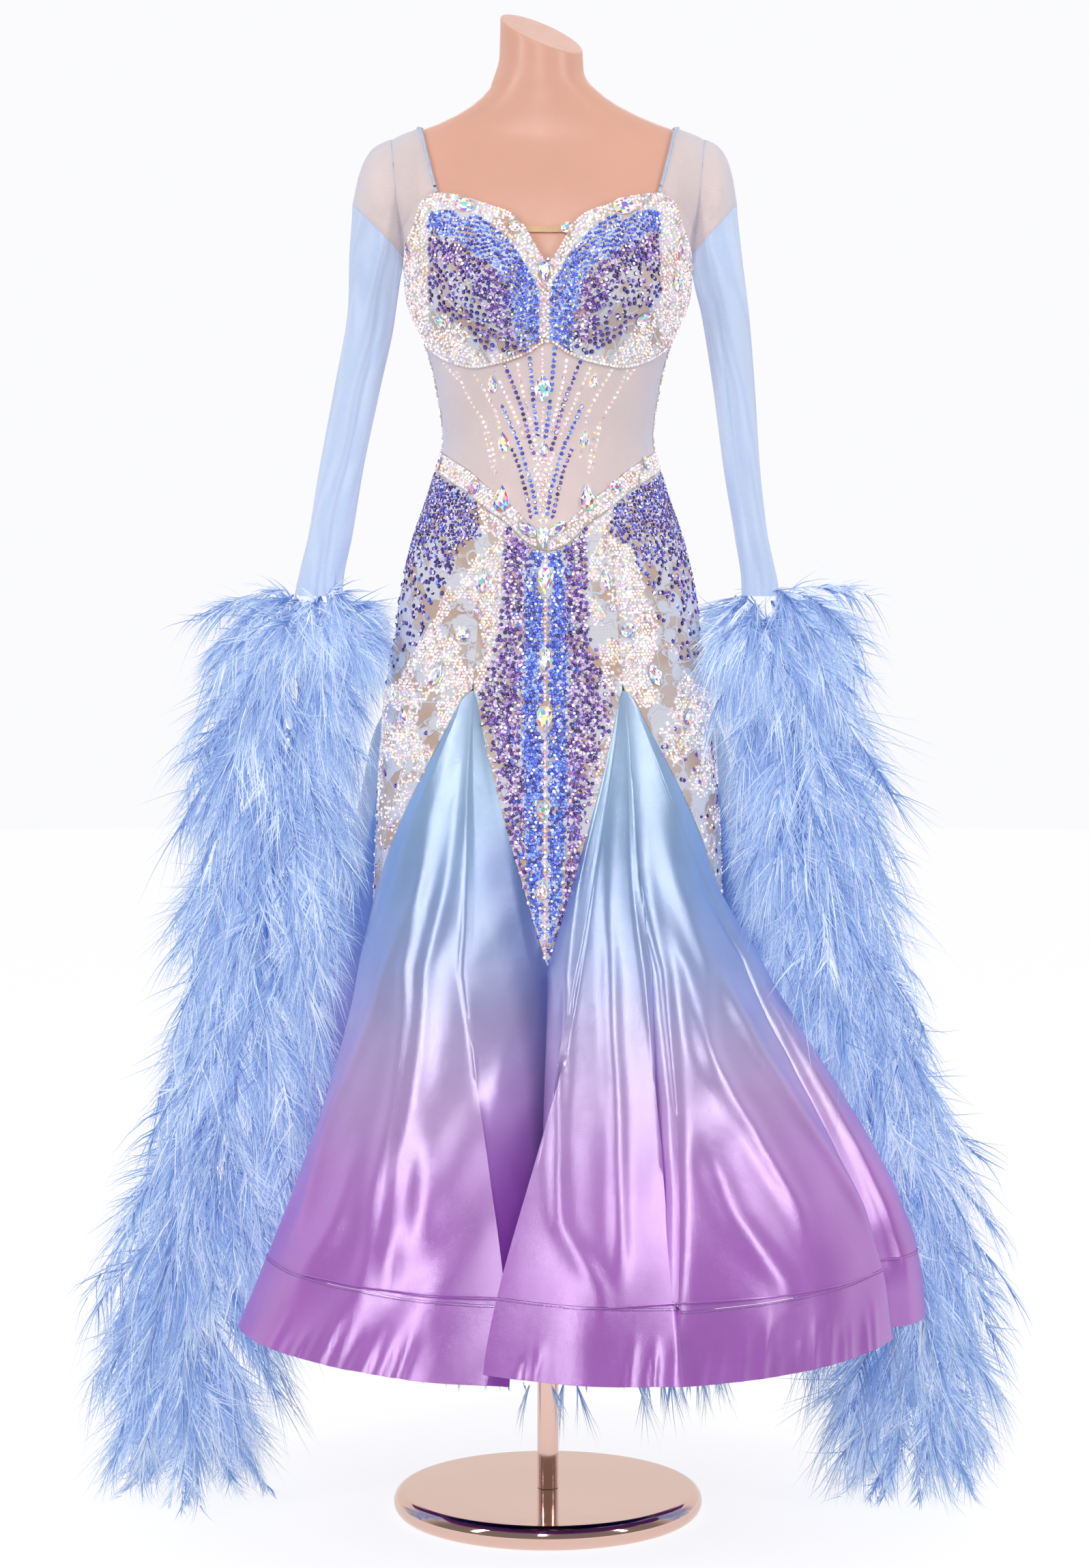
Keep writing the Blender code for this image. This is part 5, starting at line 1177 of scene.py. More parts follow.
# Long soft ridges of the satin, along lines of (height, share of the godet from seam to seam)
RIDGES = [
    # godet, lift, half width, line
    ("front_left", 0.0034, 0.0130, [(0.90, 0.34), (0.80, 0.37), (0.70, 0.49), (0.60, 0.535), (0.42, 0.52),
                                    (0.33, 0.53)]),
    ("front_left", 0.0034, 0.0120, [(0.88, 0.66), (0.79, 0.67), (0.70, 0.645), (0.60, 0.61), (0.44, 0.57),
                                    (0.34, 0.575)]),
    ("front_left", 0.0040, 0.0150, [(0.72, 0.44), (0.65, 0.42), (0.55, 0.34), (0.48, 0.285), (0.38, 0.32)]),
    ("front_left", 0.0030, 0.0170, [(0.50, 0.62), (0.43, 0.63), (0.38, 0.64)]),
    ("front_left", 0.0034, 0.0150, [(0.44, 0.44), (0.37, 0.43), (0.32, 0.39)]),
    ("front_right", 0.0034, 0.0120, [(0.90, 0.02), (0.74, 0.09), (0.62, 0.17), (0.50, 0.23), (0.39, 0.27),
                                     (0.33, 0.33)]),
    ("front_right", 0.0036, 0.0120, [(0.90, 0.15), (0.80, 0.25), (0.66, 0.31), (0.50, 0.34), (0.36, 0.35)]),
    ("front_right", 0.0040, 0.0110, [(0.92, 0.56), (0.80, 0.52), (0.65, 0.485), (0.40, 0.480), (0.30, 0.478)]),
    ("front_right", 0.0036, 0.0130, [(0.80, 0.66), (0.70, 0.655), (0.62, 0.60), (0.55, 0.56)]),
    ("front_right", 0.0042, 0.0130, [(0.66, 0.55), (0.57, 0.555), (0.48, 0.605), (0.40, 0.64)]),
    ("front_right", 0.0042, 0.0140, [(0.62, 0.66), (0.52, 0.70), (0.44, 0.735), (0.37, 0.76)]),
    ("front_right", 0.0040, 0.0160, [(0.46, 0.53), (0.40, 0.55), (0.33, 0.60)]),
]
WANDER = 0.00028  # the height of the satin's slow unevenness
PUCKER_HALF, PUCKER_SLANT = 0.0058, 0.22
HEM_PUCKERS = {
    # godet: shares of it between which the hem edge puckers, and the distance between puckers
    "front_left": [(0.38, 0.64, 0.021)],
    "front_right": [(0.25, 0.28, 0.020), (0.36, 0.42, 0.026), (0.485, 0.72, 0.023)],
    "back_right": [(0.2, 0.45, 0.034), (0.6, 0.8, 0.034)],
    "back_left": [(0.2, 0.42, 0.034), (0.6, 0.8, 0.034)],
}


def ridge_lift(godet, share, z, wide):
    """How far the satin stands proud of its plain surface. wide is the length of each row."""
    lift = 0 * share * z
    for name, height, half, line in RIDGES:
        if name == godet:
            heights, shares = (np.array(v) for v in zip(*line[::-1]))
            away = (share - np.interp(z, heights, shares)) * wide
            ends = smooth(heights[0] - 0.05, heights[0] + 0.03, z) * smooth(heights[-1] + 0.05, heights[-1] - 0.03, z)
            lift = lift + height * np.exp(-((away / half) ** 2)) * ends * np.minimum(1, wide / 0.45)
    chance = np.random.default_rng(sum(godet.encode()))
    along = share * wide
    for _ in range(7):  # slow wandering, as cut satin never hangs quite plain
        across, down, start = chance.uniform(45, 95), chance.uniform(-9, 9), chance.uniform(0, 6.28)
        lift = lift + WANDER * np.sin(along * across + z * down + start) * np.minimum(1, wide / 0.6)
    for first, last, apart in HEM_PUCKERS[godet]:
        low_edge = wide[-1, 0]
        places = np.arange(first * low_edge, last * low_edge, apart)
        places = places + chance.uniform(-0.25, 0.25, len(places)) * apart
        for place, tall, height in zip(places, chance.uniform(0.024, 0.075, 200), chance.uniform(0.0012, 0.0030, 200)):
            fade = smooth(HEM + tall, HEM + 0.25 * tall, z)
            away = along - place / low_edge * wide - (z - HEM) * PUCKER_SLANT
            lift = lift + height * np.exp(-((away / PUCKER_HALF) ** 2)) * fade
    return lift


def godet_grid(godet, heights, fine):
    grid = np.array([godet_row(godet, z, fine) for z in heights])
    normal = grid_normals(grid, False)
    share = np.linspace(0, 1, grid.shape[1])[None]
    z = np.asarray(heights)[:, None]
    wide = np.linalg.norm(np.diff(grid, axis=1), axis=2).sum(axis=1)[:, None]
    edge = np.clip(12 * np.minimum(share, 1 - share), 0, 1)
    radius = np.hypot(grid[..., 0], grid[..., 1])
    crest = np.maximum(radius.max(axis=1, keepdims=True), 1e-6)
    inner = cone_radius(np.degrees(np.arctan2(grid[..., 0], -grid[..., 1])), z)
    # valley: how far into an inward fold a point lies, where the satin paints shade
    valley = 1 - smooth(0.0, 0.80, (radius - inner) / np.maximum(crest - inner, 0.004))
    valley = valley * smooth(0.02, 0.30, (GODETS[godet][1] - z) / (GODETS[godet][1] - HEM))
    return grid + normal * (SATIN_WALL + ridge_lift(godet, share, z, wide) * edge)[..., None], valley


def make_godets():
    """Adds the satin godets, the stiffened bands below their stitched lines and the underskirt."""
    for godet, (_, apex, *_) in GODETS.items():
        fine, rows = (6, 60) if "front" in godet else (4, 40)
        top = apex - 0.0010 - 0.0635 * np.linspace(0, 1, 10)[:-1] ** 1.3
        heights = np.concatenate([top, np.linspace(apex - 0.0645, BAND_TOP + SEAM, rows)])
        grid, valley = godet_grid(godet, heights, fine)
        grid[0] = grid[0].mean(axis=0)
        wall("satin_godet_" + godet, grid, SATIN_WALL, satin, attributes={"valley": valley})
        heights = np.linspace(BAND_TOP, HEM, 13)
        grid, valley = godet_grid(godet, heights, 12 if "front" in godet else 6)
        wall("satin_band_" + godet, grid, SATIN_WALL, satin, attributes={"valley": valley})
    z = np.linspace(UNDERSKIRT.keys[-1], UNDERSKIRT_HEM, 14)[:, None]
    grid = underskirt_surface(np.arange(96) * 3.75, z)
    wall("underskirt_cloth", grid, SATIN_WALL, under_satin, closed=True)


# ---- what repeats: stones, feather barbs and stitches ----------------------------------------------------
def geometry_tree(name, inputs):
    """An empty Geometry Nodes tree, with these inputs and one for the material."""
    geometry = ("Geometry", "Geometry", None)
    inputs = [geometry, *inputs, ("Material", "Material", None)]
    made, inside, out = new_tree(name, "GeometryNodeTree", inputs, [geometry])
    return made, inside, out["Geometry"]


def finish_tree(g, shapes, inside, out):
    """Ends a tree with plain faces of its material."""
    real = g.first("GeometryNodeRealizeInstances", {"Geometry": shapes})
    g.put(out, g.first("GeometryNodeSetMaterial", {"Geometry": real, "Material": inside["Material"]}))
    return g.tree


def made_by(tree, name, points, attributes, material, **sizes):
    """The plain mesh that this tree makes at these points."""
    mesh = new_mesh(name, points, [])
    for key, values in attributes.items():
        attach(mesh, key, values)
    made = link(name, mesh, material)
    modifier = made.modifiers.new("make", "NODES")
    modifier.node_group = tree
    for item in tree.interface.items_tree:
        if item.in_out == "INPUT" and item.name in sizes:
            modifier[item.identifier] = sizes[item.name]
        if item.in_out == "INPUT" and item.name == "Material":
            modifier[item.identifier] = material
    depsgraph = bpy.context.evaluated_depsgraph_get()
    plain = bpy.data.meshes.new_from_object(
        made.evaluated_get(depsgraph), preserve_all_data_layers=True, depsgraph=depsgraph
    )
    made.modifiers.remove(modifier)
    made.data = plain
    for key in attributes:
        if key in plain.attributes and key not in ("tint", "flash", "hue"):
            plain.attributes.remove(plain.attributes[key])
    return made


def named(g, name, kind="FLOAT"):
    return g.add("GeometryNodeInputNamedAttribute", {"Name": name}, data_type=kind).outputs["Attribute"]


def store(g, geometry, name, value, domain, kind="FLOAT", **only_on):
    inputs = {"Geometry": geometry, "Name": name, "Value": value, **only_on}
    return g.first("GeometryNodeStoreNamedAttribute", inputs, data_type=kind, domain=domain)


def stone_tree():
    """Sets a faceted stone on each point, by its facing, spin and radius."""
    sizes = [("Sides", "Int", 6), ("Table", "Float", 0.62), ("Height", "Float", 0.6), ("Seed", "Int", 3)]
    g, inside, out = geometry_tree("set stones", sizes)
    shape = {"Vertices": inside["Sides"], "Radius Top": inside["Table"], "Radius Bottom": 1.0}
    stone = g.add("GeometryNodeMeshCone", {**shape, "Depth": inside["Height"]}, fill_type="NGON").outputs
    # the top face is marked as the table, which the crystal finish paints lighter: painted light
    stone = store(g, stone["Mesh"], "table", 1.0, "FACE", Selection=stone["Top"])
    facing = g.first("FunctionNodeAlignRotationToVector", {"Vector": named(g, "facing", "FLOAT_VECTOR")}, axis="Z")
    spin = g.first("FunctionNodeAxisAngleToRotation", {"Axis": (0, 0, 1), "Angle": named(g, "spin")})
    turned = {"Rotation": facing, "Rotate By": spin}
    turned = g.first("FunctionNodeRotateRotation", turned, rotation_space="LOCAL")
    place = {"Points": inside["Geometry"], "Instance": stone, "Rotation": turned, "Scale": named(g, "radius")}
    set_stones = g.first("GeometryNodeInstanceOnPoints", place)
    real = g.first("GeometryNodeRealizeInstances", {"Geometry": set_stones})
    chance = g.add("FunctionNodeRandomValue", {"Min": 0.0, "Max": 1.0, "Seed": inside["Seed"]}, data_type="FLOAT")
    real = store(g, real, "facet", chance.outputs["Value"], "FACE")
    flat = g.first("GeometryNodeSetShadeSmooth", {"Geometry": real, "Shade Smooth": False})
    return finish_tree(g, flat, inside, out)


def barb_tree():
    """Grows a curved, tapering barb from each point, by its way, bend, side and broad attributes."""
    g, inside, out = geometry_tree("grow barbs", [("Taper", "Float", 1.4)])
    sizes = {"Size X": 1.0, "Size Y": 1.0, "Vertices X": 2, "Vertices Y": 4}
    grid = g.add("GeometryNodeMeshGrid", sizes).outputs["Mesh"]
    place = g.first("GeometryNodeInputPosition")
    parts = g.parts(place)
    share = g.calc("ADD", parts["Y"], 0.5)
    narrow = g.rest(g.calc("POWER", share, inside["Taper"]))
    across = g.calc("MULTIPLY", parts["X"], narrow)
    moved = g.first("ShaderNodeCombineXYZ", {"X": across, "Y": share, "Z": 0.0})
    grid = g.first("GeometryNodeSetPosition", {"Geometry": grid, "Position": moved})
    grid = g.first("GeometryNodeMergeByDistance", {"Geometry": grid, "Distance": 0.001})
    local = g.first("GeometryNodeInputPosition")
    grid = store(g, grid, "local", local, "POINT", "FLOAT_VECTOR")
    barbs = g.first("GeometryNodeInstanceOnPoints", {"Points": inside["Geometry"], "Instance": grid})
    real = g.first("GeometryNodeRealizeInstances", {"Geometry": barbs})
    local = named(g, "local", "FLOAT_VECTOR")
    parts = g.parts(local)
    along, bent, broad = (
        g.vector("SCALE", named(g, name, "FLOAT_VECTOR"), Scale=share)
        for name, share in (("way", parts["Y"]), ("bend", g.calc("POWER", parts["Y"], 2.0)), ("side", parts["X"]))
    )
    back = g.vector("ADD", broad, g.vector("SCALE", local, Scale=-1.0))
    shift = g.vector("ADD", g.vector("ADD", along, bent), back)
    real = g.first("GeometryNodeSetPosition", {"Geometry": real, "Offset": shift})
    real = store(g, real, "share", parts["Y"], "POINT")
    real = g.first("GeometryNodeRemoveAttribute", {"Geometry": real, "Name": "local"})
    real = g.first("GeometryNodeSetShadeSmooth", {"Geometry": real, "Shade Smooth": True})
    return finish_tree(g, real, inside, out)


def stitch_tree():
    """Lays a short thread at each point, along its way and facing outwards."""
    sizes = [("Length", "Float", 0.0030), ("Width", "Float", 0.0009), ("Height", "Float", 0.0006)]
    g, inside, out = geometry_tree("lay stitches", sizes)
    size = {"X": inside["Length"], "Y": inside["Width"], "Z": inside["Height"]}
    size = g.first("ShaderNodeCombineXYZ", size)
    thread = g.add("GeometryNodeMeshCube", {"Size": size}).outputs["Mesh"]
    flat = {"Vector": named(g, "facing", "FLOAT_VECTOR")}
    flat = g.first("FunctionNodeAlignRotationToVector", flat, axis="Z")
    ahead = {"Rotation": flat, "Vector": named(g, "way", "FLOAT_VECTOR")}
    ahead = g.first("FunctionNodeAlignRotationToVector", ahead, axis="X", pivot_axis="Z")
    place = {"Points": inside["Geometry"], "Instance": thread, "Rotation": ahead}
    return finish_tree(g, g.first("GeometryNodeInstanceOnPoints", place), inside, out)


# ---- stones --------------------------------------------------------------------------------------------
SHADES = {
    # kind: colours of its stones, as display values
    "aurora": [(255, 248, 232), (255, 218, 230), (255, 236, 176), (206, 234, 224), (220, 204, 244), (250, 240, 222),
               (255, 253, 248), (190, 160, 176), (255, 255, 255), (255, 226, 238), (240, 212, 204), (255, 222, 234)],
    "rose": [(250, 184, 208), (255, 214, 226), (255, 236, 240), (236, 150, 190), (255, 250, 245)],
    "milk": [(255, 250, 250), (255, 240, 242), (250, 226, 232)],
    "blue": [(50, 92, 228), (34, 68, 204), (80, 128, 244), (116, 162, 255), (24, 46, 168), (60, 110, 240),
             (44, 84, 220)],
    "violet": [(100, 56, 162), (78, 44, 140), (140, 94, 188), (192, 158, 218), (56, 32, 112), (118, 74, 176),
               (90, 52, 152), (220, 198, 234)],
    "night": [(58, 34, 134), (76, 46, 152), (42, 26, 108), (62, 58, 178), (98, 64, 168), (134, 104, 196)],
}
# how strongly each kind flashes with colour; it also lightens the painted facet shade, brightens the painted glints
# and dims the painted glow
FLASH = {"aurora": 1.0, "rose": 0.6, "milk": 0.3, "blue": 0.25, "violet": 0.12, "night": 0.08}
MIDDLE_X, ROSE_HALF = -0.003, 0.0062  # the middle of the skirt's stones, and half the bodice's rose strip
ROW_STEP = 0.866  # the distance between staggered rows, for stones 1 apart
LACE_RADIUS = 0.16
STONE_TILT, STONE_SINK = 0.07, 0.0003  # how unevenly a stone faces out, and how far it sinks in
CROWDING, GEM_ROOM = 0.67, 0.0015  # closest centres, as a share of both radii, and the room left round a gem
BLUE_HALF = Curve([
    # height, half width of the blue stones down the middle of the skirt
    (0.636, 0.0025), (0.66, 0.006), (0.70, 0.014), (0.74, 0.020), (0.80, 0.0225), (0.90, 0.024), (1.05, 0.022),
    (1.09, 0.016), (1.112, 0.0),
])
VIOLET_HALF = Curve([
    # height, how far out the violet stones beside them reach
    (0.70, 0.035), (0.84, 0.052), (0.87, 0.060), (0.90, 0.072), (0.93, 0.075), (0.95, 0.066), (1.00, 0.052),
    (1.05, 0.046), (1.125, 0.045),
])
AURORA_HALF = Curve([
    # height, how far out the pale stones of the hips reach
    (0.92, 0.200), (0.95, 0.160), (0.98, 0.145), (1.01, 0.125), (1.04, 0.112), (1.07, 0.103), (1.09, 0.095),
    (1.11, 0.070), (1.14, 0.075), (1.20, 0.080),
])
OUTER_VIOLET = Curve([
    # height, share of the hips' places that hold a violet stone
    (0.93, 0.05), (0.96, 0.08), (1.00, 0.14), (1.04, 0.24), (1.07, 0.42), (1.10, 0.75), (1.13, 1.0), (1.20, 1.0),
])
LOW_AURORA = Curve([
    # height, share of the low places that hold a pale stone
    (0.66, 0.0), (0.70, 0.04), (0.75, 0.12), (0.80, 0.40), (0.84, 0.66), (0.87, 0.92), (0.93, 0.95),
])
CUP_FIELDS = Curve([
    # distance from the middle, upper and lower edge of the blue, lower edge of the close violet, and of the loose
    (0.0000, 1.3600, 1.3000, 1.3000, 1.3000),
    (0.0065, 1.3700, 1.3000, 1.3000, 1.3000),
    (0.0110, 1.3814, 1.3000, 1.3000, 1.3000),
    (0.0209, 1.3987, 1.3000, 1.3000, 1.3000),
    (0.0307, 1.4135, 1.3200, 1.3000, 1.3000),
    (0.0330, 1.4160, 1.3493, 1.3050, 1.3000),
    (0.0430, 1.4280, 1.3790, 1.3150, 1.3050),
    (0.0528, 1.4370, 1.3938, 1.3350, 1.3080),
    (0.0724, 1.4510, 1.4086, 1.3680, 1.3180),
    (0.0871, 1.4560, 1.4185, 1.3880, 1.3330),
    (0.1068, 1.4592, 1.4308, 1.4020, 1.3480),
    (0.1289, 1.4592, 1.4358, 1.4060, 1.3620),
])


def gown_outside(angle, z):
    """The outside of the bodice and lace skirt, with its normals."""
    turn, band = front_turn(angle), band_top(angle)
    cup = (turn < CUP_SIDE) & (z > cup_bottom(angle)) & (z < cup_top(angle) + 0.002)
    out = np.where(z > band, np.where(turn < CUP_SIDE, MESH_WALL, LACE_WALL), BAND_WALL)
    out = np.where(z < band - HIP_BAND_WIDTH, LACE_WALL, out)
    out = np.where(cup, CUP_EASE - EASE + LACE_WALL, out)
    normal = normals_of(skirt_surface, angle, z)
    return skirt_surface(angle, z) + normal * out[..., None], normal


def angle_at(x, z):
    """The angle on the front at which the gown is this far across."""
    low, high = np.full(np.shape(x), -88.0), np.full(np.shape(x), 88.0)
    for _ in range(26):
        middle = (low + high) / 2
        over = skirt_surface(middle, z)[..., 0] > x
        low, high = np.where(over, low, middle), np.where(over, middle, high)
    return (low + high) / 2


def staggered(top, low, start, end, pitch, drift, chance):
    """Staggered rows of places that follow an edge downwards, as angles and heights."""
    fine, places = np.linspace(start, end, 700), []
    for k in range(int((np.max(top(fine)) - low) / (pitch * ROW_STEP)) + 1):
        z = top(fine) - (k + 0.55) * pitch * ROW_STEP
        length = distances(skirt_surface(fine, z))
        length -= np.interp((start + end) / 2, fine, length)
        want = np.arange(math.ceil(length[0] / pitch), length[-1] / pitch - 0.5) + 0.5 * (k % 2)
        want = (want + chance.normal(0, drift, len(want))) * pitch
        angle = np.interp(want, length, fine)
        places.append(np.stack([angle, np.interp(angle, fine, z) + chance.normal(0, drift, len(angle)) * pitch], -1))
    return np.concatenate(places).T


class Stones:
    """Stones collected for one piece. Each has a place, a facing, a radius and a kind."""

    def __init__(self, seed):
        self.chance = np.random.default_rng(seed)
        self.rows = []

    def add(self, angle, z, radius, kind, keep=None):
        angle, z = np.atleast_1d(angle), np.atleast_1d(z)
        kept = np.ones(len(angle), bool) if keep is None else self.chance.random(len(angle)) < keep
        angle, z = angle[kept], z[kept]
        point, normal = gown_outside(angle, z)
        radius = np.broadcast_to(radius, kept.shape)[kept] * self.chance.uniform(0.93, 1.06, len(angle))
        self.rows += [(p, n, r, kind) for p, n, r in zip(point, normal, radius)]

    def thin(self, taken):
        """Drops stones that would sit on one set before them, or on a gem."""
        cell, filled, kept = 0.007, {}, []

        def near(p):
            i, j, k = (int(v // cell) for v in p)
            for a in (i - 1, i, i + 1):
                for b in (j - 1, j, j + 1):
                    for c in (k - 1, k, k + 1):
                        yield from filled.get((a, b, c), ())

        points = np.array([p for p, *_ in self.rows])
        free = np.ones(len(points), bool)
        for centre, reach in taken:
            free &= np.linalg.norm(points - centre, axis=1) > reach + GEM_ROOM
        for (p, n, r, kind), ok in zip(self.rows, free):
            x, y, z = (float(v) for v in p)
            if not ok or any(math.dist((x, y, z), q) < CROWDING * (r + s) for q, s in near((x, y, z))):
                continue
            filled.setdefault((int(x // cell), int(y // cell), int(z // cell)), []).append(((x, y, z), r))
            kept.append((p, n, r, kind))
        self.rows = kept

    def set(self, name, tree):
        points, facing, radius, kinds = zip(*self.rows)
        points, facing, radius = np.array(points), np.array(facing), np.array(radius)
        facing = unit(facing + self.chance.normal(0, STONE_TILT, facing.shape))
        tints, flash = [], []
        for kind in kinds:
            shades = SHADES[kind]
            tints.append(tone(*shades[self.chance.integers(len(shades))]))
            flash.append(FLASH[kind])
        attributes = {
            "facing": facing, "spin": self.chance.uniform(0, 6.28, len(points)), "radius": radius,
            "tint": np.array(tints), "flash": np.array(flash),
        }
        return made_by(tree, name, points - facing * STONE_SINK, attributes, crystal)


def patchy(angle, z, size):
    """A slow random field over the gown, about 0 to 1."""
    points = skirt_surface(angle, z) / size
    return np.array([0.5 + 0.5 * noise.noise(Vector(p)) for p in points])


def set_cups(stones):
    column = np.arange(1.319, 1.408, 0.0046)
    stones.add(0 * column, column, 0.0023, "milk")
    for way in (-1, 1):
        ends = (-(CUP_SIDE - 0.4), -0.35) if way < 0 else (0.35, CUP_SIDE - 0.4)

        def field(pitch, drift):
            angle, z = staggered(cup_top, 1.288, *ends, pitch, drift, stones.chance)
            inside = (z > cup_bottom(angle) + 0.0015) & (np.abs(angle) > 0.4)
            angle, z = angle[inside], z[inside]
            x = np.abs(gown_outside(angle, z)[0][:, 0] + 0.004)
            edges = [CUP_FIELDS(x, column) for column in (1, 2, 3, 4)]
            outer = (x > 0.1270) | (np.abs(angle) > 62)
            return angle, z, x, edges, outer

        a = np.linspace(*ends, 400)  # one neat row along the lower edge
        length = distances(skirt_surface(a, cup_bottom(a)))
        row = np.interp(np.arange(0.002, length[-1], 0.0038), length, a)
        stones.add(row, cup_bottom(row) + 0.0022, 0.0019, "aurora")
        angle, z, x, edges, outer = field(0.0036, 0.05)
        blue = (z < edges[0]) & (z > edges[1]) & ~outer & (x > ROSE_HALF)
        stones.add(angle[blue], z[blue], 0.0024, "blue")
        angle, z, x, edges, outer = field(0.0037, 0.10)
        middle = x <= ROSE_HALF
        stones.add(angle[middle], z[middle], 0.0019, "rose")
        border = ((z >= edges[0]) | outer) & ~middle
        size = np.where(stones.chance.random(border.sum()) < 0.7, 0.0020, 0.0023)
        stones.add(angle[border], z[border], size, "aurora")
        low = (z <= edges[3]) & ~outer & ~middle
        holes = smooth(0.42, 0.56, patchy(angle, z, 0.028))
        near_edge = smooth(0.012, 0.004, z - cup_bottom(angle))
        stones.add(angle, z, 0.0020, "aurora", low * np.maximum(holes, near_edge) * 0.95)
        angle, z, x, edges, outer = field(0.0046, 0.06)
        close = (z <= edges[1]) & (z > edges[2]) & ~outer & (x > ROSE_HALF)
        pale = close & (patchy(angle, z, 0.03) > 0.56)
        stones.add(angle[close & ~pale], z[close & ~pale], 0.0028, "night")
        stones.add(angle[pale], z[pale], 0.0028, "violet", 0.97)
        angle, z, x, edges, outer = field(0.0070, 0.12)
        loose = (z <= edges[2]) & (z > edges[3]) & ~outer & (x > ROSE_HALF)
        stones.add(angle[loose], z[loose], 0.0030, "night", 0.86)


def open_lace(angle, z, margin):
    """Whether these places lie on a lace panel, this far inside its seams."""
    ok = np.zeros(len(angle), bool)
    step = math.degrees(margin / LACE_RADIUS)
    for panel in PANELS:
        start, end = panel_seams(panel, z)
        turned = (angle - start) % 360
        ok |= (turned > step) & (turned < end - start - step)
    low_enough = z < band_bottom(angle) - 0.0022
    return ok & low_enough & (z > TIP + 0.006)


def set_skirt(stones, start, end, wider):
    """The stones of the lace skirt between two angles, this much further apart than at the front."""
    def level(angle):
        return 1.180 + 0 * angle

    def field(pitch, drift):
        angle, z = staggered(level, TIP, start, end, pitch * wider, drift, stones.chance)
        ok = open_lace(angle, z, 0.0006)
        angle, z = angle[ok], z[ok]
        return angle, z, np.abs(gown_outside(angle, z)[0][:, 0] - MIDDLE_X)

    row = np.arange(TIP + 0.012, 1.088, 0.0047)
    stones.add(np.full(len(row), (start + end) / 2 - (1.0 if start < 0 else 0)), row, 0.0021, "rose")
    angle, z, x = field(0.0044, 0.06)
    blue = (x < BLUE_HALF(z)) & (x > 0.0032)
    stones.add(angle[blue], z[blue], 0.0027, "blue")
    angle, z, x = field(0.0046, 0.08)
    edge = VIOLET_HALF(z)
    violet = (x >= BLUE_HALF(z)) & (x < edge)
    thin = 1 - 0.55 * smooth(0.72, 1.0, x / edge) * smooth(1.06, 0.98, z)
    few = stones.chance.random(len(z)) < 0.12 * smooth(0.022, 0.0, x - BLUE_HALF(z))
    stones.add(angle[violet & few], z[violet & few], 0.0027, "blue")
    stones.add(angle, z, 0.0027, "violet", thin * (violet & ~few))
    angle, z, x = field(0.0038, 0.10)
    pale = (x >= VIOLET_HALF(z)) & (x < AURORA_HALF(z))
    holes = smooth(0.36, 0.50, patchy(angle, z, 0.036))
    high = smooth(1.10, 1.12, z)
    big = stones.chance.random(len(z)) < 0.25
    share = pale * np.maximum(holes, high) * np.where(z < 0.93, LOW_AURORA(z), 1.0) * 0.97
    stones.add(angle, z, np.where(big, 0.0024, 0.0020), "aurora", share)
    angle, z, x = field(0.0043, 0.10)
    outer = (x >= AURORA_HALF(z)) & (z > 0.93)
    share = OUTER_VIOLET(z)
    size = 0.0024 + 0.0006 * smooth(0.8, 0.2, share)
    blues = outer & (stones.chance.random(len(z)) < 0.12)
    stones.add(angle, z, size, "blue", share * blues)
    stones.add(angle, z, size, "night", share * (outer & ~blues))
    low = (z < 0.90) & (x >= VIOLET_HALF(z) - 0.004)
    stones.add(angle, z, 0.0028, "violet", low * 0.05)


def set_band(stones):
    for start, end in ((-180, 0), (0, 180)):
        angle, z = staggered(band_top, 1.08, start, end, 0.0038, 0.08, stones.chance)
        within = z > band_bottom(angle) + 0.0012
        angle, z = angle[within], z[within]
        stones.add(angle, z, np.where(stones.chance.random(len(z)) < 0.75, 0.0020, 0.0022), "aurora")


def set_back(stones):
    angle, z = staggered(back_top, 1.17, CUP_SIDE + 1, 360 - CUP_SIDE - 1, 0.0053, 0.09, stones.chance)
    inside = z > band_top(angle) + 0.003
    angle, z = angle[inside], z[inside]
    down = back_top(angle) - z
    border = (down < 0.019) | (np.minimum(front_turn(angle) - CUP_SIDE, 99) < 6)
    stones.add(angle[border], z[border], 0.0024, "aurora")
    blue = ~border & (down < 0.048)
    stones.add(angle[blue], z[blue], 0.0026, "blue")
    violet = ~border & ~blue
    share = smooth(0.115, 0.060, down) * 0.95 + 0.06
    stones.add(angle, z, 0.0028, "night", violet * share)
    pale = violet & (patchy(angle, z, 0.04) > 0.46)
    stones.add(angle, z, 0.0024, "aurora", pale * smooth(0.06, 0.11, down) * 0.75)


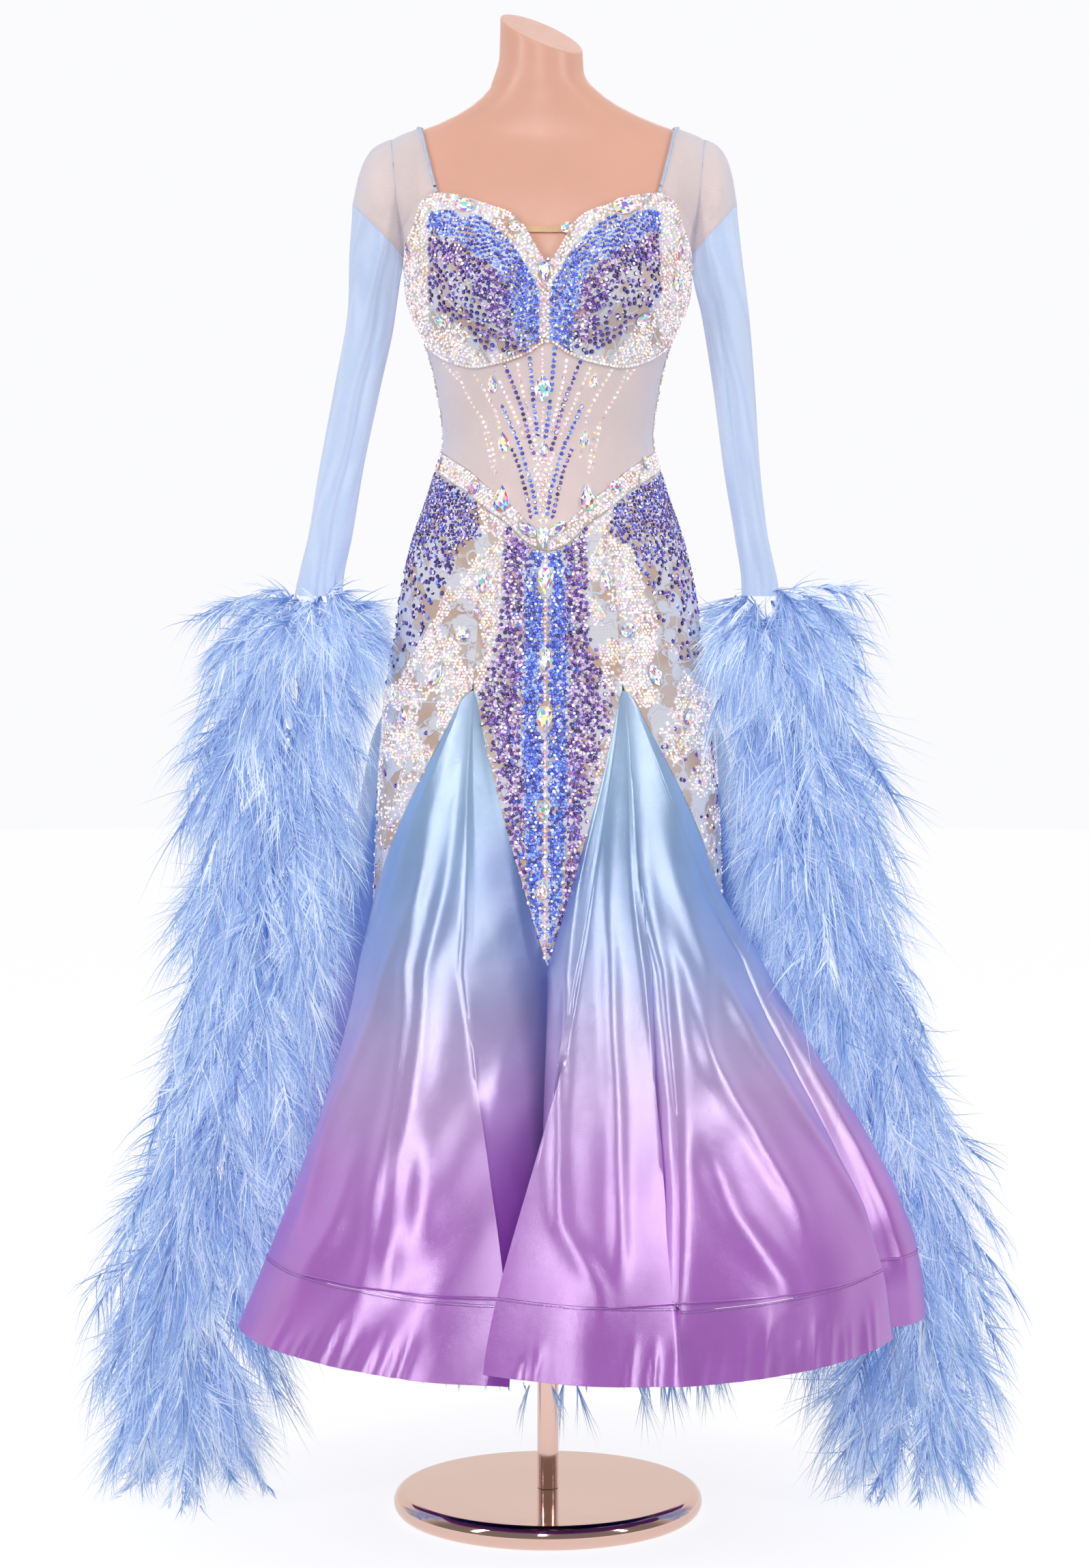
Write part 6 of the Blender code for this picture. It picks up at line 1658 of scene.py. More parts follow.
LINE_MIRROR = -0.0065
MIDRIFF_LINES = [
    # kind, stone radius, spacing, whether it stands alone in the middle, points across and up, in mm
    ("rose", 1.8, 4.9, True, [(-5.7, 1322.9), (-5.7, 1187.2)]),
    ("blue", 2.4, 6.4, False, [(-20.4, 1310.8), (-16.0, 1258.4), (-10.1, 1211.8)]),
    ("aurora", 2.0, 6.0, False, [(-34.7, 1303.6), (-25.4, 1256.0), (-17.5, 1226.5), (-11.9, 1201.9)]),
    ("night", 2.4, 6.2, False, [(-48.0, 1296.4), (-36.5, 1268.3), (-27.9, 1243.7), (-20.0, 1211.8), (-15.6, 1197.0)]),
    ("aurora", 2.0, 6.0, False, [(-61.2, 1295.3), (-50.1, 1270.8), (-39.0, 1246.2), (-25.4, 1214.3)]),
    ("blue", 2.3, 6.2, False, [(-49.6, 1248.3), (-39.0, 1224.1), (-30.4, 1204.4), (-21.7, 1174.9), (-15.5, 1152.7),
                               (-11.8, 1125.7)]),
    ("night", 2.3, 6.4, False, [(-38.5, 1200.5), (-30.4, 1179.8), (-24.2, 1155.2), (-20.0, 1135.5), (-17.0, 1122.0)]),
    ("aurora", 1.9, 6.4, False, [(-82.4, 1288.4), (-62.5, 1253.8), (-53.9, 1231.6), (-47.7, 1187.2)]),
    ("aurora", 1.9, 6.4, False, [(-98.7, 1287.6), (-87.5, 1261.5), (-70.1, 1231.7), (-61.4, 1209.5), (-57.1, 1174.9)]),
    ("aurora", 1.9, 6.4, False, [(-114.0, 1296.7), (-102.6, 1284.0), (-86.3, 1261.5), (-72.6, 1234.2),
                                 (-65.1, 1204.6), (-60.1, 1177.4)]),
]


def set_midriff(stones):
    for kind, radius, spacing, alone, points in MIDRIFF_LINES:
        path = curve_through(np.array([(x / 1000, 0.0, z / 1000) for x, z in points]), 400)
        for way in (1,) if alone else (1, -1):
            x = path[:, 0] if way > 0 else 2 * LINE_MIRROR - path[:, 0]
            angle = angle_at(x, path[:, 2])
            length = distances(gown_outside(angle, path[:, 2])[0])
            want = np.arange(0, length[-1], spacing / 1000)
            angle, z = np.interp(want, length, angle), np.interp(want, length, path[:, 2])
            ok = (z < cup_bottom(angle) - 0.003) & (z > band_top(angle) + 0.003)
            stones.add(angle[ok], z[ok], radius * 1.12 / 1000, kind)
    for k, z in enumerate(np.arange(1.196, 1.118, -0.0056)):  # the pale wedge in the middle
        half = 0.0005 + 0.0125 * (z - 1.105) / 0.09
        across = np.arange(-3, 4) * 0.0060 + (0.003 if k % 2 else 0.0)
        x = LINE_MIRROR + 0.0015 + across[np.abs(across) < half]
        stones.add(angle_at(x, np.full(len(x), z)), np.full(len(x), z), 0.0024, "milk")


# ---- gems ----------------------------------------------------------------------------------------------
GEMS = [
    # cut, across, up, width, height, tilt in degrees (all lengths in mm; a pear at tilt 0 points up)
    ("oval", -89.2, 1463.9, 23.6, 14.9, 12), ("cushion", 81.5, 1462.6, 22.3, 18.6, -10),
    ("oval", -36.3, 1439.8, 14.8, 12.4, 20), ("oval", 21.3, 1439.9, 14.8, 12.4, -20),
    ("pear", -151.0, 1420.2, 10.0, 22.5, 10), ("pear", 141.6, 1420.6, 12.5, 25.0, -10),
    ("round", -150.1, 1386.1, 10.0, 11.3, 0), ("navette", 138.0, 1385.0, 15.0, 20.0, -8),
    ("pear", -115.7, 1343.8, 13.0, 22.0, -52), ("pear", 102.7, 1346.8, 15.0, 24.0, 52),
    ("pear", -4.4, 1393.3, 13.6, 21.0, 180), ("navette", -5.7, 1268.1, 18.6, 29.7, 0),
    ("pear", -60.0, 1273.4, 12.4, 19.9, 0), ("pear", 49.8, 1276.9, 11.2, 17.4, 12),
    ("pear", -4.0, 1201.9, 12.4, 18.6, 0), ("pear", -47.7, 1209.4, 14.4, 23.6, -10),
    ("pear", 39.5, 1213.1, 12.4, 21.1, 4), ("pear", -50.1, 1147.8, 20.3, 31.0, 2),
    ("pear", 42.7, 1148.5, 19.3, 29.7, -4), ("pear", -117.2, 1185.3, 12.6, 15.1, 10),
    ("pear", 105.2, 1186.3, 11.3, 15.0, -10), ("navette", -79.5, 1158.4, 13.7, 16.1, 50),
    ("oval", 72.3, 1158.9, 13.7, 16.1, -30), ("navette", -21.7, 1113.2, 13.0, 24.0, -52),
    ("navette", 10.3, 1114.4, 13.0, 24.0, 52), ("pear", -5.2, 1104.6, 14.8, 24.7, 180),
    ("pear", -2.5, 1058.0, 18.5, 29.6, 180), ("navette", -2.5, 973.2, 14.0, 27.1, 0),
    ("pear", -3.7, 908.3, 19.2, 29.5, 180), ("pear", -69.9, 1057.7, 14.8, 24.7, 12),
    ("navette", 62.9, 1059.0, 13.0, 23.5, -16), ("round", -92.8, 1001.2, 17.8, 17.8, 0),
    ("round", 86.3, 1004.5, 16.8, 16.8, 0), ("pear", -121.1, 955.8, 16.0, 26.0, 30),
    ("navette", 116.3, 954.7, 16.0, 26.0, -24), ("pear", -157.3, 908.0, 15.0, 21.2, -14),
    ("pear", 152.6, 907.6, 12.5, 17.4, 20), ("navette", -5.1, 810.6, 14.7, 19.6, 0),
    ("pear", -6.1, 724.3, 12.7, 20.7, 0), ("round", -76.5, 1025.2, 7.9, 7.9, 0),
    ("round", 70.3, 1029.0, 7.9, 7.9, 0),
]
GEM_SHADES = [
    # share, colour of a facet
    (0.30, (252, 248, 240)), (0.13, (255, 232, 140)), (0.05, (236, 120, 80)), (0.08, (206, 84, 178)),
    (0.09, (130, 88, 196)), (0.13, (120, 222, 210)), (0.08, (96, 140, 232)), (0.14, (200, 196, 222)),
]
GEM_SIDES, GEM_LIFT = 10, 0.0009
CROWN = [(1.0, 0.0), (1.0, 0.16), (0.66, 0.44), (0.34, 0.54)]  # (share of the outline, height share)


def gem_outline(cut, t):
    """The outline of a cut at these turns from its top, 1 across half its width and height."""
    x, y = np.sin(t), np.cos(t)
    if cut == "cushion":
        grow = (np.abs(x) ** 3.2 + np.abs(y) ** 3.2) ** (-1 / 3.2)
        x, y = x * grow, y * grow
    elif cut == "navette":
        x = x * np.abs(np.sin(t)) ** 0.7
    elif cut == "pear":
        x = x * np.sin(t / 2) ** 1.1 * 1.22
    return x, y


def make_gems():
    """Large faceted drops and ovals, sewn over the small stones. Returns the piece and the room they take."""
    chance = np.random.default_rng(11)
    points, faces, colors, taken = [], [], [], []
    sides, rings = GEM_SIDES, len(CROWN)
    shares = np.array([share for share, _ in GEM_SHADES])
    tones = np.array([tone(*shade) for _, shade in GEM_SHADES])
    both = [(*gem, False) for gem in GEMS] + [(*gem, True) for gem in GEMS if gem[2] < 1120]
    for cut, *sizes, tilt, behind in both:
        x, z, width, height = (size / 1000 for size in sizes)
        angle = angle_at(np.array([x]), np.array([z]))
        if behind:
            angle = 180 - angle
            if not open_lace(angle, np.array([z]), 0.004)[0]:
                continue
        place, normal = (v[0] for v in gown_outside(angle, np.array([z])))
        up = unit(np.array([0.0, 0, 1]) - normal * normal[2])
        right = np.cross(up, normal)
        c, s = math.cos(math.radians(tilt)), math.sin(math.radians(tilt))
        tall, wide = up * c + right * s, right * c - up * s
        at = len(points)
        for i, (share, lift) in enumerate(CROWN):
            t = (np.arange(sides) + 0.5 * (i % 2 if i else 1)) * 2 * math.pi / sides
            a, b = gem_outline(cut, t)
            ring = place + wide * (a * share * width / 2)[:, None] + tall * (b * share * height / 2)[:, None]
            points += list(ring + normal * (lift * min(width, height) * 0.5 + GEM_LIFT))
        before = len(faces)
        for i in range(rings - 1):
            for k in range(sides):
                n = (k + 1) % sides
                a, b = at + i * sides, at + (i + 1) * sides
                if i == 0:
                    faces += [(a + k, a + n, b + n, b + k)]
                elif i % 2:
                    faces += [(a + k, b + n, b + k), (a + k, a + n, b + n)]
                else:
                    faces += [(a + k, a + n, b + k), (a + n, b + n, b + k)]
        faces += [tuple(range(at, at + sides))[::-1], tuple(range(at + (rings - 1) * sides, at + rings * sides))]
        facets = len(faces) - before
        picks = chance.choice(len(shares), facets, p=shares / shares.sum())
        colors += list(np.clip(tones[picks] * chance.uniform(0.75, 1.1, (facets, 1)), 0, 1))
        taken += [(place + tall * height * s, max(width, height * 0.45) * 0.42) for s in (-0.25, 0.0, 0.25)]
    mesh = new_mesh("gems", points, faces, turn_out=True)
    attach(mesh, "tint", colors, "FACE")
    # every gem facet is marked 0.80 table, so it takes most of the crystal's painted table light
    for key, values in (("flash", 0.25), ("facet", chance.random(len(faces))), ("table", 0.80)):
        attach(mesh, key, np.broadcast_to(values, len(faces)), "FACE")
    mesh.shade_flat()
    return link("gems", mesh, crystal), taken


# ---- bound edges and stitches ---------------------------------------------------------------------------
BOA_LOOP = np.array([-0.345, -0.030, 0.880])  # a small loop of the same binding, on the left boa
NECK_CORD, ARMHOLE_CORD, LOOP_CORD, WELT_CORD = 0.0020, 0.0011, 0.0016, 0.0009


def make_bindings(necks, seams):
    """The narrow blue bound edges of the necklines, the seams round the sleeve heads and the loop."""
    turn = np.linspace(0.35, 2 * math.pi - 0.35, 28)
    loop = np.stack([0.009 * np.cos(turn), 0.004 * np.sin(turn), 0.017 * np.sin(turn)], 1) + BOA_LOOP
    end = BOA_LOOP + np.array([0.075, 0.0, 0.012])
    loop = np.vstack([end, loop, end + DOWN * 0.004])
    rings = [np.vstack([seam, seam[:2]]) for seam in seams]
    cords = [("neckline_binding", necks, NECK_CORD), ("armhole_seams", rings, ARMHOLE_CORD)]
    cords.append(("boa_loop", [loop], LOOP_CORD))
    return {name: tube(name, paths, radius, binding) for name, paths, radius in cords}


STITCH_STEP, STITCH_DROP = 0.0046, 0.0022  # the distance between stitches, and from the band's upper edge


def make_stitches():
    """The dotted line of stitches at the top of the hem band."""
    points, facing, ways, welts = [], [], [], []
    for godet in GODETS:
        heights = (BAND_TOP + 0.006, BAND_TOP - STITCH_DROP, BAND_TOP - 0.010)
        grid, _ = godet_grid(godet, heights, 6)
        welts.append(grid[1, 1:-1:2] * [1, 1, 0] + [0, 0, BAND_TOP + SEAM / 2])
        normal = grid_normals(grid, False)[1]
        line = grid[1] + normal * 0.0001
        length = distances(line)
        want = np.arange(0.003, length[-1] - 0.003, STITCH_STEP)
        points.append(read_along(want, length, line))
        facing.append(unit(read_along(want, length, normal)))
        ways.append(unit(read_along(want, length, np.gradient(line, axis=0))))
    rows = {"facing": np.concatenate(facing), "way": np.concatenate(ways)}
    stitches = made_by(stitch_tree(), "hem_stitches", np.concatenate(points), rows, stitch_thread)
    return stitches, tube("hem_welt", welts, WELT_CORD, satin, sides=5)


# ---- feathers ------------------------------------------------------------------------------------------
LOCK_SLANT, LOCK_DROOP, LOCK_SIZE = 0.35, 0.75, 8  # the last is the barbs in a lock
CUFF_WIDTH, CORE_RADIUS = 0.006, 0.009
BOA_LOCKS, BOA_BARBS, BOA_LONG, BOA_END, BOA_SHORT = 330, 90, 0.078, 18, 0.036  # the last locks are short ones
CUFF_LOCKS, CUFF_BARBS, CUFF_LONG = 76, 84, 0.066
HEM_STEP, HEM_BARBS, HEM_LONG, HEM_SHORT = 4.5, 16, 0.044, 0.007  # long ones show between the skirt's folds
FLOOR_REACH, FLOOR_GAP = 0.030, 0.005  # barbs below the first height settle above the second
WIDEST, WIDEST_CURL = 0.530, 0.028  # barbs further out than the first curl back within the second


class Plumes:
    """Barbs collected for one feathered piece, kept clear of the cloth."""

    def __init__(self, seed, cloth):
        self.chance = np.random.default_rng(seed)
        self.cloth = cloth
        self.parts = []

    def clear(self, start, step, margin=0.004):
        """The share of a step that can be taken before the cloth."""
        reach = float(np.linalg.norm(step))
        hit = self.cloth.ray_cast(Vector(start), Vector(step / reach), reach + margin)[3]
        return 1.0 if hit is None else max(0.0, (hit - margin) / reach)

    def plume(self, root, way, reach, droop, barbs, long, spread, start=0.05):
        """A drooping shaft of this reach with barbs that sweep along it."""
        chance = self.chance
        for share in np.linspace(0.2, 1, 5):
            if self.clear(root, way * reach * share + DOWN * (droop * reach * share**2)) < 1:
                reach *= max(share - 0.2, 0.12)
                break
        t = chance.uniform(start, 0.85, barbs)
        lock = np.sort(chance.integers(0, max(1, barbs // LOCK_SIZE), barbs))  # barbs of one lock curl together
        t = t + 0.7 * (t[chance.permutation(barbs)][lock] - t)
        at = root + way * (reach * t)[:, None] + DOWN * (droop * reach * t**2)[:, None]
        tangent = unit(way * reach + DOWN * (2 * droop * reach * t)[:, None])
        lateral = unit(np.cross(tangent, chance.normal(0, 1, (barbs, 3))))
        curl = chance.normal(0, 1, (barbs, 3))[lock]
        curl = unit(curl - tangent * np.sum(curl * tangent, axis=1)[:, None])
        turned = chance.normal(0, spread * 1.05, barbs)[lock]
        heading = unit(tangent + curl * turned[:, None] + lateral * chance.normal(0, spread * 0.36, barbs)[:, None])
        length = long * chance.uniform(0.55, 1.15, barbs) * (1.0 - 0.25 * t)
        step = heading * length[:, None]
        bend = DOWN * (length * chance.uniform(0.05, 0.75, barbs))[:, None]
        bend = bend + unit(chance.normal(0, 1, (barbs, 3))) * (length * chance.uniform(0, 0.22, barbs))[:, None]
        shared = unit(chance.normal(0, 1, (barbs, 3)))[lock]
        bend = bend + shared * (length * chance.uniform(0.0, 0.55, barbs)[lock])[:, None]
        for i in range(barbs):
            share = self.clear(at[i], step[i] + bend[i], 0.002)
            if share < 1:
                step[i], bend[i] = step[i] * share * 0.8, bend[i] * share * 0.8
        side = unit(np.cross(step, chance.normal(0, 1, (barbs, 3)) + np.array([0, -0.8, 0])))
        broad = chance.uniform(0.0009, 0.0022, barbs)
        hue = chance.normal(0.5, 0.06) + chance.normal(0, 0.24, barbs)[lock] + chance.normal(0, 0.20, barbs)
        kept = np.linalg.norm(step, axis=1) > 0.006
        side, hue = side * broad[:, None], np.clip(hue, 0, 1)
        self.parts.append(tuple(value[kept] for value in (at, step, bend, side, hue)))

    def grow(self, name, tree):
        at, way, bend, side, hue = (np.concatenate(part) for part in zip(*self.parts))
        made = made_by(tree, name, at, {"way": way, "bend": bend, "side": side, "hue": hue}, feather)
        points = np.empty(len(made.data.vertices) * 3, np.float32)
        made.data.vertices.foreach_get("co", points)
        x, z = points[0::3], points[2::3]
        low, far = z < FLOOR_REACH, np.abs(x) > WIDEST
        room = FLOOR_REACH - FLOOR_GAP
        z[low] = FLOOR_GAP + room * np.exp((z[low] - FLOOR_REACH) / room)
        over = np.abs(x[far]) - WIDEST
        x[far] = np.sign(x[far]) * (WIDEST + WIDEST_CURL * (1 - np.exp(-over / WIDEST_CURL)))
        made.data.vertices.foreach_set("co", points)
        made.data.update()
        return made


def boa_plumes(side, cloth, seed):
    """Locks that spiral down the boa and hang out from it, longest at its sides."""
    plumes = Plumes(seed, cloth)
    chance = plumes.chance
    _, left_x, right_x, y, z, reaches = BOAS.table.T
    spine = curve_through(np.stack([side * (left_x if side < 0 else right_x), y, z], 1), BOA_LOCKS)
    reach = np.interp(-spine[:, 2], -z, reaches)
    golden = math.pi * (3 - math.sqrt(5))
    for i, (p, r) in enumerate(zip(spine, reach)):
        if i < 3:
            continue
        turn = golden * i + chance.normal(0, 0.2)
        outward = unit(np.array([math.cos(turn), -math.sin(turn) * 0.85, 0.0]))
        if outward[1] > 0.5 and chance.random() < 0.4:  # fewer locks behind than in front
            outward[1] = -outward[1]
        elif outward[0] * side < 0 and outward[1] < 0.4:  # the inner ones come round in front of the hips
            outward = unit(np.array([1.3 * outward[0], -0.25 - 0.8 * abs(outward[1]), 0]))
        way = unit(outward + DOWN * (LOCK_SLANT * chance.uniform(0.4, 3.6)))
        root = p + outward * BOA_CORE
        long = BOA_LONG if i < BOA_LOCKS - BOA_END else BOA_SHORT
        wide = 1 + 0.40 * smooth(0.18, 0.34, p[2]) * abs(outward[0])
        reached, droop = r * wide * chance.uniform(0.70, 1.17), LOCK_DROOP * chance.uniform(0.6, 1.4)
        plumes.plume(root, way, reached, droop, BOA_BARBS, long, 0.58, start=0.0)
    return plumes, tube(f"boa_core_{'left' if side < 0 else 'right'}", [spine[2:-12:5]], CORE_RADIUS, feather)


def cuff_plumes(side, cloth, seed):
    """A full ring of locks round the wrist, with longer ones at its outer side."""
    plumes = Plumes(seed, cloth)
    chance = plumes.chance
    middle, half = (float(SLEEVES(WRIST, column + (0 if side < 0 else 2))) for column in (1, 2))
    depth = float(SLEEVES(WRIST, 5))
    for k in range(CUFF_LOCKS):
        a = 2 * math.pi * (k + 0.5) / CUFF_LOCKS * 5
        outer = max(0.0, math.cos(a))
        out = np.array([side * math.cos(a) * (half + CUFF_WIDTH), -math.sin(a) * (depth * 0.86 + CUFF_WIDTH), 0.0])
        root = np.array([side * middle, 0, WRIST + 0.006 - 0.045 * chance.random()]) + out
        way = unit(unit(out * np.array([1, 0.9, 0])) + np.array([0, 0, chance.uniform(-0.9, 0.35)]))
        reach = (0.070 + 0.080 * outer**1.2) * chance.uniform(0.6, 1.08)
        droop = 0.70 * chance.uniform(0.5, 1.4)
        plumes.plume(root, way, reach, droop, CUFF_BARBS, CUFF_LONG, 0.55, start=0.0)
    return plumes


def hem_plumes(cloth):
    plumes = Plumes(5, cloth)
    chance = plumes.chance
    angles = np.arange(0, 360, HEM_STEP)
    for angle in angles + chance.uniform(-1.4, 1.4, len(angles)):
        root = underskirt_surface(angle, UNDERSKIRT_HEM - 0.002)
        a = math.radians(angle)
        spray = np.array([math.sin(a) * 0.30, -math.cos(a) * 0.30, 0])
        slant = np.array([math.cos(a), math.sin(a), 0]) * chance.uniform(-0.7, 0.7)
        shown = root[1] < 0 and (-0.020 < root[0] < 0.030 or 0.090 < root[0] < 0.195)
        way, long = unit(spray + slant + DOWN), HEM_LONG if shown else HEM_SHORT
        plumes.plume(root, way, 0.008, 0.1, HEM_BARBS, long, 0.30)
    return plumes


def cloth_tree(pieces):
    """A search tree over the cloth that the feathers keep clear of."""
    points, faces = [], []
    for piece in pieces:
        at = len(points)
        points += [tuple(v.co) for v in piece.data.vertices]
        faces += [[at + i for i in polygon.vertices] for polygon in piece.data.polygons]
    return BVHTree.FromPolygons(points, faces)


# ---- the room ------------------------------------------------------------------------------------------
BACKDROP = (0.963, 0.964, 0.988, 1)
SENSOR, FRAME_HEIGHT, FOCAL, FRAME_SHIFT = 36.0, 2298, 5505.6, -5  # the sensor in mm, the others in pixels
EYE, EYE_DOWN = (0, -4.2, 1.14711), 4.33351


def area_light(name, place, aim, size, power):
    data = bpy.data.lights.new(name, "AREA")
    data.shape, data.energy = "RECTANGLE", power
    data.size, data.size_y = size
    made = bpy.data.objects.new(name, data)
    made.location = place
    made.rotation_euler = (Vector(aim) - Vector(place)).to_track_quat("-Z", "Y").to_euler()
    scene.collection.objects.link(made)


def make_room():
    scene.view_settings.view_transform = "Standard"
    camera = bpy.data.cameras.new("camera")
    camera.sensor_width, camera.lens = SENSOR, FOCAL / FRAME_HEIGHT * SENSOR
    camera.shift_x = FRAME_SHIFT / FRAME_HEIGHT
    eye = bpy.data.objects.new("camera", camera)
    eye.location, eye.rotation_euler = EYE, (math.radians(90 - EYE_DOWN), 0, 0)
    scene.collection.objects.link(eye)
    scene.camera = eye
    world = bpy.data.worlds.new("studio")
    scene.world = world
    world.use_nodes = True
    g = Nodes(world.node_tree)
    path = g.add("ShaderNodeLightPath").outputs
    seen = path["Is Camera Ray"]
    light = world.node_tree.nodes["Background"].inputs
    g.put(light["Color"], g.blend(seen, (1.0, 0.975, 0.965, 1), BACKDROP))
    ways = g.add("ShaderNodeTexCoord").outputs["Generated"]
    behind = g.span(g.parts(ways)["Y"], -0.1, 0.5)  # a white backdrop
    front = g.calc("MULTIPLY_ADD", path["Is Glossy Ray"], -0.24, 0.44)  # dark flags beside the lights
    g.put(light["Strength"], g.calc("MAXIMUM", seen, g.calc("MULTIPLY_ADD", behind, 0.56, front)))
    area_light("front strip", (-0.22, -2.95, 2.60), (0, -0.35, 0.6), (0.30, 2.2), 22)
    area_light("left strip", (-2.7, -1.9, 2.2), (0, -0.1, 0.7), (0.30, 2.4), 30)
    area_light("right strip", (2.7, -1.7, 2.2), (0, -0.1, 0.7), (0.28, 2.4), 28)
    area_light("back box", (0.0, 3.0, 2.6), (0, 0, 0.9), (2.4, 1.4), 8)
    paper, g, shader, _ = new_finish(
        "paper", Base_Color=(0.22, 0.22, 0.225, 1), Roughness=1.0, Specular_Ior_Level=0.0, Emission_Color=BACKDROP,
    )
    path = g.add("ShaderNodeLightPath").outputs
    seen = g.calc("MAXIMUM", path["Is Camera Ray"], g.calc("MULTIPLY", path["Is Glossy Ray"], 0.75))
    g.put(shader["Emission Strength"], g.calc("MULTIPLY_ADD", seen, 0.66, 0.22))
    t = np.arange(96) * 2 * math.pi / 96
    rim = np.stack([9 * np.cos(t), 9 * np.sin(t), 0 * t], -1)
    link("floor", new_mesh("floor", rim, [tuple(range(96))]), paper)


make_room()
make_form()
make_stand()
make_bodice()
figure = figure_tree()
necks, head_seams = make_yokes(figure), make_sleeves(figure)
make_lace_panels()
make_godets()
trims = make_bindings(necks, head_seams)  # pieces that stand for no node
trims["hem_stitches"], trims["hem_welt"] = make_stitches()
trims["gems"], taken = make_gems()
set_stones = stone_tree()
STONE_SETS = {
    "stones_cups": set_cups,
    "stones_midriff": set_midriff,
    "stones_band": set_band,
    "stones_skirt_front": lambda stones: set_skirt(stones, -90, 90, 1.0),
    "stones_skirt_back": lambda stones: set_skirt(stones, 90, 270, 1.32),
    "stones_back": set_back,
}
for seed, (name, collect) in enumerate(STONE_SETS.items(), 1):
    stones = Stones(seed)
    collect(stones)
    stones.thin(taken)
    trims[name] = stones.set(name, set_stones)

cloth = cloth_tree(p for n, p in pieces.items() if n.startswith(("lace", "satin", "sleeve", "band")))
grow_barbs = barb_tree()
for side, name, seed in ((-1, "left", 21), (1, "right", 22)):
    plumes, trims[f"boa_core_{name}"] = boa_plumes(side, cloth, seed)
    pieces[f"boa_{name}"] = plumes.grow(f"boa_{name}", grow_barbs)
pieces["cuff_left"] = cuff_plumes(-1, cloth, 23).grow("cuff_left", grow_barbs)
pieces["cuff_right"] = cuff_plumes(1, cloth, 24).grow("cuff_right", grow_barbs)
pieces["hem_wisps"] = hem_plumes(cloth).grow("hem_wisps", grow_barbs)

# ---- what each piece stands for ------------------------------------------------------------------------
STANDS_FOR = {
    # start of a piece's name: (start of its node's name, slot). Both names end alike, as in "_left".
    "form_body": ("dress_form", "form_skin"),
    "foot": ("stand_foot", "rose_gold"),
    "pole": ("stand_pole", "rose_gold"),
    "socket": ("stand_socket", "rose_gold"),
    "cup": ("bust_cup", "stone_lace"),
    "midriff": ("midriff_front", "sheer_mesh"),
    "back_bodice": ("bodice_back", "stone_lace"),
    "band_lace": ("hip_band", "stone_lace"),
    "elastic": ("neckline_elastic", "skin_elastic"),
    "cloth_yoke": ("yoke", "sheer_mesh"),
    "head": ("sleeve_head", "sheer_mesh"),
    "sleeve_cloth": ("sleeve", "blue_mesh"),
    "lace_panel": ("lace", "stone_lace"),
    "satin_godet": ("godet", "ombre_satin"),
    "satin_band": ("hem_band", "ombre_satin"),
    "underskirt_cloth": ("underskirt", "under_satin"),
    "boa": ("feather_boa", "ostrich_feather"),
    "cuff": ("feather_cuff", "ostrich_feather"),
    "hem_wisps": ("hem_feathers", "ostrich_feather"),
}
for name, piece in pieces.items():
    start = next(start for start in STANDS_FOR if name.startswith(start))
    node, slot = STANDS_FOR[start]
    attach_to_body(piece, "root")
    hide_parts(node + name[len(start):])
for name, piece in trims.items():
    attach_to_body(piece, "root")

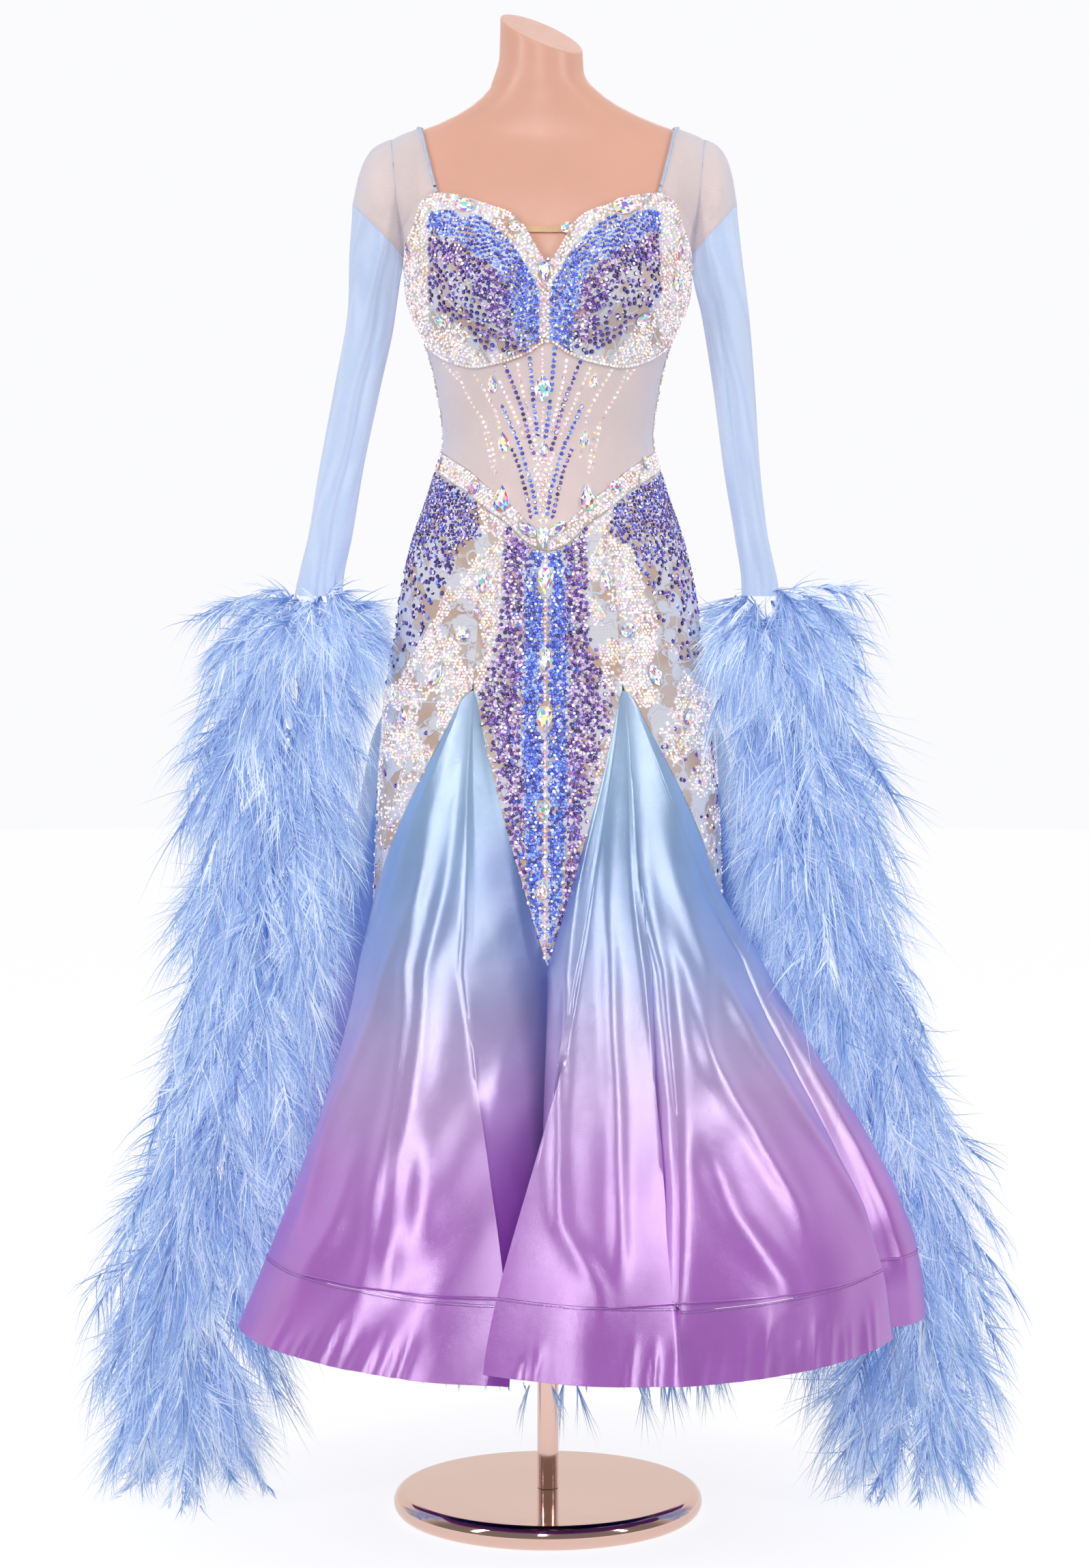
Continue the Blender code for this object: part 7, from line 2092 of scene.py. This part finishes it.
# ---- how each cloth was cut ----------------------------------------------------------------------------
CUTS = {
    # piece: flat width, flat length, flat area, what it rests on, what is sewn on it
    "cup_left": (0.290, 0.170, 0.0340, ["form_body"], []),
    "cup_right": (0.290, 0.170, 0.0340, ["form_body"], ["stones_cups"]),
    "midriff": (0.400, 0.215, 0.0465, ["form_body"], ["stones_midriff"]),
    "back_bodice": (0.530, 0.300, 0.0940, ["form_body"], ["stones_back"]),
    "band_lace": (0.840, 0.024, 0.0190, ["form_body"], ["stones_band", "gems"]),
    "elastic": (0.052, 0.010, 0.0004, ["cup_left", "cup_right"], []),
    "cloth_yoke_front_left": (0.120, 0.150, 0.0068, ["form_body"], []),
    "cloth_yoke_front_right": (0.120, 0.150, 0.0068, ["form_body"], ["neckline_binding"]),
    "cloth_yoke_back_left": (0.130, 0.175, 0.0102, ["form_body"], []),
    "cloth_yoke_back_right": (0.130, 0.175, 0.0102, ["form_body"], []),
    "head_left": (0.370, 0.075, 0.0163, ["cloth_yoke_front_left", "cloth_yoke_back_left"], []),
    "head_right": (0.370, 0.075, 0.0152, ["cloth_yoke_front_right", "cloth_yoke_back_right"], ["armhole_seams"]),
    "sleeve_cloth_left": (0.300, 0.440, 0.0870, ["head_left"], []),
    "sleeve_cloth_right": (0.300, 0.440, 0.0840, ["head_right"], []),
    "lace_panel_front": (0.190, 0.500, 0.0560, ["form_body"], ["stones_skirt_front"]),
    "lace_panel_back": (0.300, 0.550, 0.1010, ["form_body"], ["stones_skirt_back"]),
    "lace_panel_left": (0.260, 0.560, 0.0935, ["form_body"], []),
    "lace_panel_right": (0.260, 0.560, 0.0935, ["form_body"], []),
    "satin_godet_front_left": (0.750, 0.690, 0.2160, ["lace_panel_front", "lace_panel_left"], []),
    "satin_godet_front_right": (1.160, 0.700, 0.3340, ["lace_panel_front", "lace_panel_right"],
                                ["hem_stitches", "hem_welt"]),
    "satin_godet_back_left": (1.030, 0.760, 0.3550, ["lace_panel_back", "lace_panel_left"], []),
    "satin_godet_back_right": (1.030, 0.760, 0.3550, ["lace_panel_back", "lace_panel_right"], []),
    "satin_band_front_left": (0.780, 0.083, 0.0610, ["satin_godet_front_left"], []),
    "satin_band_front_right": (1.200, 0.080, 0.0940, ["satin_godet_front_right"], []),
    "satin_band_back_left": (1.030, 0.080, 0.0800, ["satin_godet_back_left"], []),
    "satin_band_back_right": (1.030, 0.080, 0.0800, ["satin_godet_back_right"], []),
    "underskirt_cloth": (1.180, 0.800, 0.8600, ["form_body"], ["hem_wisps"]),
}
HUNG = ("sleeve", "satin", "underskirt")  # the other cloth is stretched over what it rests on
shown = {**pieces, **trims}
for name, (width, length, area, under, sewn) in CUTS.items():
    held, rests_on = "hung" if name.startswith(HUNG) else "stretched", [pieces[n] for n in under]
    [shown[n] for n in sewn]
    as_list(rests_on)
